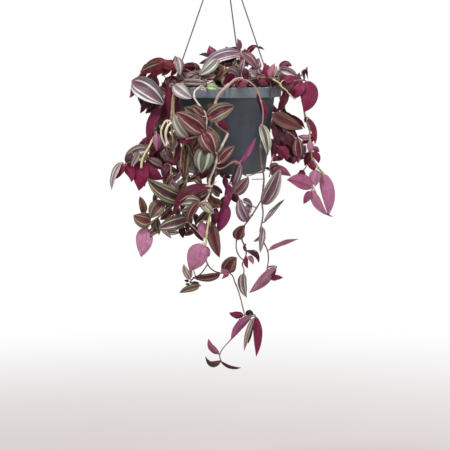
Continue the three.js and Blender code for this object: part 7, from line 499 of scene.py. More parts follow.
    ('h', (21.6, -15.1, -255.3), (34.8, -14.2, -240.5), (47.9, -13.4, -245.8), (0.1, -0.99, -0.098), 13.8, 16, 'S', 1, (22.5, -25.0, -256.6), 10, None),
    ('n', (-90.6, -55.6, -313.5), (-88.9, -62.2, -326.4), (-93.7, -56.9, -339.1), (0.914, -0.395, -0.092), 16.6, 18, 'D2', -1, (-97.9, -47.7, -312.1), 10.8, None),
    ('k', (3.0, -10.0, -261.1), (7.2, -21.5, -242.7), (11.3, -32.9, -244.2), (-0.805, -0.512, -0.299), 12.8, 16, 'P', 1, (13.6, -22.3, -263.3), 16.4, None),
    ('n', (-75.1, -28.3, -278.9), (-72.6, -34.7, -291.9), (-76.7, -29.1, -304.9), (0.992, -0.113, -0.058), 14.2, 18, 'W2', -1, (-87.9, -42.8, -272.5), 20.4, None),
    ('c', (-43.5, -40.4, -259.3), (-54.6, -39.3, -241.9), (-65.8, -38.2, -244.4), (0.274, 0.921, 0.276), 13.1, 16, 'P2', 1, (-35.9, -46.0, -258.4), 9.5, None),
    ('y', (-74.2, -31, -308.4), (-79.5, -38.3, -319.8), (-90, -33.6, -327.9), (-0.677, -0.416, 0.607), 15.5, 18, 'D2', 1, (-94.0, -22.2, -315.3), 22.8, None),
    ('q', (-20.0, -85.2, -385.1), (-31.8, -92.0, -389.1), (-40.4, -86.9, -399.0), (0.54, 0.206, -0.816), 14.1, 18, 'W2', -1, (-11.1, -105.8, -384.2), 22.4, None),
    ('l', (-24.3, -11.1, -255.3), (-33.1, -1.4, -244.8), (-42, 8.3, -254.4), (0.638, 0.606, -0.476), 12.9, 16, 'G', 1, (-18.9, -9.8, -250.3), 7.4, None),
    ('a', (-21.3, -24.8, -255.0), (-26.9, -37.0, -243.9), (-32.5, -49.2, -252.8), (-0.882, 0.421, 0.21), 12.4, 16, 'G', 1, (-27.8, -29.1, -256.5), 7.9, None),
    ('e', (12.7, -89.9, -414.2), (17.8, -97.5, -425.1), (27.7, -93, -433.3), (0.787, 0.186, 0.588), 13.4, 18, 'D2', -1, (12.7, -99.7, -412.9), 9.9, None),
    ('q', (-19.3, -86.6, -388.9), (-17.9, -93.3, -400.6), (-16.6, -88.1, -413.3), (-0.983, -0.156, -0.101), 13.3, 18, 'W2', 1, (-11.8, -106.2, -387.9), 21, None),
    ('o', (-65.8, -98.1, -386.4), (-73.6, -104.7, -396.1), (-85.5, -99.3, -401.9), (-0.599, 0.299, 0.743), 13, 18, 'D2', 1, (-62.2, -96.9, -386.3), 3.8, None),
    ('c', (-96.9, -92.2, -471.7), (-108.1, -101, -475.5), (-116.3, -97.8, -485.6), (-0.61, 0.311, 0.729), 13.4, 18, 'B', 1, (-106.7, -97.7, -461.4), 15.3, None),
    ('i', (143.0, -25.1, -333.9), (130.8, -33.4, -337.2), (122.6, -29.7, -346.4), (-0.432, -0.35, 0.832), 15, 18, 'W2', 1, (135.5, -34.8, -333.9), 12.3, None),
    ('c', (-94.5, -98.4, -428.1), (-83.1, -106.0, -431.6), (-72.2, -101.7, -436.3), (-0.368, -0.233, -0.9), 12.9, 18, 'O', 1, (-81.0, -99, -432.6), 14.3, None),
    ('q', (-24.7, -93.5, -444.9), (-30.9, -102.5, -455.4), (-41.7, -99.4, -463), (-0.682, -0.196, 0.705), 12.2, 18, 'O', 1, (-21.6, -112.3, -443.8), 19.1, None),
    ('j', (101.1, -26.1, -353.8), (110.2, -34.9, -361.3), (114.7, -31.7, -373.1), (-0.829, -0.139, -0.542), 12.9, 18, 'D2', 1, (118.2, -44, -349.7), 25.1, None),
    ('a', (-42.2, -35.8, -226.9), (-54.0, -42.8, -225.2), (-65.4, -37.8, -229.7), (0.093, 0.249, -0.964), 13.4, 18, 'D2', -1, (-48.9, -37.1, -237.1), 12.2, None),
    ('o', (-87.5, -88.4, -376.1), (-76.9, -95.7, -383.4), (-64.3, -91, -386.0), (-0.386, 0.061, -0.921), 11.5, 18, 'O', 1, (-62.7, -96.6, -374.9), 26.2, None),
    ('o', (-82.1, -102.1, -395.1), (-73.8, -111.0, -403.8), (-65.9, -108, -413.5), (-0.739, 0.061, -0.671), 11.6, 18, 'P3', 1, (-62.1, -97.0, -389.8), 21.1, None),
    ('y', (-74.2, -39.3, -363.6), (-81.5, -47.0, -372.6), (-92.8, -42.8, -377.4), (0.501, 0.387, -0.774), 14, 18, 'D2', -1, (-87.3, -38.7, -360.7), 12.9, None),
    ('m', (62.8, -52, -252.9), (68.8, -60.0, -242.6), (79.3, -56.1, -236.9), (-0.707, -0.107, 0.699), 12.6, 18, 'W2', -1, (66.2, -44.7, -241.1), 13.7, None),
    ('i', (72.2, -29.5, -256.5), (83.9, -38.5, -254.5), (95.9, -35.4, -252.7), (0.119, -0.161, -0.98), 12.2, 18, 'D2', 1, (69.4, -21.0, -247.6), 12.7, None),
    ('n', (-50.2, -11.8, -252.2), (-58.4, -4.7, -235.7), (-66.5, 2.5, -239.2), (0.708, 0.697, 0.116), 10.9, 16, 'B', 1, (-55.2, -3.4, -246.3), 11.4, None),
    ('n', (-88.8, -42.6, -389.7), (-86.4, -51.4, -401.1), (-90.6, -48.2, -412.9), (-0.922, 0.385, -0.023), 13.1, 18, 'O', 1, (-104.8, -51.9, -383.9), 19.1, None),
    ('x', (70.0, -9.6, -252.1), (80.5, -8.0, -236.5), (90.9, -6.4, -241.0), (0.173, -0.984, -0.045), 11.4, 16, 'G', 1, (69.8, -9.2, -251.6), 0.6, None),
    ('a', (-130.7, -31.9, -269.3), (-123.7, -38.0, -279.8), (-123.3, -32.2, -292.6), (-0.842, -0.472, -0.26), 12.4, 18, 'D2', 1, (-130.2, -56, -243.7), 34.3, None),
    ('a', (-64.6, -45.4, -233.0), (-58.9, -54.0, -243.9), (-48.8, -50.7, -251.0), (-0.699, 0.225, -0.679), 11.6, 18, 'P3', 1, (-63.5, -42.4, -228.1), 5.8, None),
    ('m', (34.7, -7.7, -256.6), (40.4, -17.9, -245.2), (46.0, -28.0, -253.8), (-0.835, -0.413, 0.364), 11.3, 16, 'W2', 1, (46.0, -3.7, -261.1), 12.8, None),
    ('l', (1.2, -17.9, -256.3), (-7.5, -26.6, -248.5), (-16.2, -23.3, -241.0), (0.673, -0.396, 0.625), 12.9, 18, 'O', 1, (-15.9, -7.5, -258.0), 20.2, None),
    ('x', (73.5, -7.8, -233.0), (82.5, -14.3, -240.8), (86.6, -8.8, -252.3), (0.823, 0.125, 0.555), 11.7, 18, 'W2', -1, (76.9, -10.3, -249.8), 17.3, None),
    ('c', (-71.6, -83.6, -436.4), (-71.4, -90.8, -447.7), (-65.5, -86, -458.4), (-0.951, -0.19, -0.245), 11.3, 18, 'W2', 1, (-81.2, -99, -433.2), 18.4, None),
    ('o', (-76.1, -104.2, -392.0), (-83.9, -111.8, -399.2), (-87.0, -107.4, -410.4), (-0.752, -0.407, 0.518), 12.8, 18, 'W2', 1, (-62.1, -97.0, -389.8), 15.8, None),
    ('l', (-14.9, -14.3, -254.3), (-24.5, -19.9, -241.3), (-34.0, -25.6, -248.3), (-0.37, 0.839, 0.399), 11, 16, 'P2', 1, (-17.1, -8.3, -253.4), 6.5, None),
    ('j', (81.1, -36.5, -340.3), (91.0, -43.0, -346.6), (96.7, -37.4, -357.7), (0.715, -0.245, 0.654), 11.2, 18, 'B2', -1, (82.1, -40.0, -339.8), 3.7, None),
    ('o', (-61.8, -87.8, -389.8), (-54.5, -95.5, -397.0), (-44.3, -91.1, -399.9), (0.422, -0.346, 0.838), 12.7, 18, 'O', -1, (-62.1, -97.0, -389.5), 9.2, None),
    ('k', (11.9, -34.4, -261.4), (15.7, -43.2, -244.5), (19.5, -52.0, -247.7), (-0.929, -0.366, 0.051), 10, 16, 'B', 1, (13.8, -22.9, -259.8), 11.8, None),
    ('q', (-22.5, -91.6, -414.1), (-30.1, -99.4, -421.2), (-40.8, -95.2, -423.9), (-0.486, 0.478, 0.732), 11.8, 18, 'P3', 1, (-16.8, -109.4, -413), 18.7, None),
    ('b', (-80.3, -45.2, -243.9), (-85.7, -53.0, -253.4), (-85.5, -48.9, -264.7), (0.95, 0.164, -0.266), 10.3, 18, 'D2', -1, (-78.3, -37, -249.9), 10.4, None),
    ('c', (-74.4, -88, -431.0), (-82.9, -95.7, -436.9), (-86.9, -91.4, -447.5), (-0.755, -0.227, 0.615), 10.6, 18, 'D2', 1, (-79.8, -99, -429.2), 12.4, None),
    ('y', (-89.9, -39.3, -347.9), (-87.6, -46.2, -357.7), (-80.2, -41.2, -365.2), (0.867, -0.08, 0.492), 11.2, 18, 'O', -1, (-89.2, -35.1, -349.1), 4.4, None),
    ('a', (-107.8, -44.9, -239.4), (-102.8, -50.9, -248.1), (-98.3, -44.9, -256.9), (-0.859, 0.215, -0.465), 11.3, 18, 'R', 1, (-115.5, -54.5, -228.3), 16.5, None),
    ('q', (5.4, -42.2, -256.4), (0.1, -50.8, -242.0), (-5.3, -59.5, -247.6), (-0.874, 0.389, -0.291), 9.4, 16, 'O', 1, (12.6, -47.4, -257.6), 9, None),
    ('f', (28.3, -57.8, -233.7), (28, -65.2, -222.6), (33.8, -60.6, -213.2), (0.963, 0.126, -0.24), 10, 18, 'K', 1, (34.2, -63.2, -248.6), 16.9, None),
    ('c', (-84.5, -98.7, -366.4), (-76.4, -106.0, -372.1), (-66.5, -101.2, -372.9), (0.312, -0.185, 0.932), 11.1, 18, 'W2', -1, (-75.9, -97.0, -367.9), 8.9, None),
    ('q', (-43.0, -92.4, -413.3), (-39.2, -100.8, -421.4), (-35.6, -97.1, -430.6), (-0.88, 0.204, -0.429), 10.9, 18, 'D2', 1, (-17.4, -109.8, -416.1), 31.1, None),
    ('n', (-113.0, -45.5, -335.0), (-121.6, -53.0, -340.4), (-130.8, -48.4, -346.3), (0.53, -0.437, -0.726), 10.8, 18, 'W2', -1, (-102.7, -47.9, -336.2), 10.6, None),
    ('o', (-74.7, -90.4, -342.0), (-71.0, -96.8, -332.0), (-73.7, -91.2, -322.4), (-0.958, -0.284, 0.037), 10.6, 18, 'O', -1, (-62.6, -92.4, -337.5), 13, None),
    ('m', (17.4, 6.1, -205.2), (26.9, -2.8, -205.3), (36.5, 0.4, -205.5), (-0.056, -0.137, -0.989), 11.2, 18, 'P3', 1, (38.6, 15.5, -208.2), 23, None),
    ('n', (-65.8, -11.1, -253.2), (-66.7, -20.1, -242.4), (-67.8, -17, -232.0), (0.947, 0.276, 0.165), 10.1, 18, 'P3', 1, (-64.5, -12.1, -244.0), 9.3, None),
    ('n', (-116.7, -55.1, -358.5), (-121.3, -61.9, -366.1), (-126.6, -56.7, -374.4), (-0.835, -0.145, 0.531), 10.8, 18, 'O', 1, (-103.6, -49.8, -359.4), 14.1, None),
    ('q', (-44.1, -88.3, -475.9), (-53.1, -95.8, -478.6), (-62.4, -91.4, -482.6), (-0.37, 0.229, 0.9), 10, 18, 'W2', 1, (-25.0, -114.1, -476.8), 32, None),
    ('m', (52.6, -34, -227.6), (44.8, -42.7, -234.1), (34.6, -39.4, -235.2), (-0.458, 0.424, 0.781), 11.4, 18, 'K', 1, (60.4, -28, -238.1), 14.4, None),
    ('q', (-4.7, -91.5, -387.4), (4.8, -97.7, -388.5), (11.5, -91.8, -395.9), (-0.43, 0.362, -0.827), 11.5, 18, 'D2', 1, (-11.1, -105.8, -384.3), 15.9, None),
    ('g', (97.2, -10.6, -366.4), (105.2, -18.6, -372.0), (113.7, -14.5, -378.4), (-0.537, 0.225, -0.813), 10.1, 18, 'D2', 1, (99.6, 16.5, -360.6), 27.7, None),
    ('e', (-18.1, -81.8, -450.2), (-25.6, -90.4, -456.1), (-33.3, -87, -463.2), (0.634, 0.068, -0.77), 9.4, 18, 'D2', -1, (-6.3, -105.7, -438.3), 28.7, None),
    ('n', (-90.6, -47.2, -327.4), (-84.5, -54.2, -334.1), (-78.8, -49.2, -341.5), (-0.709, -0.473, -0.524), 11.5, 18, 'W2', 1, (-100.5, -47.8, -325.4), 10.1, None),
    ('y', (-102.5, -21.3, -308.4), (-94.4, -27.5, -315), (-84.1, -21.7, -316.5), (-0.399, -0.193, -0.897), 9.8, 18, 'P3', 1, (-94.6, -18.7, -309.1), 8.4, None),
    ('j', (103.2, -21.7, -342.7), (103.0, -30.4, -351.9), (97.2, -27.2, -359.9), (0.877, -0.452, -0.165), 11.6, 18, 'W2', -1, (111.5, -44.1, -337.1), 24.5, None),
    ('o', (-36.6, -93.4, -393.3), (-46.5, -100.5, -394.3), (-54.0, -95.7, -401.7), (-0.405, -0.198, 0.893), 9.8, 18, 'O', 1, (-53.2, -96.5, -390.8), 17, None),
    ('y', (-116.5, -50.4, -345.8), (-113.0, -59.1, -354.3), (-105.2, -55.8, -359.6), (-0.793, -0.316, -0.521), 10.8, 18, 'W2', 1, (-89.6, -34.2, -346.3), 31.4, None),
    ('b', (-108.3, -31, -248.0), (-105.9, -40.0, -237.6), (-98.7, -36.9, -230.3), (0.889, 0.162, -0.429), 9.4, 18, 'D2', 1, (-89.4, -38.7, -258.4), 22.9, None),
    ('o', (-43.4, -91.2, -449.7), (-39.3, -97.9, -458.1), (-41.5, -92.6, -468.3), (-0.956, -0.284, -0.072), 9.8, 18, 'D2', 1, (-57.7, -97, -422.9), 29.8, None),
    ('c', (-81.2, -92.5, -349.6), (-81.4, -100.8, -358.3), (-76.2, -97.2, -366.1), (-0.947, 0.087, -0.31), 10.2, 18, 'D2', 1, (-86.9, -95.2, -344.4), 6.9, None),
    ('q', (-24.0, -95.1, -418.9), (-27.9, -101.2, -426.6), (-36.2, -95.3, -431.1), (-0.628, 0.47, 0.62), 10.9, 18, 'O', 1, (-17.8, -110.0, -418.2), 16.2, None),
    ('b', (-96.6, -40.9, -259.8), (-89.1, -49.1, -265), (-82.0, -45.4, -270.5), (-0.469, 0.372, -0.801), 10.6, 18, 'R', 1, (-92.1, -39.4, -262.8), 5.6, None),
    ('k', (-1.4, -33.4, -236.4), (8, -39.8, -237.9), (14.4, -34.2, -245), (-0.421, 0.41, -0.809), 10.6, 18, 'K', 1, (4.0, -36.0, -228.6), 9.8, None),
    ('b', (-87.0, -41.4, -249.0), (-79.1, -48.1, -243.6), (-69.9, -42.8, -244.4), (-0.274, -0.249, 0.929), 10.1, 18, 'D2', -1, (-84.3, -37.7, -252.9), 6, None),
    ('b', (-62, -33.5, -256.8), (-67.7, -41.7, -249.8), (-73.6, -37.9, -243.1), (-0.724, -0.168, -0.669), 9.6, 18, 'R', -1, (-62.6, -32.4, -246.2), 10.6, None),
    ('m', (50.0, -21.4, -256.4), (41.3, -28.6, -250.4), (37.8, -23.9, -240.8), (0.68, 0.42, 0.601), 9.6, 18, 'K', 1, (50.3, -6.9, -248.1), 16.7, None),
    ('b', (-102.8, -29.5, -236.0), (-111.1, -35.7, -240.7), (-119.9, -29.9, -245.5), (-0.481, -0.145, 0.865), 8.8, 18, 'D2', 1, (-85.5, -37.9, -253.9), 26.4, None),
    ('j', (95.6, -24.7, -364.7), (87.6, -30.8, -368.1), (80.0, -24.9, -372.2), (-0.401, -0.357, 0.844), 10.7, 18, 'B2', 1, (80.8, -42.5, -353.1), 25.9, None),
    ('j', (81.4, -33.9, -303.5), (80.7, -40.9, -312.7), (74.5, -35.9, -320.2), (-0.895, 0.298, 0.332), 8.6, 18, 'W2', 1, (87.7, -35.6, -304.5), 6.6, None),
    ('c', (-101.7, -92.3, -418.0), (-103.2, -98.7, -426.2), (-105.1, -93.1, -435.4), (-0.967, -0.162, 0.196), 8.2, 18, 'W2', 1, (-78.7, -98.9, -417.8), 23.9, None),
    ('q', (-18.0, -97, -384.4), (-19.3, -104.2, -392.8), (-14.7, -99.5, -400.9), (-0.891, -0.439, -0.114), 9.2, 18, 'D2', 1, (-11.2, -105.8, -384.6), 11.2, None),
    ('o', (-62.4, -93.2, -337.2), (-65.5, -99.9, -328.2), (-73.6, -94.6, -323.8), (0.745, 0.192, 0.639), 7.9, 18, 'P3', 1, (-61.5, -94.2, -336.8), 0.3, None),
    ('j', (94.0, -17.8, -290.4), (94.0, -25.6, -299.4), (100.2, -21.4, -306.5), (-0.883, -0.397, -0.25), 8.9, 18, 'B2', 1, (92.4, -29.3, -286.1), 12.4, None),
    ('h', (55.8, -52.2, -256.0), (49.7, -58.5, -249.0), (49.6, -52.7, -240.1), (-0.846, 0.431, -0.315), 8.6, 18, 'D2', -1, (42.6, -59.1, -247.0), 17.4, None),
    ('a', (-83.6, -47.0, -223.6), (-100.6, -53.5, -229.2), (-112.7, -52.0, -242.7), (0.517, 0.182, -0.836), 15.5, 16, 'WR', -1, (-82.8, -46.4, -220.3), 3.4, None),
    ('a', (-79.8, -46.0, -225.9), (-87.0, -49.0, -233.1), (-94.4, -48.0, -240.4), (0.707, -0.159, -0.689), 10.6, 16, 'WR', -1, (-78.1, -45.7, -221.9), 4.3, None),
    ('b', (-85.4, -42.0, -259.0), (-86.8, -45.0, -250.7), (-88.2, -44.0, -242.5), (-0.979, 0.136, -0.15), 11.5, 16, 'D', -1, (-88.0, -38.3, -256.1), 5.3, None),
    ('a', (-71.3, -46.0, -231.3), (-75.9, -49.0, -235.8), (-80.6, -48.0, -240.4), (0.674, 0.182, -0.716), 8.2, 16, 'WR', -1, (-69.1, -44.4, -226.0), 5.9, None),
    ('b', (-83.9, -42.0, -256.7), (-85.1, -45.0, -248.9), (-86.4, -44.0, -241.3), (-0.98, 0.137, -0.141), 10.6, 16, 'R2', -1, (-88.0, -38.3, -256.1), 5.5, None),
    ('n', (-87.0, -42.0, -263.6), (-90.1, -44.5, -257.1), (-93.3, -43.0, -250.7), (-0.873, -0.214, -0.438), 9, 16, 'D2', -1, (-85.8, -41.4, -265.0), 1.9, None),
    ('b', (-73.8, -42.0, -254.4), (-76.8, -45.0, -248.5), (-79.9, -44.0, -242.7), (0.854, 0.207, 0.478), 9, 16, 'P3', 1, (-75.6, -36.7, -248.6), 8.1, None),
    ('n', (-87.6, -44.0, -246.7), (-85.3, -46.0, -252.8), (-83.1, -44.0, -259.0), (-0.928, 0.135, -0.346), 7.4, 16, 'S3', 1, (-82.6, -36.7, -257.0), 13.7, None),
    ('m', (93.9, 4.2, -235.4), (95.9, 13.6, -231.3), (97.9, 23.1, -240.0), (-0.125, -0.108, -0.986), 9.9, 16, 'W', -1, (93.4, 1.8, -235.0), 2.5, None),
    ('m', (48.4, 2.4, -231.7), (47.3, 8.4, -220.4), (46.3, 14.4, -221.8), (0.225, 0.704, -0.673), 8.8, 16, 'P2', 1, (48.7, 0.6, -233.5), 2.5, None),
    ('b', (-144.1, -85.9, -371.7), (-146.7, -77.3, -370.3), (-149.3, -68.6, -381.7), (0.552, -0.207, -0.807), 10.5, 16, 'W2', -1, (-143.4, -88.1, -370.7), 2.5, None),
    ('n', (-39.9, 8.0, -254.9), (-38.1, 13.1, -244.0), (-36.3, 18.3, -245.9), (-0.048, 0.737, -0.675), 7.8, 16, 'D2', -1, (-40.5, 6.3, -256.7), 2.5, None),
    ('k', (10.6, -29.1, -235.9), (4.9, -20.7, -234.1), (-0.9, -12.3, -245.2), (0.677, 0.147, -0.721), 10.1, 16, 'R', 1, (11.9, -31.0, -235.0), 2.5, None),
    ('a', (-32.7, -30.3, -246.5), (-30.3, -25.9, -232.5), (-27.9, -21.6, -231.2), (-0.103, 0.898, -0.428), 9.2, 16, 'WR', -1, (-33.3, -31.4, -248.6), 2.5, None),
    ('y', (-57.6, 19.3, -250.8), (-59.6, 12.7, -241.0), (-61.7, 6.1, -244.1), (-0.08, 0.563, 0.822), 8.2, 16, 'P2', 1, (-57.0, 21.3, -252.1), 2.5, None),
    ('l', (-14.1, 0.0, -221.4), (-9.3, 7.4, -217.0), (-4.5, 14.7, -225.3), (-0.359, 0.112, -0.926), 9.2, 16, 'W2', -1, (-15.4, -2.1, -221.2), 2.5, None),
    ('j', (85.0, -33.1, -316.8), (86.3, -25.3, -316.8), (87.7, -17.4, -329.7), (-0.719, -0.307, -0.623), 9.5, 16, 'W2', -1, (84.6, -35.2, -315.4), 2.5, None),
    ('o', (-64.1, -90.6, -334.1), (-65.4, -83.6, -332.1), (-66.8, -76.7, -343.0), (0.571, -0.271, -0.775), 7.4, 16, 'W2', -1, (-63.6, -92.8, -333.0), 2.5, None),
    ('j', (99.6, -42.0, -328.8), (95.1, -36.7, -329.1), (90.7, -31.4, -342.1), (0.615, 0.757, 0.22), 8.8, 16, 'W', -1, (100.8, -43.4, -327.2), 2.5, None),
    ('e', (-12.9, -103.5, -292.2), (-13.4, -96.3, -290.9), (-13.9, -89.1, -302.4), (-0.121, -0.5, -0.858), 8.2, 16, 'M3', -1, (-12.8, -105.7, -290.9), 2.5, None),
    ('l', (-20.7, -8.5, -248.8), (-24.6, 1.8, -245.4), (-28.6, 12.0, -254.7), (-0.034, -0.199, -0.979), 11.6, 16, 'P', 1, (-19.8, -10.8, -248.4), 2.5, None),
    ('m', (47.8, 6.4, -230.0), (48.9, 15.4, -223.3), (49.9, 24.4, -229.4), (-0.06, 0.146, -0.988), 9.5, 16, 'P2', 1, (47.6, 3.9, -230.3), 2.5, None),
    ('e', (19.2, -95.5, -397.0), (17.2, -90.2, -397.2), (15.2, -84.9, -410.1), (0.854, 0.494, 0.165), 7.7, 16, 'M3', -1, (19.8, -97.2, -395.2), 2.5, None),
    ('f', (59.8, -102.5, -315.8), (60.4, -96.1, -318.9), (60.9, -89.8, -334.9), (-0.413, 0.743, 0.527), 10.5, 16, 'S', 1, (59.7, -104.0, -313.8), 2.5, None),
    ('k', (20.1, -28.7, -233.8), (20.6, -37.4, -229.2), (21.1, -46.2, -237.3), (-0.237, -0.098, 0.967), 9.1, 16, 'W2', -1, (20.0, -26.2, -233.6), 2.5, None),
    ('e', (-10.5, -105.0, -283.8), (-8.1, -108.1, -286.8), (-5.8, -111.2, -302.6), (0.396, 0.893, -0.214), 9.8, 16, 'M3', -1, (-11.1, -104.2, -281.5), 2.5, None),
    ('b', (-46.2, -20.4, -249.2), (-48.7, -11.7, -239.2), (-51.2, -3.0, -242.1), (0.229, 0.501, -0.835), 9.5, 16, 'D2', -1, (-45.5, -22.5, -250.3), 2.5, None),
    ('f', (27.9, -94.0, -474.4), (27.1, -90.5, -476.7), (26.4, -86.9, -491.9), (0.137, 0.906, 0.399), 8, 16, 'W2', -1, (28.1, -95.0, -472.1), 2.5, None),
    ('k', (-6.7, -37.9, -221.8), (-8.2, -27.3, -212.9), (-9.7, -16.7, -216.9), (-0.244, 0.269, -0.932), 12.2, 16, 'R', 1, (-6.4, -40.2, -222.5), 2.5, None),
    ('c', (-69.9, -102.0, -438.7), (-70.7, -96.5, -442.0), (-71.5, -91.1, -458.1), (-0.261, 0.807, 0.529), 11.4, 16, 'B', 1, (-69.7, -103.3, -436.6), 2.5, None),
    ('j', (88.0, -35.0, -306.7), (90.0, -31.4, -307.7), (92.0, -27.9, -321.5), (-0.689, 0.703, 0.174), 6.9, 16, 'W', -1, (87.3, -36.1, -304.6), 2.5, None),
    ('x', (66.9, -7.4, -250.4), (67.0, -1.6, -235.7), (67.0, 4.2, -233.8), (0.338, 0.797, -0.501), 12, 16, 'B', 1, (66.9, -8.7, -252.5), 2.5, None),
    ('x', (75.5, -11.7, -247.7), (72.5, -17.2, -235.0), (69.5, -22.8, -235.1), (-0.077, 0.808, 0.584), 8.7, 16, 'B', 1, (76.2, -10.2, -249.6), 2.5, None),
    ('l', (-17.9, -2.5, -229.2), (-18.3, 7.4, -222.4), (-18.7, 17.3, -228.5), (-0.202, 0.125, -0.971), 10.9, 16, 'P', 1, (-17.8, -5.0, -229.5), 2.5, None),
    ('j', (75.4, -1.4, -250.8), (73.3, 5.4, -241.0), (71.2, 12.2, -244.0), (0.217, 0.58, -0.785), 9, 16, 'B2', 1, (76.1, -3.4, -252.1), 2.5, None),
    ('m', (52.9, -8.9, -238.5), (53.1, -1.6, -227.4), (53.2, 5.8, -229.2), (-0.205, 0.597, -0.775), 8.7, 16, 'P2', 1, (52.9, -10.9, -240.0), 2.5, None),
    ('g', (61.5, 7.6, -254.0), (60.4, -0.3, -247.4), (59.3, -8.2, -253.6), (-0.204, 0.173, 0.964), 8.1, 16, 'B', 1, (61.9, 10.0, -254.3), 2.5, None),
    ('b', (-139.6, -85.1, -370.8), (-140.5, -79.6, -371.8), (-141.3, -74.1, -385.6), (0.82, 0.485, 0.302), 8.1, 16, 'W2', -1, (-139.3, -86.7, -368.9), 2.5, None),
    ('k', (18.0, -24.6, -236.1), (17.1, -19.8, -224.9), (16.2, -15.1, -226.6), (0.132, 0.773, -0.621), 7.1, 16, 'W2', -1, (18.3, -26.2, -238.0), 2.5, None),
    ('g', (93.7, 13.4, -253.9), (96.9, 3.9, -243.7), (100.1, -5.5, -246.3), (0.354, 0.515, 0.781), 11.6, 16, 'P2', 1, (92.9, 15.5, -255.0), 2.5, None),
    ('n', (-104.2, -48.8, -367.8), (-107.9, -43.8, -371.5), (-111.7, -38.8, -388.0), (0.532, 0.816, 0.226), 12.1, 16, 'W2', -1, (-103.3, -49.9, -365.7), 2.5, None),
    ('j', (75.2, -55.0, -388.5), (78.4, -50.3, -388.9), (81.6, -45.5, -402.0), (-0.837, 0.547, -0.017), 8.1, 16, 'W', -1, (74.2, -56.5, -386.7), 2.5, None),
    ('e', (25.0, -93.1, -378.7), (24.3, -87.7, -379.9), (23.6, -82.2, -393.9), (-0.187, 0.748, 0.636), 8.2, 16, 'OG', 1, (25.2, -94.7, -376.8), 2.5, None),
    ('m', (42.5, 13.8, -219.5), (38.3, 22.4, -215.2), (34.1, 31.0, -223.7), (-0.013, -0.132, -0.991), 9.7, 16, 'W', -1, (43.6, 11.6, -219.2), 2.5, None),
    ('l', (-18.8, -5.9, -231.2), (-17.5, -1.6, -215.5), (-16.2, 2.6, -212.6), (0.089, 0.915, -0.393), 12.3, 16, 'W2', -1, (-19.1, -6.9, -233.5), 2.5, None),
    ('y', (-94.5, -24.3, -322.4), (-98.0, -18.0, -324.7), (-101.4, -11.7, -339.8), (0.871, 0.492, 0.015), 10.7, 16, 'P2', 1, (-93.7, -25.8, -320.6), 2.5, None),
    ('k', (13.1, -21.6, -254.4), (9.4, -13.6, -242.4), (5.7, -5.5, -243.2), (0.368, 0.686, -0.627), 10, 16, 'R', 1, (14.0, -23.4, -255.9), 2.5, None),
    ('a', (-48.8, -34.9, -235.1), (-51.5, -26.8, -224.0), (-54.2, -18.6, -225.7), (0.059, 0.588, -0.807), 9.6, 16, 'WR', -1, (-48.1, -36.9, -236.5), 2.5, None),
    ('m', (40.3, 17.1, -210.1), (40.6, 24.9, -201.5), (40.9, 32.7, -205.8), (0.354, 0.339, -0.872), 8.1, 16, 'W2', -1, (40.2, 14.8, -211.0), 2.5, None),
    ('d', (-32.7, -112.7, -327.2), (-31.6, -103.6, -327.5), (-30.4, -94.6, -340.5), (-0.754, -0.275, -0.597), 10.7, 16, 'W2', -1, (-33.0, -114.8, -325.9), 2.5, None),
    ('i', (135.6, -33.5, -375.7), (138.0, -29.0, -376.1), (140.5, -24.5, -389.4), (-0.583, 0.745, 0.325), 7, 16, 'W2', -1, (134.8, -34.9, -373.8), 2.5, None),
    ('d', (-45.6, -110.1, -333.2), (-43.4, -101.4, -333.7), (-41.3, -92.7, -347.1), (-0.812, -0.182, -0.555), 11.7, 16, 'W2', -1, (-46.1, -112.1, -331.8), 2.5, None),
    ('m', (115.1, -1.4, -244.0), (113.2, 8.3, -237.1), (111.2, 18.0, -243.1), (0.097, 0.166, -0.981), 9.7, 16, 'W2', -1, (115.6, -3.8, -244.3), 2.5, None),
    ('l', (-19.3, -8.8, -231.8), (-20.0, -14.8, -221.2), (-20.6, -20.8, -223.4), (0.104, 0.646, 0.757), 8.3, 16, 'W2', -1, (-19.1, -6.9, -233.5), 2.5, None),
    ('l', (-24.9, -13.8, -240.5), (-25.0, -8.3, -229.0), (-25.1, -2.9, -230.2), (0.351, 0.701, -0.62), 9, 16, 'S', 1, (-24.9, -15.5, -242.4), 2.5, None),
    ('b', (-134.3, -83.1, -369.0), (-131.3, -75.6, -368.2), (-128.4, -68.2, -380.2), (-0.691, -0.164, -0.705), 9.8, 16, 'D2', -1, (-135.1, -85.1, -367.7), 2.5, None),
    ('o', (-59.0, -90.8, -349.0), (-56.2, -83.9, -349.6), (-53.5, -77.1, -363.1), (-0.958, 0.204, -0.203), 9.2, 16, 'D2', -1, (-59.7, -92.5, -347.4), 2.5, None),
    ('i', (116.4, -21.5, -259.9), (115.6, -13.8, -252.3), (114.8, -6.0, -257.6), (0.371, 0.283, -0.884), 9, 16, 'W', -1, (116.7, -23.9, -260.5), 2.5, None),
    ('k', (15.2, -26.7, -244.9), (13.5, -32.5, -231.9), (11.8, -38.2, -231.7), (-0.219, 0.801, 0.558), 9.8, 16, 'P2', 1, (15.7, -25.2, -246.9), 2.5, None),
    ('k', (1.1, -35.3, -225.0), (-1.1, -28.5, -211.3), (-3.2, -21.6, -210.4), (0.089, 0.779, -0.62), 10.8, 16, 'W2', -1, (1.6, -36.9, -226.9), 2.5, None),
    ('p', (-64.3, 38.9, -248.1), (-66.1, 45.1, -238.5), (-67.8, 51.2, -241.8), (-0.122, 0.534, -0.837), 8.1, 16, 'W2', -1, (-63.8, 36.9, -249.4), 2.5, None),
    ('d', (-32.4, -115.8, -328.1), (-30.4, -118.8, -329.9), (-28.4, -121.9, -344.4), (0.493, 0.841, -0.226), 9, 16, 'B', 1, (-33.0, -114.8, -325.9), 2.5, None),
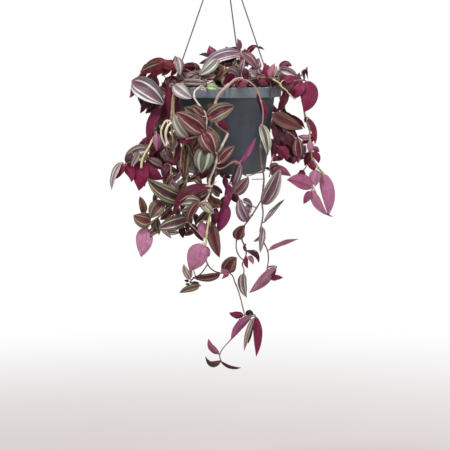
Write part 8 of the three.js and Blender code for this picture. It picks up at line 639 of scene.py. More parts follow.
    ('l', (-14.6, 1.5, -217.4), (-14.7, 9.8, -214.0), (-14.8, 18.1, -223.4), (0.405, -0.213, -0.889), 9, 16, 'P', 1, (-14.6, -1.0, -216.8), 2.5, None),
    ('i', (145.2, -48.5, -396.8), (143.0, -42.5, -397.6), (140.8, -36.5, -411.3), (-0.385, 0.594, 0.707), 9, 16, 'W2', -1, (145.9, -50.1, -395.1), 2.5, None),
    ('m', (106.2, 1.4, -241.7), (105.0, 11.7, -237.0), (103.7, 22.0, -245.1), (-0.203, -0.089, -0.975), 9.8, 16, 'W2', -1, (106.5, -1.1, -241.5), 2.5, None),
    ('l', (-15.4, -5.6, -254.7), (-12.3, 2.2, -243.7), (-9.2, 9.9, -245.5), (-0.126, 0.612, -0.781), 9.1, 16, 'P', 1, (-16.2, -7.5, -256.1), 2.5, None),
    ('e', (-12.6, -104.5, -297.3), (-10.1, -97.6, -298.0), (-7.6, -90.6, -311.4), (-0.964, 0.167, -0.207), 9.9, 16, 'W2', -1, (-13.3, -106.3, -295.7), 2.5, None),
    ('m', (60.1, -26.0, -236.0), (63.9, -35.5, -228.1), (67.8, -45.0, -233.1), (-0.052, 0.227, 0.972), 11.5, 16, 'W', -1, (59.2, -23.7, -236.5), 2.5, None),
    ('m', (73.7, 1.1, -235.6), (70.5, 7.8, -225.3), (67.4, 14.5, -227.9), (-0.186, 0.514, -0.837), 9.6, 16, 'P2', 1, (74.6, -0.8, -236.9), 2.5, None),
    ('e', (17.1, -96.7, -406.1), (18.6, -90.9, -406.4), (20.2, -85.0, -419.5), (0.779, 0.322, 0.539), 7.6, 16, 'W2', -1, (16.6, -98.5, -404.3), 2.5, None),
    ('p', (-42.6, 23.7, -252.3), (-42.1, 16.9, -239.7), (-41.6, 10.2, -239.9), (-0.068, 0.727, 0.684), 10.1, 16, 'W2', -1, (-42.8, 25.4, -254.2), 2.5, None),
    ('d', (-36.0, -111.8, -285.5), (-39.6, -106.2, -288.5), (-43.2, -100.6, -304.4), (0.643, 0.735, 0.216), 11.2, 16, 'B', 1, (-35.2, -113.1, -283.5), 2.5, None),
    ('l', (-19.3, -9.3, -246.5), (-17.6, -3.1, -233.3), (-15.9, 3.1, -232.8), (0.1, 0.77, -0.63), 9.3, 16, 'P', 1, (-19.8, -10.8, -248.4), 2.5, None),
    ('h', (23.2, -24.2, -250.0), (22.2, -18.0, -236.3), (21.2, -11.8, -235.4), (-0.086, 0.793, -0.603), 9.8, 16, 'W2', -1, (23.4, -25.7, -252.0), 2.5, None),
    ('f', (61.1, -98.9, -418.3), (63.4, -91.5, -416.9), (65.6, -84.1, -428.2), (-0.354, -0.354, -0.866), 9.4, 16, 'P3', 1, (60.5, -101.0, -417.2), 2.5, None),
    ('i', (146.1, -43.4, -388.2), (145.2, -35.9, -390.1), (144.4, -28.5, -404.9), (0.955, 0.255, 0.153), 10.7, 16, 'W2', -1, (146.2, -45.2, -386.4), 2.5, None),
    ('e', (14.5, -64.2, -249.2), (14.2, -56.4, -239.9), (13.8, -48.6, -243.4), (0.294, 0.439, -0.849), 8.1, 16, 'OG', 1, (14.6, -66.4, -250.3), 2.5, None),
    ('m', (44.0, 7.3, -222.9), (40.7, -0.8, -216.0), (37.3, -8.9, -222.0), (0.314, 0.035, 0.949), 9.6, 16, 'W', -1, (45.0, 9.6, -223.3), 2.5, None),
    ('h', (35.6, -48.9, -246.7), (31.2, -44.5, -236.3), (26.9, -40.1, -238.7), (0.304, 0.832, -0.463), 8.6, 16, 'W2', -1, (37.0, -50.2, -248.3), 2.5, None),
    ('q', (-17.1, -98.1, -348.7), (-18.0, -95.0, -351.1), (-18.9, -91.9, -366.3), (-0.094, 0.922, 0.375), 8.2, 16, 'S', 1, (-16.8, -99.0, -346.3), 2.5, None),
    ('h', (64.6, -72.4, -240.7), (67.3, -64.8, -228.1), (70.1, -57.2, -228.3), (0.231, 0.622, -0.748), 11.1, 16, 'W2', -1, (63.9, -74.2, -242.4), 2.5, None),
    ('n', (-102.5, -48.2, -367.3), (-99.2, -41.1, -368.5), (-95.8, -34.1, -382.5), (-0.933, 0.345, -0.102), 10.4, 16, 'D2', -1, (-103.3, -49.9, -365.7), 2.5, None),
    ('h', (109.0, -48.8, -248.3), (112.4, -39.9, -244.1), (115.8, -31.0, -252.6), (-0.006, -0.13, -0.991), 9.3, 16, 'W', -1, (108.1, -51.1, -248.0), 2.5, None),
    ('m', (55.9, -16.4, -231.3), (52.6, -20.5, -220.4), (49.3, -24.7, -222.4), (0.091, 0.767, 0.635), 8.4, 16, 'W2', -1, (56.9, -15.1, -233.1), 2.5, None),
    ('o', (-57.6, -95.6, -411.2), (-61.0, -90.5, -412.6), (-64.5, -85.4, -426.7), (0.815, 0.579, 0.024), 8.3, 16, 'O', 1, (-56.6, -97.0, -409.4), 2.5, None),
    ('n', (-89.0, -43.4, -280.6), (-87.0, -36.1, -282.5), (-84.9, -28.8, -297.2), (-0.203, 0.722, 0.662), 10.2, 16, 'D2', -1, (-89.5, -45.1, -278.8), 2.5, None),
    ('i', (147.1, -46.4, -392.5), (150.2, -41.3, -393.5), (153.4, -36.2, -407.3), (-0.85, 0.527, 0.005), 8.9, 16, 'W2', -1, (146.2, -47.8, -390.7), 2.5, None),
    ('i', (154.1, -39.9, -391.9), (153.8, -33.7, -394.6), (153.4, -27.6, -410.0), (-0.734, 0.524, 0.432), 11, 16, 'W2', -1, (154.2, -41.4, -389.9), 2.5, None),
    ('h', (92.0, -59.3, -247.5), (92.8, -51.5, -242.1), (93.6, -43.8, -249.5), (0.064, -0.006, -0.998), 7.5, 16, 'W2', -1, (91.8, -61.8, -247.5), 2.5, None),
    ('c', (-40.3, -48.5, -252.5), (-40.4, -39.9, -244.3), (-40.5, -31.3, -248.9), (-0.073, 0.305, -0.95), 9.6, 16, 'O', 1, (-40.3, -50.9, -253.3), 2.5, None),
    ('k', (25.2, -23.7, -225.1), (30.6, -17.0, -220.0), (36.0, -10.3, -227.7), (0.063, -0.1, -0.993), 8.1, 16, 'R', 1, (23.6, -25.6, -225.0), 2.5, None),
    ('m', (78.9, 2.8, -234.5), (78.5, 11.3, -226.3), (78.0, 19.7, -230.9), (-0.222, 0.292, -0.93), 9.2, 16, 'W2', -1, (79.1, 0.5, -235.3), 2.5, None),
    ('e', (-10.4, -102.8, -283.5), (-8.3, -98.5, -284.2), (-6.1, -94.1, -297.7), (-0.706, 0.67, 0.229), 8.7, 16, 'B', 1, (-11.1, -104.2, -281.5), 2.5, None),
    ('b', (-96.9, -39.4, -280.4), (-99.1, -33.6, -280.8), (-101.3, -27.8, -294.1), (0.939, 0.342, -0.017), 9.1, 16, 'D2', -1, (-96.2, -41.1, -278.6), 2.5, None),
    ('k', (28.0, -22.0, -215.4), (29.9, -15.2, -206.1), (31.9, -8.3, -209.7), (-0.225, 0.525, -0.821), 7.8, 16, 'W2', -1, (27.3, -24.1, -216.5), 2.5, None),
    ('e', (-25.3, -122.6, -438.0), (-21.2, -116.9, -438.5), (-17.2, -111.2, -451.7), (-0.81, 0.586, 0.004), 8.9, 16, 'OG', 1, (-26.4, -124.1, -436.4), 2.5, None),
    ('p', (-50.8, 27.6, -249.9), (-50.2, 19.2, -239.9), (-49.6, 10.9, -242.7), (-0.151, 0.467, 0.871), 9.7, 16, 'W2', -1, (-51.0, 29.8, -251.1), 2.5, None),
    ('x', (67.4, -10.6, -251.0), (69.0, -16.5, -241.1), (70.5, -22.4, -244.0), (-0.164, 0.574, 0.802), 7.8, 16, 'B', 1, (66.9, -8.7, -252.5), 2.5, None),
]
SHOOTS = [('a', 'shoot_left_arch'), ('b', 'shoot_left_long'), ('c', 'shoot_left_front'), ('d', 'shoot_front_maroon'), ('e', 'shoot_front_cluster'), ('f', 'shoot_front_trailer'), ('h', 'shoot_right_short'), ('i', 'shoot_right_trailer'), ('j', 'shoot_right_inner'), ('k', 'shoot_crest_centre'), ('l', 'shoot_crest_left'), ('m', 'shoot_crest_right'), ('n', 'shoot_left_inner'), ('o', 'shoot_centre_inner'), ('p', 'shoot_side_left_2'), ('g', 'shoot_side_right_2'), ('q', 'shoot_lowest_trailer'), ('r', 'shoot_rear_1'), ('s', 'shoot_rear_2'), ('t', 'shoot_rear_3'), ('u', 'shoot_rear_4'), ('v', 'shoot_rear_5'), ('w', 'shoot_rear_6'), ('x', 'shoot_side_right'), ('y', 'shoot_side_left')]


# ------------------------------------------------------------------ helpers
def lin(c):
    """sRGB 0-255 to linear."""
    out = []
    for v in c:
        v = v / 255.0
        out.append(v / 12.92 if v <= 0.04045 else ((v + 0.055) / 1.055) ** 2.4)
    return np.array(out)


def unit(v):
    return v / (np.linalg.norm(v, axis=-1, keepdims=True) + 1e-12)


def catmull(P, step):
    """Centripetal Catmull-Rom through P, resampled about every step."""
    P = np.asarray(P, float)
    keep = [0] + [i for i in range(1, len(P)) if np.linalg.norm(P[i] - P[i - 1]) > 1e-3]
    P = P[keep]
    if len(P) < 3:
        n = max(3, int(np.linalg.norm(P[-1] - P[0]) / step) + 1)
        return P[0] + (P[-1] - P[0]) * np.linspace(0, 1, n)[:, None]
    Q = np.vstack([2 * P[0] - P[1], P, 2 * P[-1] - P[-2]])
    out = []
    for i in range(1, len(Q) - 2):
        p0, p1, p2, p3 = Q[i - 1], Q[i], Q[i + 1], Q[i + 2]
        a = [0.0]
        for x, y in ((p0, p1), (p1, p2), (p2, p3)):
            a.append(a[-1] + max(1e-4, np.linalg.norm(y - x)) ** 0.5)
        t0, t1, t2, t3 = a
        n = max(2, int(math.ceil(np.linalg.norm(p2 - p1) / (step * 0.5))))
        for t in np.linspace(t1, t2, n, endpoint=False):
            A1 = p0 * (t1 - t) / (t1 - t0) + p1 * (t - t0) / (t1 - t0)
            A2 = p1 * (t2 - t) / (t2 - t1) + p2 * (t - t1) / (t2 - t1)
            A3 = p2 * (t3 - t) / (t3 - t2) + p3 * (t - t2) / (t3 - t2)
            B1 = A1 * (t2 - t) / (t2 - t0) + A2 * (t - t0) / (t2 - t0)
            B2 = A2 * (t3 - t) / (t3 - t1) + A3 * (t - t1) / (t3 - t1)
            out.append(B1 * (t2 - t) / (t2 - t1) + B2 * (t - t1) / (t2 - t1))
    out.append(P[-1])
    out = np.array(out)
    d = np.concatenate([[0], np.cumsum(np.linalg.norm(np.diff(out, axis=0), axis=1))])
    n = max(3, int(round(d[-1] / step)) + 1)
    s = np.linspace(0, d[-1], n)
    return np.stack([np.interp(s, d, out[:, k]) for k in range(3)], 1)


class Mesh:
    """Collects vertices, faces and per-vertex attributes, then makes one object."""

    def __init__(self):
        self.v, self.f, self.at, self.n = [], [], {}, 0

    def add(self, verts, faces, **attrs):
        verts = np.asarray(verts, float)
        m = len(verts)
        self.v.append(verts)
        for loop in faces:
            self.f.append(np.asarray(loop, np.int64) + self.n)
        for k, a in attrs.items():
            a = np.asarray(a, float)
            if a.ndim == 1 and a.shape[0] != m:
                a = np.tile(a, (m, 1))
            if a.ndim == 0:
                a = np.full(m, float(a))
            self.at.setdefault(k, []).append(a)
        self.n += m

    def make(self, name, material, smooth=True):
        v = np.vstack(self.v) * MM
        me = bpy.data.meshes.new(name)
        quads = [f for f in self.f if f.ndim == 2 and f.shape[1] == 4]
        tris = [f for f in self.f if f.ndim == 2 and f.shape[1] == 3]
        q = np.vstack(quads) if quads else np.zeros((0, 4), np.int64)
        t = np.vstack(tris) if tris else np.zeros((0, 3), np.int64)
        loops = np.concatenate([q.ravel(), t.ravel()]).astype(np.int32)
        starts = np.concatenate([np.arange(len(q)) * 4, len(q) * 4 + np.arange(len(t)) * 3]).astype(np.int32)
        totals = np.concatenate([np.full(len(q), 4), np.full(len(t), 3)]).astype(np.int32)
        me.vertices.add(len(v))
        me.vertices.foreach_set("co", v.astype(np.float32).ravel())
        me.loops.add(len(loops))
        me.loops.foreach_set("vertex_index", loops)
        me.polygons.add(len(starts))
        me.polygons.foreach_set("loop_start", starts)
        me.polygons.foreach_set("loop_total", totals)
        me.polygons.foreach_set("use_smooth", np.full(len(starts), smooth))
        me.update(calc_edges=True)
        for k, parts in self.at.items():
            a = np.concatenate(parts)
            if a.ndim == 1:
                me.attributes.new(k, "FLOAT", "POINT").data.foreach_set("value", a.astype(np.float32))
            else:
                if a.shape[1] == 3:
                    a = np.hstack([a, np.ones((len(a), 1))])
                me.attributes.new(k, "FLOAT_COLOR", "POINT").data.foreach_set("color", a.astype(np.float32).ravel())
        me.validate()
        obj = bpy.data.objects.new(name, me)
        bpy.context.scene.collection.objects.link(obj)
        me.materials.append(material)
        return obj


def frames(P):
    """Tangents and a pair of normals carried along P without twist."""
    T = unit(np.gradient(P, axis=0))
    a = np.array([1.0, 0, 0]) if abs(T[0][2]) > 0.8 else np.array([0, 0, 1.0])
    A = []
    for t in T:
        a = unit(a - t * (a @ t))
        A.append(a)
    A = np.array(A)
    return T, A, np.cross(T, A)


def tube(P, R, sides):
    """Closed tube: vertices and faces."""
    T, A, B = frames(P)
    ang = np.arange(sides) / sides * 2 * math.pi
    V = P[:, None, :] + R[:, None, None] * (np.cos(ang)[None, :, None] * A[:, None, :] + np.sin(ang)[None, :, None] * B[:, None, :])
    n = len(P)
    i = np.arange(n - 1)[:, None] * sides
    k = np.arange(sides)[None, :]
    k2 = (k + 1) % sides
    Q = np.stack([i + k, i + k2, i + sides + k2, i + sides + k], -1).reshape(-1, 4)
    V = V.reshape(-1, 3)
    c0, c1 = len(V), len(V) + 1
    V = np.vstack([V, P[0] - T[0] * R[0] * 0.35, P[-1] + T[-1] * R[-1] * 0.35])
    k, k2 = k[0], k2[0]
    F0 = np.stack([np.full(sides, c0), k2, k], -1)
    F1 = np.stack([np.full(sides, c1), (n - 1) * sides + k, (n - 1) * sides + k2], -1)
    return V, [Q, F0, F1]


def lathe(profile, segments, centre_x=0.0):
    """A closed profile [(r, z)...] turned about the vertical axis; r = 0 points become poles."""
    prof = [(max(r, 0.0), z) for r, z in profile]
    n = len(prof)
    V, idx = [], []
    for r, z in prof:
        if r < 1e-6:
            idx.append([len(V)] * segments)
            V.append((centre_x, 0, z))
        else:
            row = []
            for k in range(segments):
                a = 2 * math.pi * k / segments
                row.append(len(V))
                V.append((centre_x + r * math.cos(a), r * math.sin(a), z))
            idx.append(row)
    Q, T = [], []
    closed = prof[0][0] > 1e-6
    for i in range(n if closed else n - 1):
        a, b = idx[i], idx[(i + 1) % n]
        for k in range(segments):
            k2 = (k + 1) % segments
            if a[k] == a[k2]:
                T.append((a[k], b[k2], b[k]))
            elif b[k] == b[k2]:
                T.append((a[k], a[k2], b[k]))
            else:
                Q.append((a[k], a[k2], b[k2], b[k]))
    faces = []
    if Q:
        faces.append(np.array(Q))
    if T:
        faces.append(np.array(T))
    return np.array(V, float), faces


def rounded(profile, radius, steps=4):
    """Rounds the corners of a profile."""
    P = [np.array(p, float) for p in profile]
    out = [P[0]]
    for i in range(1, len(P) - 1):
        a, b, c = P[i - 1], P[i], P[i + 1]
        la, lc = np.linalg.norm(a - b), np.linalg.norm(c - b)
        d = min(radius, la * 0.45, lc * 0.45)
        p, q = b + (a - b) / la * d, b + (c - b) / lc * d
        for s in range(steps + 1):
            t = s / steps
            out.append((1 - t) ** 2 * p + 2 * t * (1 - t) * b + t * t * q)
    out.append(P[-1])
    return [(float(p[0]), float(p[1])) for p in out]


# ------------------------------------------------------------------ node helpers
class Nodes:
    def __init__(self, name):
        self.mat = bpy.data.materials.new(name)
        self.mat.use_nodes = True
        self.t = self.mat.node_tree
        self.bsdf = self.t.nodes["Principled BSDF"]

    def n(self, kind, **props):
        node = self.t.nodes.new(kind)
        for k, v in props.items():
            setattr(node, k, v)
        return node

    def link(self, a, b):
        self.t.links.new(a, b)

    def put(self, socket, v):
        if hasattr(v, "is_output"):
            self.link(v, socket)
        else:
            socket.default_value = v

    def attr(self, name):
        return self.n("ShaderNodeAttribute", attribute_name=name)

    def math(self, op, a, b=None, c=None, clamp=False):
        m = self.n("ShaderNodeMath", operation=op, use_clamp=clamp)
        for i, v in enumerate((a, b, c)):
            if v is not None:
                self.put(m.inputs[i], v)
        return m.outputs[0]

    def ramp(self, x, lo, hi, smooth=True):
        """0 below lo, 1 above hi (or the other way round when lo > hi)."""
        m = self.n("ShaderNodeMapRange", interpolation_type="SMOOTHSTEP" if smooth else "LINEAR")
        m.clamp = True
        if lo <= hi:
            a, b, c, d = lo, hi, 0.0, 1.0
        else:
            a, b, c, d = hi, lo, 1.0, 0.0
        self.put(m.inputs["Value"], x)
        m.inputs["From Min"].default_value, m.inputs["From Max"].default_value = a, b
        m.inputs["To Min"].default_value, m.inputs["To Max"].default_value = c, d
        return m.outputs["Result"]

    def mix(self, f, a, b, blend="MIX"):
        m = self.n("ShaderNodeMix", data_type="RGBA", blend_type=blend)
        self.put(m.inputs["Factor"], f)
        for s, v in ((m.inputs[6], a), (m.inputs[7], b)):
            if hasattr(v, "is_output"):
                self.link(v, s)
            else:
                s.default_value = (*v, 1.0)
        return m.outputs[2]

    def noise(self, vec, scale, detail=2.0, rough=0.5, dist=0.0):
        n = self.n("ShaderNodeTexNoise")
        if vec is not None:
            self.link(vec, n.inputs["Vector"])
        n.inputs["Scale"].default_value = scale
        n.inputs["Detail"].default_value = detail
        n.inputs["Roughness"].default_value = rough
        n.inputs["Distortion"].default_value = dist
        return n.outputs["Fac"]

    def vec(self, x, y, z):
        c = self.n("ShaderNodeCombineXYZ")
        for i, v in enumerate((x, y, z)):
            self.put(c.inputs[i], v)
        return c.outputs[0]

    def bump(self, height, strength, distance, normal=None):
        b = self.n("ShaderNodeBump")
        b.inputs["Strength"].default_value = strength
        b.inputs["Distance"].default_value = distance
        self.link(height, b.inputs["Height"])
        if normal is not None:
            self.link(normal, b.inputs["Normal"])
        return b.outputs["Normal"]


# ------------------------------------------------------------------ leaf tones (sRGB)
# name: centre band, stripe, outer band, stripe half width, stripe strength
TOP = {
    "P": ((112, 86, 100), (226, 217, 220), (98, 88, 96), 0.042, 1.0),
    "P5": ((106, 78, 90), (226, 222, 224), (92, 80, 86), 0.07, 1.0),
    "GS": ((126, 124, 116), (238, 238, 228), (144, 142, 132), 0.062, 1.0),
    "V3": ((92, 60, 74), (202, 198, 170), (88, 84, 62), 0.055, 1.0),
    "V4": ((152, 112, 134), (232, 236, 212), (122, 132, 94), 0.095, 1.0),
    "B4": ((98, 50, 50), (156, 118, 100), (98, 70, 62), 0.032, 0.55),
    "GD": ((98, 98, 86), (184, 186, 166), (102, 102, 90), 0.09, 0.85),
    "GB": ((140, 134, 124), (220, 218, 206), (152, 148, 134), 0.1, 0.9),
    "P2": ((124, 98, 112), (226, 214, 220), (106, 92, 102), 0.05, 1.0),
    "P3": ((114, 84, 90), (200, 180, 178), (104, 88, 86), 0.05, 0.75),
    "S": ((142, 124, 126), (226, 214, 210), (122, 112, 106), 0.085, 0.85),
    # S2 is a lighter copy of S, lifted for a leaf that sits in shade: painted light
    "S2": ((180, 162, 166), (242, 234, 230), (156, 144, 142), 0.1, 0.95),
    "S3": ((150, 124, 112), (222, 202, 184), (138, 114, 102), 0.085, 0.8),
    "S4": ((142, 120, 116), (212, 200, 182), (126, 110, 102), 0.08, 0.75),
    "O": ((86, 50, 48), (188, 174, 146), (94, 84, 64), 0.036, 0.75),
    "OD": ((86, 42, 46), (190, 172, 148), (86, 80, 66), 0.034, 0.85),
    "OG": ((76, 42, 44), (190, 190, 158), (86, 80, 62), 0.04, 0.95),
    "OD2": ((104, 52, 50), (188, 176, 144), (90, 74, 60), 0.04, 0.85),
    "O2": ((66, 44, 40), (126, 108, 90), (68, 56, 46), 0.045, 0.55),
    "V": ((94, 76, 70), (194, 190, 162), (100, 98, 76), 0.048, 0.9),
    "VP": ((100, 70, 82), (208, 194, 192), (104, 92, 80), 0.042, 0.95),
    "V2": ((120, 96, 86), (206, 192, 166), (118, 108, 86), 0.055, 0.8),
    "B": ((84, 30, 41), (206, 170, 154), (85, 58, 51), 0.034, 0.82),
    "B2": ((82, 43, 37), (146, 112, 88), (84, 64, 48), 0.032, 0.55),
    "B3": ((84, 38, 42), (172, 130, 118), (92, 66, 56), 0.034, 0.6),
    # R and R2 are kept darker than their own colour, as painted shade that gives the crown depth
    "R": ((98, 56, 47), (162, 122, 100), (92, 66, 53), 0.04, 0.5),
    "R2": ((90, 42, 39), (136, 86, 74), (84, 44, 42), 0.04, 0.45),
    "K": ((136, 104, 124), (222, 204, 212), (124, 100, 114), 0.062, 0.9),
    "K2": ((108, 70, 76), (194, 168, 166), (102, 82, 80), 0.05, 0.85),
    "K3": ((142, 96, 110), (218, 190, 196), (122, 90, 102), 0.055, 0.85),
    "K4": ((108, 66, 78), (182, 148, 152), (96, 70, 76), 0.052, 0.75),
    "K5": ((134, 64, 92), (184, 136, 150), (112, 62, 80), 0.06, 0.7),
    "G": ((104, 94, 86), (196, 184, 172), (116, 108, 94), 0.14, 0.6),
    "GV": ((100, 98, 84), (210, 208, 194), (122, 120, 108), 0.1, 0.9),
    "G2": ((136, 127, 129), (224, 217, 214), (150, 142, 139), 0.12, 0.8),
    "GG": ((150, 182, 128), (204, 216, 178), (126, 160, 104), 0.13, 0.6),
    # D, D2 and D3 are painted shade: very dark tones for the filler leaves deep in the crown, kept dark to stand in for
    # the shade between leaves
    "D": ((56, 24, 34), (106, 70, 76), (52, 30, 36), 0.045, 0.45),
    "D2": ((66, 27, 39), (122, 82, 88), (60, 35, 40), 0.045, 0.45),
    "D3": ((58, 35, 35), (110, 84, 76), (54, 39, 36), 0.045, 0.45),
}
UNDER = {
    "W": (114, 29, 62), "W2": (88, 24, 44), "W3": (102, 26, 58), "WR": (118, 42, 54), "WM": (134, 27, 88), "WM3": (118, 22, 62), "WM2": (114, 34, 78),
    # D, D2 and D3 are painted shade as well: dark undersides for the filler leaves, standing in for the shade between
    # leaves
    "D": (56, 20, 32), "D2": (72, 25, 41), "D3": (60, 32, 34),
    # M, M2, M3, M5, M6 and M7 are painted light: pinker, lighter copies of the wine underside, for leaves that light
    # shines through from behind
    "M": (163, 102, 132), "M5": (168, 103, 139), "M7": (181, 118, 152), "W5": (86, 20, 44), "M6": (152, 80, 114), "M2": (128, 62, 94), "M3": (140, 72, 106), "R": (118, 78, 68), "R2": (108, 62, 58),
    "B": (98, 41, 47), "O": (104, 72, 64), "K": (170, 118, 132), "K3": (168, 102, 120), "K4": (144, 86, 102), "K6": (138, 88, 110),
    "K5": (146, 82, 104), "P": (122, 66, 91), "P3": (100, 58, 69), "S": (152, 120, 132), "GG": (160, 192, 138),
}
STEM = {
    "beige": (196, 174, 146), "green": (216, 212, 160), "cream": (206, 190, 170), "olive": (154, 140, 104),
    "pale": (226, 220, 180), "pink": (184, 140, 132), "trail": (98, 86, 76), "brown": (104, 72, 55),
    # cream2 and pale2 are lighter copies of cream and pale, for stems that catch bright light: painted light
    "cream2": (232, 216, 204), "cream3": (200, 180, 168), "arch": (184, 160, 150), "arch2": (172, 134, 124), "pale2": (240, 234, 200),
}
TOP = {k: (lin(a), lin(b), lin(c), d, e) for k, (a, b, c, d, e) in TOP.items()}
UNDER = {k: lin(v) for k, v in UNDER.items()}
STEM = {k: lin(v) for k, v in STEM.items()}


# ------------------------------------------------------------------ one leaf
def leaf_data(L, number):
    shoot, p0, p1, p2, lat, W, fold, tone, side, root, gap, rims = L
    rng = np.random.RandomState(1000 + number * 7)
    p0, p1, p2, lat = (np.array(x, float) for x in (p0, p1, p2, lat))
    size = np.linalg.norm(p2 - p0)
    nu, nv = (13, 24) if size > 30 else (11, 18) if size > 18 else (9, 13)
    s = np.linspace(0, 1, nv)
    t = 0.004 + (0.992 - 0.004) * (0.6 * s + 0.4 * (0.5 - 0.5 * np.cos(math.pi * s)))
    tt = t[:, None]
    C = (1 - tt) ** 2 * p0 + 2 * tt * (1 - tt) * p1 + tt * tt * p2
    D = unit(2 * (1 - tt) * (p1 - p0) + 2 * tt * (p2 - p1))
    A = unit(lat - D * (D @ lat)[:, None])
    N = np.cross(A, D)
    # the blade twists a little, and its tip curls
    tw = (t - 0.35) * rng.uniform(-0.42, 0.42)
    A, N = A * np.cos(tw)[:, None] + N * np.sin(tw)[:, None], N * np.cos(tw)[:, None] - A * np.sin(tw)[:, None]
    curl = rng.uniform(-0.055, 0.02) * size
    C = C + N * (curl * t**3)[:, None] + A * (rng.uniform(-0.035, 0.035) * size * np.sin(math.pi * t) * t)[:, None]
    u = np.sin(np.linspace(-1, 1, nu) * math.pi / 2) * 0.55 + np.linspace(-1, 1, nu) * 0.45
    half = W / 2 * 2.435 * t**0.5 * (1 - t) ** 0.85 * (1 - 0.16 * np.clip((t - 0.7) / 0.27, 0, 1) ** 2)
    asym = 1 + np.where(u < 0, -1, 1) * rng.uniform(-0.07, 0.07)
    au = np.abs(u)
    f = math.radians(fold * rng.uniform(0.85, 1.15))
    h = half[:, None] * asym[None, :]
    across = u[None, :] * h * math.cos(f)
    rise = (np.sqrt(u**2 + 0.01) - 0.1)[None, :] * h * math.sin(f) * 1.08
    rise = rise + h * 0.13 * (4 * au * (1 - au))[None, :] * rng.uniform(0.3, 1.1)
    ph = rng.uniform(0, 6.28, 2)
    k1, k2 = rng.uniform(1.4, 2.6, 2)
    amp = W * rng.uniform(0.015, 0.045)
    wave = np.where(u[None, :] < 0, np.sin(tt * k1 * 6.28 + ph[0]), np.sin(tt * k2 * 6.28 + ph[1]))
    rise = rise + amp * wave * (au**2.5)[None, :] * np.sin(math.pi * tt) ** 0.5
    rise = rise - 0.32 * np.exp(-((u / 0.07) ** 2))[None, :] * np.minimum(1, half / 4)[:, None]
    top = C[:, None, :] + A[:, None, :] * across[..., None] + N[:, None, :] * rise[..., None]
    th = (0.22 + 0.14 * (1 - au) ** 2 + 0.42 * np.exp(-((u / 0.1) ** 2)))[None, :] * np.minimum(1, half / 3)[:, None]
    bottom = top - N[:, None, :] * th[..., None]
    # margins and ends are shared, so that the blade is one closed skin
    inner = np.zeros((nv, nu), bool)
    inner[1:-1, 1:-1] = True
    ti = np.arange(nv * nu).reshape(nv, nu)
    bi = ti.copy()
    bi[inner] = nv * nu + np.arange(inner.sum())
    V = np.vstack([top.reshape(-1, 3), bottom[inner]])
    qt = np.stack([ti[:-1, :-1], ti[:-1, 1:], ti[1:, 1:], ti[1:, :-1]], -1).reshape(-1, 4)
    qb = np.stack([bi[:-1, :-1], bi[1:, :-1], bi[1:, 1:], bi[:-1, 1:]], -1).reshape(-1, 4)
    # top faces must look along +N
    a, b, c = top[nv // 2, nu // 2], top[nv // 2, nu // 2 + 1], top[nv // 2 + 1, nu // 2]
    if np.cross(b - a, c - a) @ N[nv // 2] < 0:
        qt, qb = qt[:, ::-1], qb[:, ::-1]
    U = np.broadcast_to(u[None, :], (nv, nu))
    T = np.broadcast_to(t[:, None], (nv, nu))
    lu = np.concatenate([U.ravel(), U[inner]])
    lv = np.concatenate([T.ravel(), T[inner]])
    face = np.concatenate([np.where(inner, 1.0, 0.0).ravel(), -np.ones(inner.sum())])
    # colours
    names = ["B", "P", "O", "B", "P3", "V"]
    if side > 0:
        up, un = (tone if tone in TOP else "B"), ["W", "W2", "M3", "W"][rng.randint(4)]
    else:
        up, un = (tone if tone in ("P", "S", "O", "K", "K3", "GG") and tone in TOP else names[rng.randint(len(names))]), (tone if tone in UNDER else "W")
    cc, cs, co, sw, ss = TOP[up]
    g = rng.uniform(0.88, 1.12)
    m = len(V)
    if rims is None:
        pale = up in ("P", "P2", "S", "S2", "G", "V", "K", "K3") and rng.uniform() < 0.45
        which = rng.randint(3)
        rims = ((0.85 if which != 1 else 0.0), (0.85 if which != 0 else 0.0)) if pale else (0.0, 0.0)
    return V, [qt, qb], dict(
        lu=lu, lv=lv, face=face,
        wide=np.full(m, sw * rng.uniform(0.85, 1.2)), strong=np.full(m, ss * rng.uniform(0.88, 1.05)),
        seed=np.full(m, rng.uniform(0, 60)), length=np.full(m, size), rim_l=np.full(m, float(rims[0])), rim_r=np.full(m, float(rims[1])),
        c_mid=np.tile(cc * g, (m, 1)), c_stripe=np.tile(cs, (m, 1)), c_out=np.tile(co * g, (m, 1)), c_under=np.tile(UNDER[un] * rng.uniform(0.9, 1.1), (m, 1)),
    ), (C, D, A, N)


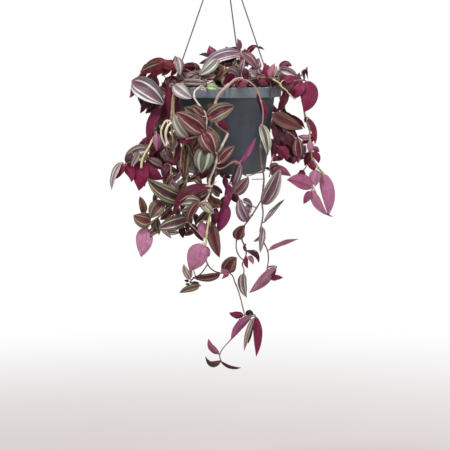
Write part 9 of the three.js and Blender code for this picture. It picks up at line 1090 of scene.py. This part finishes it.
# ------------------------------------------------------------------ materials
def leaf_material():
    m = Nodes("tradescantia_leaf")
    lu, lv = m.attr("lu").outputs["Fac"], m.attr("lv").outputs["Fac"]
    face, seed = m.attr("face").outputs["Fac"], m.attr("seed").outputs["Fac"]
    wide, strong, length = m.attr("wide").outputs["Fac"], m.attr("strong").outputs["Fac"], m.attr("length").outputs["Fac"]
    rim_l, rim_r = m.attr("rim_l").outputs["Fac"], m.attr("rim_r").outputs["Fac"]
    mid, stripe = m.attr("c_mid").outputs["Color"], m.attr("c_stripe").outputs["Color"]
    outer, under = m.attr("c_out").outputs["Color"], m.attr("c_under").outputs["Color"]
    au = m.math("ABSOLUTE", lu)
    # streaks run from base to tip, as the veins do
    run = m.math("MULTIPLY", lv, m.math("MULTIPLY", length, 0.05))
    fine = m.noise(m.vec(m.math("MULTIPLY", lu, 13.0), run, seed), 1.0, 3.0, 0.62)
    broad = m.noise(m.vec(m.math("MULTIPLY", lu, 3.6), m.math("MULTIPLY", run, 0.8), m.math("ADD", seed, 11.0)), 1.0, 2.0, 0.5)
    blot = m.noise(m.vec(m.math("MULTIPLY", lu, 1.6), m.math("MULTIPLY", run, 1.7), m.math("ADD", seed, 31.0)), 1.0, 2.0, 0.5)
    # the two silver bands: their centre line wavers, their width grows a little outwards
    centre = m.math("ADD", 0.46, m.math("MULTIPLY", m.math("SUBTRACT", broad, 0.5), 0.12))
    off = m.math("ABSOLUTE", m.math("SUBTRACT", au, centre))
    wide2 = m.math("MULTIPLY", wide, m.math("ADD", 0.72, m.math("MULTIPLY", fine, 0.7)))
    band = m.n("ShaderNodeMapRange", interpolation_type="SMOOTHSTEP")
    m.link(off, band.inputs["Value"])
    m.link(m.math("MULTIPLY", wide2, 1.75), band.inputs["From Min"])
    m.link(m.math("MULTIPLY", wide2, 0.55), band.inputs["From Max"])
    ends = m.math("MULTIPLY", m.ramp(lv, 0.015, 0.09), m.ramp(lv, 0.995, 0.93))
    band = m.math("MULTIPLY", band.outputs["Result"], ends)
    band = m.math("MULTIPLY", band, strong, clamp=True)
    band = m.math("MULTIPLY", band, m.ramp(fine, 0.12, 0.46))
    inside = m.ramp(au, 0.5, 0.4)
    base = m.mix(inside, outer, mid)
    # fine silver hairs of colour beside the bands
    hair = m.math("MULTIPLY", m.ramp(fine, 0.54, 0.72), m.ramp(off, 0.24, 0.05))
    hair = m.math("MULTIPLY", hair, m.math("MULTIPLY", strong, 0.5))
    base = m.mix(hair, base, stripe)
    # greenish grey streaks outside the bands
    grey = m.math("MULTIPLY", m.math("MULTIPLY", m.ramp(fine, 0.46, 0.6), m.ramp(au, 0.52, 0.66)), 0.32)
    base = m.mix(grey, base, m.mix(0.5, outer, tuple(lin((168, 170, 146)))))
    dark = m.math("MULTIPLY", m.ramp(fine, 0.5, 0.33), 0.55)
    base = m.mix(dark, base, m.mix(1.0, base, (0.42, 0.36, 0.38), "MULTIPLY"))
    thread = m.noise(m.vec(m.math("MULTIPLY", lu, 30.0), m.math("MULTIPLY", run, 1.3), m.math("ADD", seed, 47.0)), 1.0, 2.0, 0.55)
    base = m.mix(m.math("MULTIPLY", m.ramp(thread, 0.56, 0.7), m.math("MULTIPLY", strong, 0.34)), base, stripe)
    base = m.mix(m.math("MULTIPLY", m.ramp(thread, 0.46, 0.33), 0.6), base, m.mix(1.0, base, (0.42, 0.36, 0.38), "MULTIPLY"))
    base = m.mix(m.math("MULTIPLY", m.ramp(blot, 0.42, 0.64), 0.22), base, m.mix(1.0, base, (1.45, 1.4, 1.35), "MULTIPLY"))
    top = m.mix(band, base, stripe)
    # pale margin on some leaves
    left = m.math("MULTIPLY", m.ramp(lu, -0.66, -0.84), rim_l)
    right = m.math("MULTIPLY", m.ramp(lu, 0.66, 0.84), rim_r)
    rim = m.math("MULTIPLY", m.math("MAXIMUM", left, right), m.ramp(fine, 0.2, 0.5))
    top = m.mix(rim, top, stripe)
    # wine colour washes in from the base
    top = m.mix(m.math("MULTIPLY", m.ramp(lv, 0.36, 0.03), m.math("MULTIPLY", strong, 0.42)), top, under)
    rib = m.math("MULTIPLY", m.ramp(au, 0.045, 0.012), 0.35)
    top = m.mix(rib, top, m.mix(1.0, top, (0.5, 0.42, 0.45), "MULTIPLY"))
    edge = m.math("MULTIPLY", m.ramp(au, 0.955, 0.995), 0.62)
    top = m.mix(edge, top, m.mix(1.0, outer, (0.5, 0.34, 0.4), "MULTIPLY"))
    # underside: wine, with faint streaks, a paler rib and a darker rim
    u1 = m.mix(m.math("MULTIPLY", m.ramp(fine, 0.38, 0.64), 0.5), under, m.mix(1.0, under, (1.5, 1.75, 1.5), "MULTIPLY"))
    u1 = m.mix(m.math("MULTIPLY", m.ramp(thread, 0.48, 0.35), 0.55), u1, m.mix(1.0, under, (0.46, 0.46, 0.5), "MULTIPLY"))
    # the pale thread streaks are partly the leaf's own fine veins and partly painted highlight standing in for its
    # gloss
    u1 = m.mix(m.math("MULTIPLY", m.ramp(thread, 0.55, 0.7), 0.3), u1, m.mix(1.0, under, (1.5, 2.0, 1.75), "MULTIPLY"))
    u1 = m.mix(m.math("MULTIPLY", m.ramp(blot, 0.6, 0.36), 0.3), u1, m.mix(1.0, under, (0.6, 0.6, 0.62), "MULTIPLY"))
    u1 = m.mix(m.math("MULTIPLY", m.ramp(blot, 0.48, 0.7), 0.45), u1, m.mix(1.0, under, (1.55, 1.8, 1.6), "MULTIPLY"))
    u1 = m.mix(m.math("MULTIPLY", m.ramp(au, 0.07, 0.02), 0.3), u1, m.mix(1.0, under, (1.6, 1.9, 1.7), "MULTIPLY"))
    u1 = m.mix(m.math("MULTIPLY", m.ramp(au, 0.78, 1.0), 0.55), u1, m.mix(1.0, under, (0.46, 0.55, 0.56), "MULTIPLY"))
    col = m.mix(m.ramp(face, -0.12, 0.02), u1, top)
    # base turns to the stem's rosy cream, tip browns slightly
    col = m.mix(m.math("MULTIPLY", m.ramp(lv, 0.05, 0.0), 0.5), col, tuple(lin((190, 132, 128))))
    col = m.mix(m.math("MULTIPLY", m.ramp(lv, 0.955, 1.0), 0.5), col, tuple(lin((92, 50, 46))))
    m.link(col, m.bsdf.inputs["Base Color"])
    rough = m.math("ADD", 0.40, m.math("MULTIPLY", blot, 0.16))
    m.link(rough, m.bsdf.inputs["Roughness"])
    m.bsdf.inputs["Specular IOR Level"].default_value = 0.24
    m.bsdf.inputs["Subsurface Weight"].default_value = 0.12
    m.bsdf.inputs["Subsurface Radius"].default_value = (0.9, 0.35, 0.4)
    m.bsdf.inputs["Subsurface Scale"].default_value = 0.0016
    # raised parallel veins and the fine cells of the skin
    veins = m.math("SINE", m.math("MULTIPLY", lu, 46.0))
    veins = m.math("ADD", m.math("MULTIPLY", veins, 0.5), m.math("MULTIPLY", fine, 1.6))
    cells = m.noise(m.n("ShaderNodeTexCoord").outputs["Object"], 1700.0, 2.0, 0.6)
    n1 = m.bump(veins, 0.55, 0.00022)
    n2 = m.bump(cells, 0.35, 0.00012, n1)
    m.link(n2, m.bsdf.inputs["Normal"])
    return m.mat


def stem_material():
    m = Nodes("tradescantia_stem")
    col, joint, sheath = m.attr("c_stem").outputs["Color"], m.attr("joint").outputs["Fac"], m.attr("sheath").outputs["Fac"]
    along, ca, sa = m.attr("along").outputs["Fac"], m.attr("ca").outputs["Fac"], m.attr("sa").outputs["Fac"]
    rosy = m.attr("rosy").outputs["Fac"]
    streak = m.noise(m.vec(m.math("MULTIPLY", ca, 2.6), m.math("MULTIPLY", sa, 2.6), m.math("MULTIPLY", along, 0.045)), 1.0, 3.0, 0.6)
    patch = m.noise(m.vec(ca, sa, m.math("MULTIPLY", along, 0.06)), 1.0, 2.0, 0.5)
    flecks = m.noise(m.n("ShaderNodeTexCoord").outputs["Object"], 900.0, 2.0, 0.6)
    c = m.mix(m.math("MULTIPLY", m.ramp(streak, 0.44, 0.66), 0.55), col, m.mix(1.0, col, (0.6, 0.52, 0.46), "MULTIPLY"))
    c = m.mix(m.math("MULTIPLY", m.ramp(streak, 0.42, 0.3), 0.4), c, m.mix(1.0, col, (1.22, 1.24, 1.2), "MULTIPLY"))
    c = m.mix(m.math("MULTIPLY", m.ramp(patch, 0.42, 0.62), rosy), c, tuple(lin((184, 116, 120))))
    c = m.mix(m.math("MULTIPLY", joint, 0.5), c, m.mix(0.5, col, tuple(lin((188, 180, 118)))))
    c = m.mix(m.math("MULTIPLY", sheath, 0.4), c, m.mix(0.5, col, tuple(lin((200, 178, 156)))))
    c = m.mix(m.math("MULTIPLY", m.ramp(flecks, 0.6, 0.68), 0.4), c, tuple(lin((150, 70, 80))))
    m.link(c, m.bsdf.inputs["Base Color"])
    m.link(m.math("ADD", 0.42, m.math("MULTIPLY", streak, 0.2)), m.bsdf.inputs["Roughness"])
    m.bsdf.inputs["Subsurface Weight"].default_value = 0.15
    m.bsdf.inputs["Subsurface Radius"].default_value = (1.0, 0.6, 0.4)
    m.bsdf.inputs["Subsurface Scale"].default_value = 0.0015
    n1 = m.bump(streak, 0.5, 0.0002)
    m.link(m.bump(flecks, 0.25, 0.0001, n1), m.bsdf.inputs["Normal"])
    return m.mat


def pot_material():
    m = Nodes("pot_plastic")
    co = m.n("ShaderNodeTexCoord").outputs["Object"]
    grain = m.noise(co, 2600.0, 2.0, 0.6)
    cloud = m.noise(co, 16.0, 3.0, 0.55)
    sep = m.n("ShaderNodeSeparateXYZ")
    m.link(co, sep.inputs[0])
    # water marks and dust run down the wall
    runs = m.noise(m.vec(m.math("MULTIPLY", sep.outputs[0], 90.0), m.math("MULTIPLY", sep.outputs[1], 90.0), m.math("MULTIPLY", sep.outputs[2], 7.0)), 1.0, 3.0, 0.6)
    turn = m.noise(m.vec(0.0, 0.0, m.math("MULTIPLY", sep.outputs[2], 420.0)), 1.0, 2.0, 0.5)
    a, b = tuple(lin((52, 58, 66))), tuple(lin((67, 74, 84)))
    c = m.mix(m.ramp(cloud, 0.3, 0.7), a, b)
    c = m.mix(m.math("MULTIPLY", m.ramp(runs, 0.56, 0.78), 0.3), c, tuple(lin((92, 98, 103))))
    c = m.mix(m.math("MULTIPLY", m.ramp(grain, 0.55, 0.75), 0.12), c, tuple(lin((110, 116, 124))))
    low = m.math("MULTIPLY", m.ramp(sep.outputs[2], -0.362, -0.393), m.math("MULTIPLY", m.ramp(cloud, 0.35, 0.65), 0.3))
    c = m.mix(low, c, tuple(lin((96, 88, 78))))
    # painted light: the rim is painted paler than the wall, where its outer face catches more light
    rim = m.math("MULTIPLY", m.ramp(sep.outputs[2], -0.2748, -0.2722), m.math("ADD", 0.62, m.math("MULTIPLY", cloud, 0.3)))
    c = m.mix(rim, c, tuple(lin((126, 135, 143))))
    m.link(c, m.bsdf.inputs["Base Color"])
    m.link(m.math("ADD", 0.34, m.math("ADD", m.math("MULTIPLY", cloud, 0.16), m.math("MULTIPLY", m.ramp(runs, 0.5, 0.8), 0.2))), m.bsdf.inputs["Roughness"])
    m.bsdf.inputs["Specular IOR Level"].default_value = 0.5
    n1 = m.bump(turn, 0.3, 0.00012)
    m.link(m.bump(grain, 0.35, 0.00008, n1), m.bsdf.inputs["Normal"])
    return m.mat


def hanger_material():
    m = Nodes("hanger_plastic")
    co = m.n("ShaderNodeTexCoord").outputs["Object"]
    grain = m.noise(co, 1500.0, 2.0, 0.6)
    cloud = m.noise(co, 40.0, 3.0, 0.55)
    c = m.mix(m.ramp(cloud, 0.3, 0.7), tuple(lin((78, 82, 88))), tuple(lin((98, 103, 108))))
    c = m.mix(m.math("MULTIPLY", m.ramp(grain, 0.55, 0.75), 0.2), c, tuple(lin((130, 134, 138))))
    m.link(c, m.bsdf.inputs["Base Color"])
    m.link(m.math("ADD", 0.32, m.math("MULTIPLY", cloud, 0.2)), m.bsdf.inputs["Roughness"])
    m.link(m.bump(grain, 0.3, 0.00008), m.bsdf.inputs["Normal"])
    return m.mat


def soil_material():
    m = Nodes("potting_mix")
    co = m.n("ShaderNodeTexCoord").outputs["Object"]
    tone = m.attr("bit").outputs["Color"]
    coarse = m.noise(co, 320.0, 4.0, 0.7)
    fine = m.noise(co, 1500.0, 3.0, 0.7)
    c = m.mix(m.ramp(coarse, 0.38, 0.62), m.mix(1.0, tone, (0.45, 0.42, 0.4), "MULTIPLY"), tone)
    c = m.mix(m.math("MULTIPLY", m.ramp(fine, 0.58, 0.7), 0.5), c, m.mix(1.0, tone, (1.7, 1.6, 1.45), "MULTIPLY"))
    m.link(c, m.bsdf.inputs["Base Color"])
    m.link(m.math("ADD", 0.78, m.math("MULTIPLY", fine, 0.18)), m.bsdf.inputs["Roughness"])
    n1 = m.bump(coarse, 0.8, 0.0012)
    m.link(m.bump(fine, 0.6, 0.0004, n1), m.bsdf.inputs["Normal"])
    return m.mat


LEAF, STEM_MAT, POT, HANGER, SOIL = leaf_material(), stem_material(), pot_material(), hanger_material(), soil_material()


# ------------------------------------------------------------------ shoots
def stem_mesh(mesh, P, R, tone, marks, rosy, rng, sides=10, taper_end=True):
    """A stem with swollen joints and a sheath above each; marks are the distances of the joints."""
    d = np.concatenate([[0], np.cumsum(np.linalg.norm(np.diff(P, axis=0), axis=1))])
    joint, sheath = np.zeros(len(P)), np.zeros(len(P))
    for k in marks:
        joint = np.maximum(joint, np.exp(-(((d - k) / 1.7) ** 2)))
        up = d - k
        sheath = np.maximum(sheath, np.where((up > -0.6) & (up < 8.0), 1 - np.abs(up) / 8.0, 0))
    wob = 1 + 0.05 * np.sin(d * 0.33 + rng.uniform(0, 6)) + 0.03 * np.sin(d * 0.9 + rng.uniform(0, 6))
    R2 = R * wob * (1 + 0.26 * joint + 0.16 * sheath)
    V, F = tube(P, R2, sides)
    n = len(P)
    ang = np.arange(sides) / sides * 2 * math.pi

    def spread(x):
        return np.concatenate([np.repeat(x, sides), [x[0], x[-1]]])

    mesh.add(
        V, F, joint=spread(joint), sheath=spread(sheath), along=spread(d + rng.uniform(0, 500)),
        ca=np.concatenate([np.tile(np.cos(ang), n), [0, 0]]), sa=np.concatenate([np.tile(np.sin(ang), n), [0, 0]]),
        rosy=np.full(n * sides + 2, rosy), c_stem=np.tile(STEM[tone] * rng.uniform(0.92, 1.05), (n * sides + 2, 1)),
    )


def build_shoot(name, letter, number):
    leaves, stems = Mesh(), Mesh()
    mine = [s for s in STEMS if s[0] == letter]
    paths = [catmull(s[4], 1.5) for s in mine]
    marks = [[] for _ in mine]
    leaf_rows = [(i, L) for i, L in enumerate(LEAVES) if L[0] == letter]
    for i, L in leaf_rows:
        V, F, at, (C, D, A, N) = leaf_data(L, i)
        leaves.add(V, F, **at)
        rng = np.random.RandomState(5000 + i)
        root = np.array(L[9], float)
        best = min(((np.linalg.norm(p - root, axis=1).min(), j, int(np.linalg.norm(p - root, axis=1).argmin())) for j, p in enumerate(paths)), default=None)
        tone = mine[best[1]][3] if best else "pink"
        size = np.linalg.norm(np.array(L[3], float) - np.array(L[1], float))
        if best and best[0] < 4.0:
            p = paths[best[1]]
            d = np.linalg.norm(np.diff(p[: best[2] + 1], axis=0), axis=1).sum() if best[2] else 0.0
            marks[best[1]].append(d)
            root = p[best[2]]
        # stalk: from the stem, round into the base of the blade, running out along the rib underneath
        k = max(2, int(len(C) * 0.22))
        gap = np.linalg.norm(C[0] - root)
        a = root
        b = C[0] - D[0] * min(gap * 0.45, 9.0)
        pts = [a]
        if gap > 2.0:
            pts.append(a + (b - a) * 0.55 + (rng.uniform(-1, 1, 3) * min(1.2, gap * 0.05)))
            pts.append(b * 0.35 + C[0] * 0.65)
        pts += [C[q] - N[q] * 0.25 for q in range(0, k, 2)]
        Q = catmull(pts, 1.1)
        w = np.linspace(0, 1, len(Q))
        thick = 0.62 + 0.012 * size if gap < 10 else 0.8 + 0.012 * size
        Rq = thick * (1 - 0.72 * w**1.3)
        Rq[0] *= 1.25
        ks = [8.0 * math.ceil(gap / 22.0) * q for q in range(1, int(gap // 18) + 1)] if gap > 18 else []
        stem_mesh(stems, Q, Rq, tone, ks, 0.5 if tone not in ("olive", "green", "trail", "pale") else 0.25, rng, sides=7)
    for s, P, mk in zip(mine, paths, marks):
        rng = np.random.RandomState(int(abs(P[0].sum() * 10)) % 100000)
        d = np.concatenate([[0], np.cumsum(np.linalg.norm(np.diff(P, axis=0), axis=1))])
        joints = []
        for q in sorted(mk):
            if not joints or q - joints[-1] > 7:
                joints.append(q)
        pitch = rng.uniform(24, 34)
        for q in np.arange(pitch * rng.uniform(0.5, 1), d[-1] - 6, pitch):
            if all(abs(q - j) > 12 for j in joints):
                joints.append(q)
        R = s[1] + (s[2] - s[1]) * d / d[-1]
        rosy = {"pink": 0.65, "cream": 0.3, "cream2": 0.22, "cream3": 0.35, "arch": 0.35, "arch2": 0.4, "pale2": 0.04, "pale": 0.06, "beige": 0.25, "trail": 0.25, "olive": 0.12, "green": 0.08, "brown": 0.3}[s[3]]
        stem_mesh(stems, P, R, s[3], joints, rosy, rng)
    made = []
    if leaves.n:
        lo = leaves.make(name + "_leaves", LEAF)
        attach(lo, "root")
        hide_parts(name)
        made.append(lo)
    so = stems.make(name + "_stems", STEM_MAT)
    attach(so, "root")
    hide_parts(name)
    made.append(so)
    return made


for number, (letter, name) in enumerate(SHOOTS):
    build_shoot(name, letter, number)


# ------------------------------------------------------------------ pot
POT_X = 5.0
RIM, FOOT, SKIRT = -257.5, -392.5, -273.5


def build_pot():
    prof = [
        (0, FOOT + 2), (53, FOOT + 2), (54.5, FOOT), (59.3, FOOT), (61.9, FOOT + 2.2), (76.2, SKIRT), (76.8, RIM - 2.6), (82.6, RIM - 2.2),
        (82.8, SKIRT), (84.4, SKIRT), (85, RIM - 1.2), (83.8, RIM), (76.4, RIM), (75.2, RIM - 1.2), (74.6, SKIRT), (60.9, FOOT + 5), (0, FOOT + 3.6),
    ]
    fine = rounded(prof, 0.9, 4)
    # long straight runs are cut, so that the wall shades evenly
    cut = [fine[0]]
    for p in fine[1:]:
        q = cut[-1]
        n = int(math.hypot(p[0] - q[0], p[1] - q[1]) // 9)
        for k in range(1, n + 1):
            cut.append((q[0] + (p[0] - q[0]) * k / (n + 1), q[1] + (p[1] - q[1]) * k / (n + 1)))
        cut.append(p)
    mesh = Mesh()
    V, F = lathe(cut, 128, POT_X)
    mesh.add(V, F)
    pot = mesh.make("pot_shell", POT)
    holes = Mesh()
    for k in range(6):
        a = 0.2 + k * math.pi / 3
        V, F = lathe([(0, FOOT - 4), (2.3, FOOT - 4), (2.3, FOOT + 9), (0, FOOT + 9)], 24, 0)
        V = V + np.array([POT_X + 38 * math.cos(a), 38 * math.sin(a), 0])
        holes.add(V, F)
    cutter = holes.make("cutter", POT)
    mod = pot.modifiers.new("holes", "BOOLEAN")
    mod.operation, mod.solver, mod.object = "DIFFERENCE", "EXACT", cutter
    dg = bpy.context.evaluated_depsgraph_get()
    new = bpy.data.meshes.new_from_object(pot.evaluated_get(dg))
    pot.modifiers.clear()
    pot.data = new
    bpy.data.objects.remove(cutter)
    for p in new.polygons:
        p.use_smooth = True
    new.set_sharp_from_angle(angle=math.radians(42))
    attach(pot, "root")
    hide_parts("pot")
    return pot


def blob(centre, size, rng, lumps=1):
    """A small closed crumb: a bent octahedron cut once."""
    t = (1 + 5**0.5) / 2
    V = unit(np.array([(-1, t, 0), (1, t, 0), (-1, -t, 0), (1, -t, 0), (0, -1, t), (0, 1, t), (0, -1, -t), (0, 1, -t), (t, 0, -1), (t, 0, 1), (-t, 0, -1), (-t, 0, 1)], float))
    F = np.array([(0, 11, 5), (0, 5, 1), (0, 1, 7), (0, 7, 10), (0, 10, 11), (1, 5, 9), (5, 11, 4), (11, 10, 2), (10, 7, 6), (7, 1, 8), (3, 9, 4), (3, 4, 2), (3, 2, 6), (3, 6, 8), (3, 8, 9), (4, 9, 5), (2, 4, 11), (6, 2, 10), (8, 6, 7), (9, 8, 1)])
    V = V * rng.uniform(0.75, 1.25, (12, 1)) * np.array(size)
    a = rng.uniform(0, 6.28, 3)
    for ax, t in enumerate(a):
        c, s = math.cos(t), math.sin(t)
        i, j = (ax + 1) % 3, (ax + 2) % 3
        x, y = V[:, i].copy(), V[:, j].copy()
        V[:, i], V[:, j] = c * x - s * y, s * x + c * y
    return V + np.array(centre), F


def build_soil():
    rng = np.random.RandomState(77)
    mesh = Mesh()
    rings, seg = 40, 120
    prof_r = np.linspace(0, 1, rings + 1)[1:]

    def limit(z):
        return 60.9 + (74.6 - 60.9) * (z - (FOOT + 5)) / (SKIRT - FOOT - 5) - 0.35

    V = [(POT_X, 0, -266.0)]
    for r in prof_r:
        for k in range(seg):
            a = 2 * math.pi * k / seg
            R = r * 73.6
            x, y = R * math.cos(a), R * math.sin(a)
            n1 = noise.noise(Vector((x * 0.05, y * 0.05, 3.0)))
            n2 = noise.noise(Vector((x * 0.22, y * 0.22, 9.0)))
            n3 = noise.noise(Vector((x * 0.6, y * 0.6, 19.0)))
            edge = max(0.0, (r - 0.8) / 0.2)
            z = -266.4 - 2.2 * r**3 - 3.2 * edge**2 + (1.5 * n1 + 0.9 * n2 + 0.5 * n3) * (1 - 0.6 * edge)
            V.append((POT_X + x, y, z))
    base = len(V)
    down = []
    for z in (-276.5, -300.0, -330.0, -360.0, FOOT + 7.0):
        for k in range(seg):
            a = 2 * math.pi * k / seg
            R = limit(z) - (2.0 if z < -385 else 0)
            V.append((POT_X + R * math.cos(a), R * math.sin(a), z))
        down.append(z)
    V.append((POT_X, 0, FOOT + 4.4))
    last = len(V) - 1
    Q, T = [], []
    for k in range(seg):
        k2 = (k + 1) % seg
        T.append((0, 1 + k, 1 + k2))
        for i in range(rings - 1):
            a, b = 1 + i * seg, 1 + (i + 1) * seg
            Q.append((a + k, b + k, b + k2, a + k2))
        for i in range(len(down)):
            a = 1 + (rings - 1) * seg if i == 0 else base + (i - 1) * seg
            b = base + i * seg
            Q.append((a + k, b + k, b + k2, a + k2))
        b = base + (len(down) - 1) * seg
        T.append((last, b + k2, b + k))
    V = np.array(V)
    dark = lin((74, 56, 44))
    mesh.add(V, [np.array(Q), np.array(T)], bit=np.tile(dark, (len(V), 1)))
    top = V[: 1 + rings * seg]
    for k in range(1500):
        R, a = 71.0 * math.sqrt(rng.uniform(0, 1)), rng.uniform(0, 6.28)
        x, y = POT_X + R * math.cos(a), R * math.sin(a)
        z = top[np.argmin((top[:, 0] - x) ** 2 + (top[:, 1] - y) ** 2), 2]
        kind = rng.uniform()
        s = rng.uniform(0.5, 1.7)
        if kind < 0.07:
            size, c = (s * 0.8, s * 0.8, s * 0.7), lin((206, 200, 188))
        elif kind < 0.3:
            size, c = (s * 2.0, s * 0.6, s * 0.45), lin((112, 78, 54))
        else:
            size, c = (s, s * 0.85, s * 0.7), lin((66, 50, 40)) * rng.uniform(0.7, 1.5)
        Vb, Fb = blob((x, y, z + 0.25 * s), size, rng)
        Vb[:, 2] = np.maximum(Vb[:, 2], z - 2.0)
        mesh.add(Vb, [Fb], bit=np.tile(c, (12, 1)))
    soil = mesh.make("soil_surface", SOIL)
    soil.data.set_sharp_from_angle(angle=math.radians(50))
    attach(soil, "root")
    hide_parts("soil")


def build_hanger():
    for name, deg in (("left", 200.0), ("right", -37.0), ("rear", 73.0)):
        a = math.radians(deg)
        c, s = math.cos(a), math.sin(a)

        def at(r, z):
            return (POT_X + r * c, r * s, z)

        top, bend = np.array((1.4 * c, 1.4 * s, -39.4)), np.array(at(86.5, -255))
        pts = [top] + [tuple(top + (bend - top) * q) for q in (0.03, 0.1, 0.3, 0.5, 0.7, 0.9, 0.97)] + [tuple(bend)]
        pts += [at(86.6, -257.5), at(86.5, -260.5), at(86.5, -266), at(86.5, -272), at(86.5, -274), at(86, -275), at(84.9, -275.5), at(82.4, -275.5)]
        P = catmull(pts, 1.2)
        R = np.full(len(P), 1.0)
        mesh = Mesh()
        V, F = tube(P, R, 14)
        mesh.add(V, F)
        leg = mesh.make("hanger_wire_" + name, HANGER)
        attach(leg, "root")
        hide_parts("hanger_leg_" + name)
    mesh = Mesh()
    prof = rounded([(0, -38), (4.2, -38), (5.6, -36.6), (5.6, -32), (2.6, -29), (1.5, -28.2), (0, -28.2)], 0.8, 5)
    V, F = lathe(prof, 48, 0)
    mesh.add(V, F)
    arc = [(0, 0, -34), (0, 0, -30), (0, 0, -27)]
    for q in range(-70, 201, 9):
        t = math.radians(q)
        arc.append((11 * math.cos(t), 0, -9.5 + 11 * math.sin(t)))
    P = catmull(arc, 1.0)
    R = np.full(len(P), 1.5)
    R[-3:] = (1.45, 1.3, 0.9)
    V, F = tube(P, R, 20)
    mesh.add(V, F)
    hook = mesh.make("hanger_hook_top", HANGER)
    hook.data.set_sharp_from_angle(angle=math.radians(50))
    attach(hook, "root")
    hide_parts("hanger_hook")


build_pot()
build_soil()
build_hanger()


# ------------------------------------------------------------------ floor and light
def stage_material():
    """Pale floor; its outer part glows white as painted light, fading into the white of the studio at its rim."""
    m = Nodes("floor_paint_and_glow")
    co = m.n("ShaderNodeTexCoord").outputs["Object"]
    n = m.noise(co, 5.0, 2.0, 0.5)
    far = m.n("ShaderNodeVectorMath", operation="LENGTH")
    flat = m.n("ShaderNodeVectorMath", operation="MULTIPLY")
    m.link(co, flat.inputs[0])
    flat.inputs[1].default_value = (1.0, 1.0, 0.0)
    m.link(flat.outputs[0], far.inputs[0])
    out = m.ramp(far.outputs["Value"], 0.5, 2.25)
    c = m.mix(n, tuple(lin((193, 185, 185))), tuple(lin((199, 191, 191))))
    # towards the rim the colour gives way to a white glow: painted light, not a lamp
    c = m.mix(out, c, (0.0, 0.0, 0.0))
    m.link(c, m.bsdf.inputs["Base Color"])
    m.bsdf.inputs["Emission Color"].default_value = (1.0, 1.0, 1.0, 1.0)
    m.link(out, m.bsdf.inputs["Emission Strength"])
    m.bsdf.inputs["Roughness"].default_value = 0.95
    m.bsdf.inputs["Specular IOR Level"].default_value = 0.0
    return m.mat


floor = Mesh()
ring = [(2400 * math.cos(2 * math.pi * k / 96), 2400 * math.sin(2 * math.pi * k / 96), -1000) for k in range(96)]
floor.add(np.array([(0, 0, -1000)] + ring, float), [np.array([(0, 1 + k, 1 + (k + 1) % 96) for k in range(96)])])
floor = floor.make("floor", stage_material(), smooth=False)

world = bpy.data.worlds.new("studio")
world.use_nodes = True
world.node_tree.nodes["Background"].inputs["Color"].default_value = (1.0, 1.0, 1.0, 1.0)
back = world.node_tree.nodes["Background"]
back.inputs["Strength"].default_value = 0.42
seen = world.node_tree.nodes.new("ShaderNodeBackground")
seen.inputs["Color"].default_value = (1.0, 1.0, 1.0, 1.0)
seen.inputs["Strength"].default_value = 1.0
where = world.node_tree.nodes.new("ShaderNodeTexCoord")
parts = world.node_tree.nodes.new("ShaderNodeSeparateXYZ")
fade = world.node_tree.nodes.new("ShaderNodeMapRange")
fade.inputs["From Min"].default_value, fade.inputs["From Max"].default_value = -0.8, 0.9
fade.inputs["To Min"].default_value, fade.inputs["To Max"].default_value = 0.17, 0.58
world.node_tree.links.new(where.outputs["Generated"], parts.inputs[0])
world.node_tree.links.new(parts.outputs[2], fade.inputs["Value"])
world.node_tree.links.new(fade.outputs["Result"], back.inputs["Strength"])
path = world.node_tree.nodes.new("ShaderNodeLightPath")
pick = world.node_tree.nodes.new("ShaderNodeMixShader")
world.node_tree.links.new(path.outputs["Is Camera Ray"], pick.inputs[0])
world.node_tree.links.new(back.outputs[0], pick.inputs[1])
world.node_tree.links.new(seen.outputs[0], pick.inputs[2])
world.node_tree.links.new(pick.outputs[0], world.node_tree.nodes["World Output"].inputs["Surface"])
bpy.context.scene.world = world


def softbox(name, at, look, size, power, colour=(1, 1, 1)):
    data = bpy.data.lights.new(name, "AREA")
    data.shape, data.size = "DISK", size
    data.energy, data.color = power, colour
    obj = bpy.data.objects.new(name, data)
    obj.location = at
    obj.rotation_euler = (Vector(look) - Vector(at)).to_track_quat("-Z", "Y").to_euler()
    obj.visible_camera = False
    bpy.context.scene.collection.objects.link(obj)


softbox("key", (-0.7, -1.3, 1.7), (0, 0, -0.3), 0.7, 52)
softbox("fill", (1.7, -1.5, 0.3), (0, 0, -0.35), 0.9, 13)
softbox("back", (0.6, 1.6, 0.9), (0, 0, -0.3), 1.0, 24)

scene = bpy.context.scene
scene.view_settings.view_transform = "Standard"
scene.view_settings.look = "None"
scene.view_settings.exposure = 0.0
scene.view_settings.gamma = 1.0
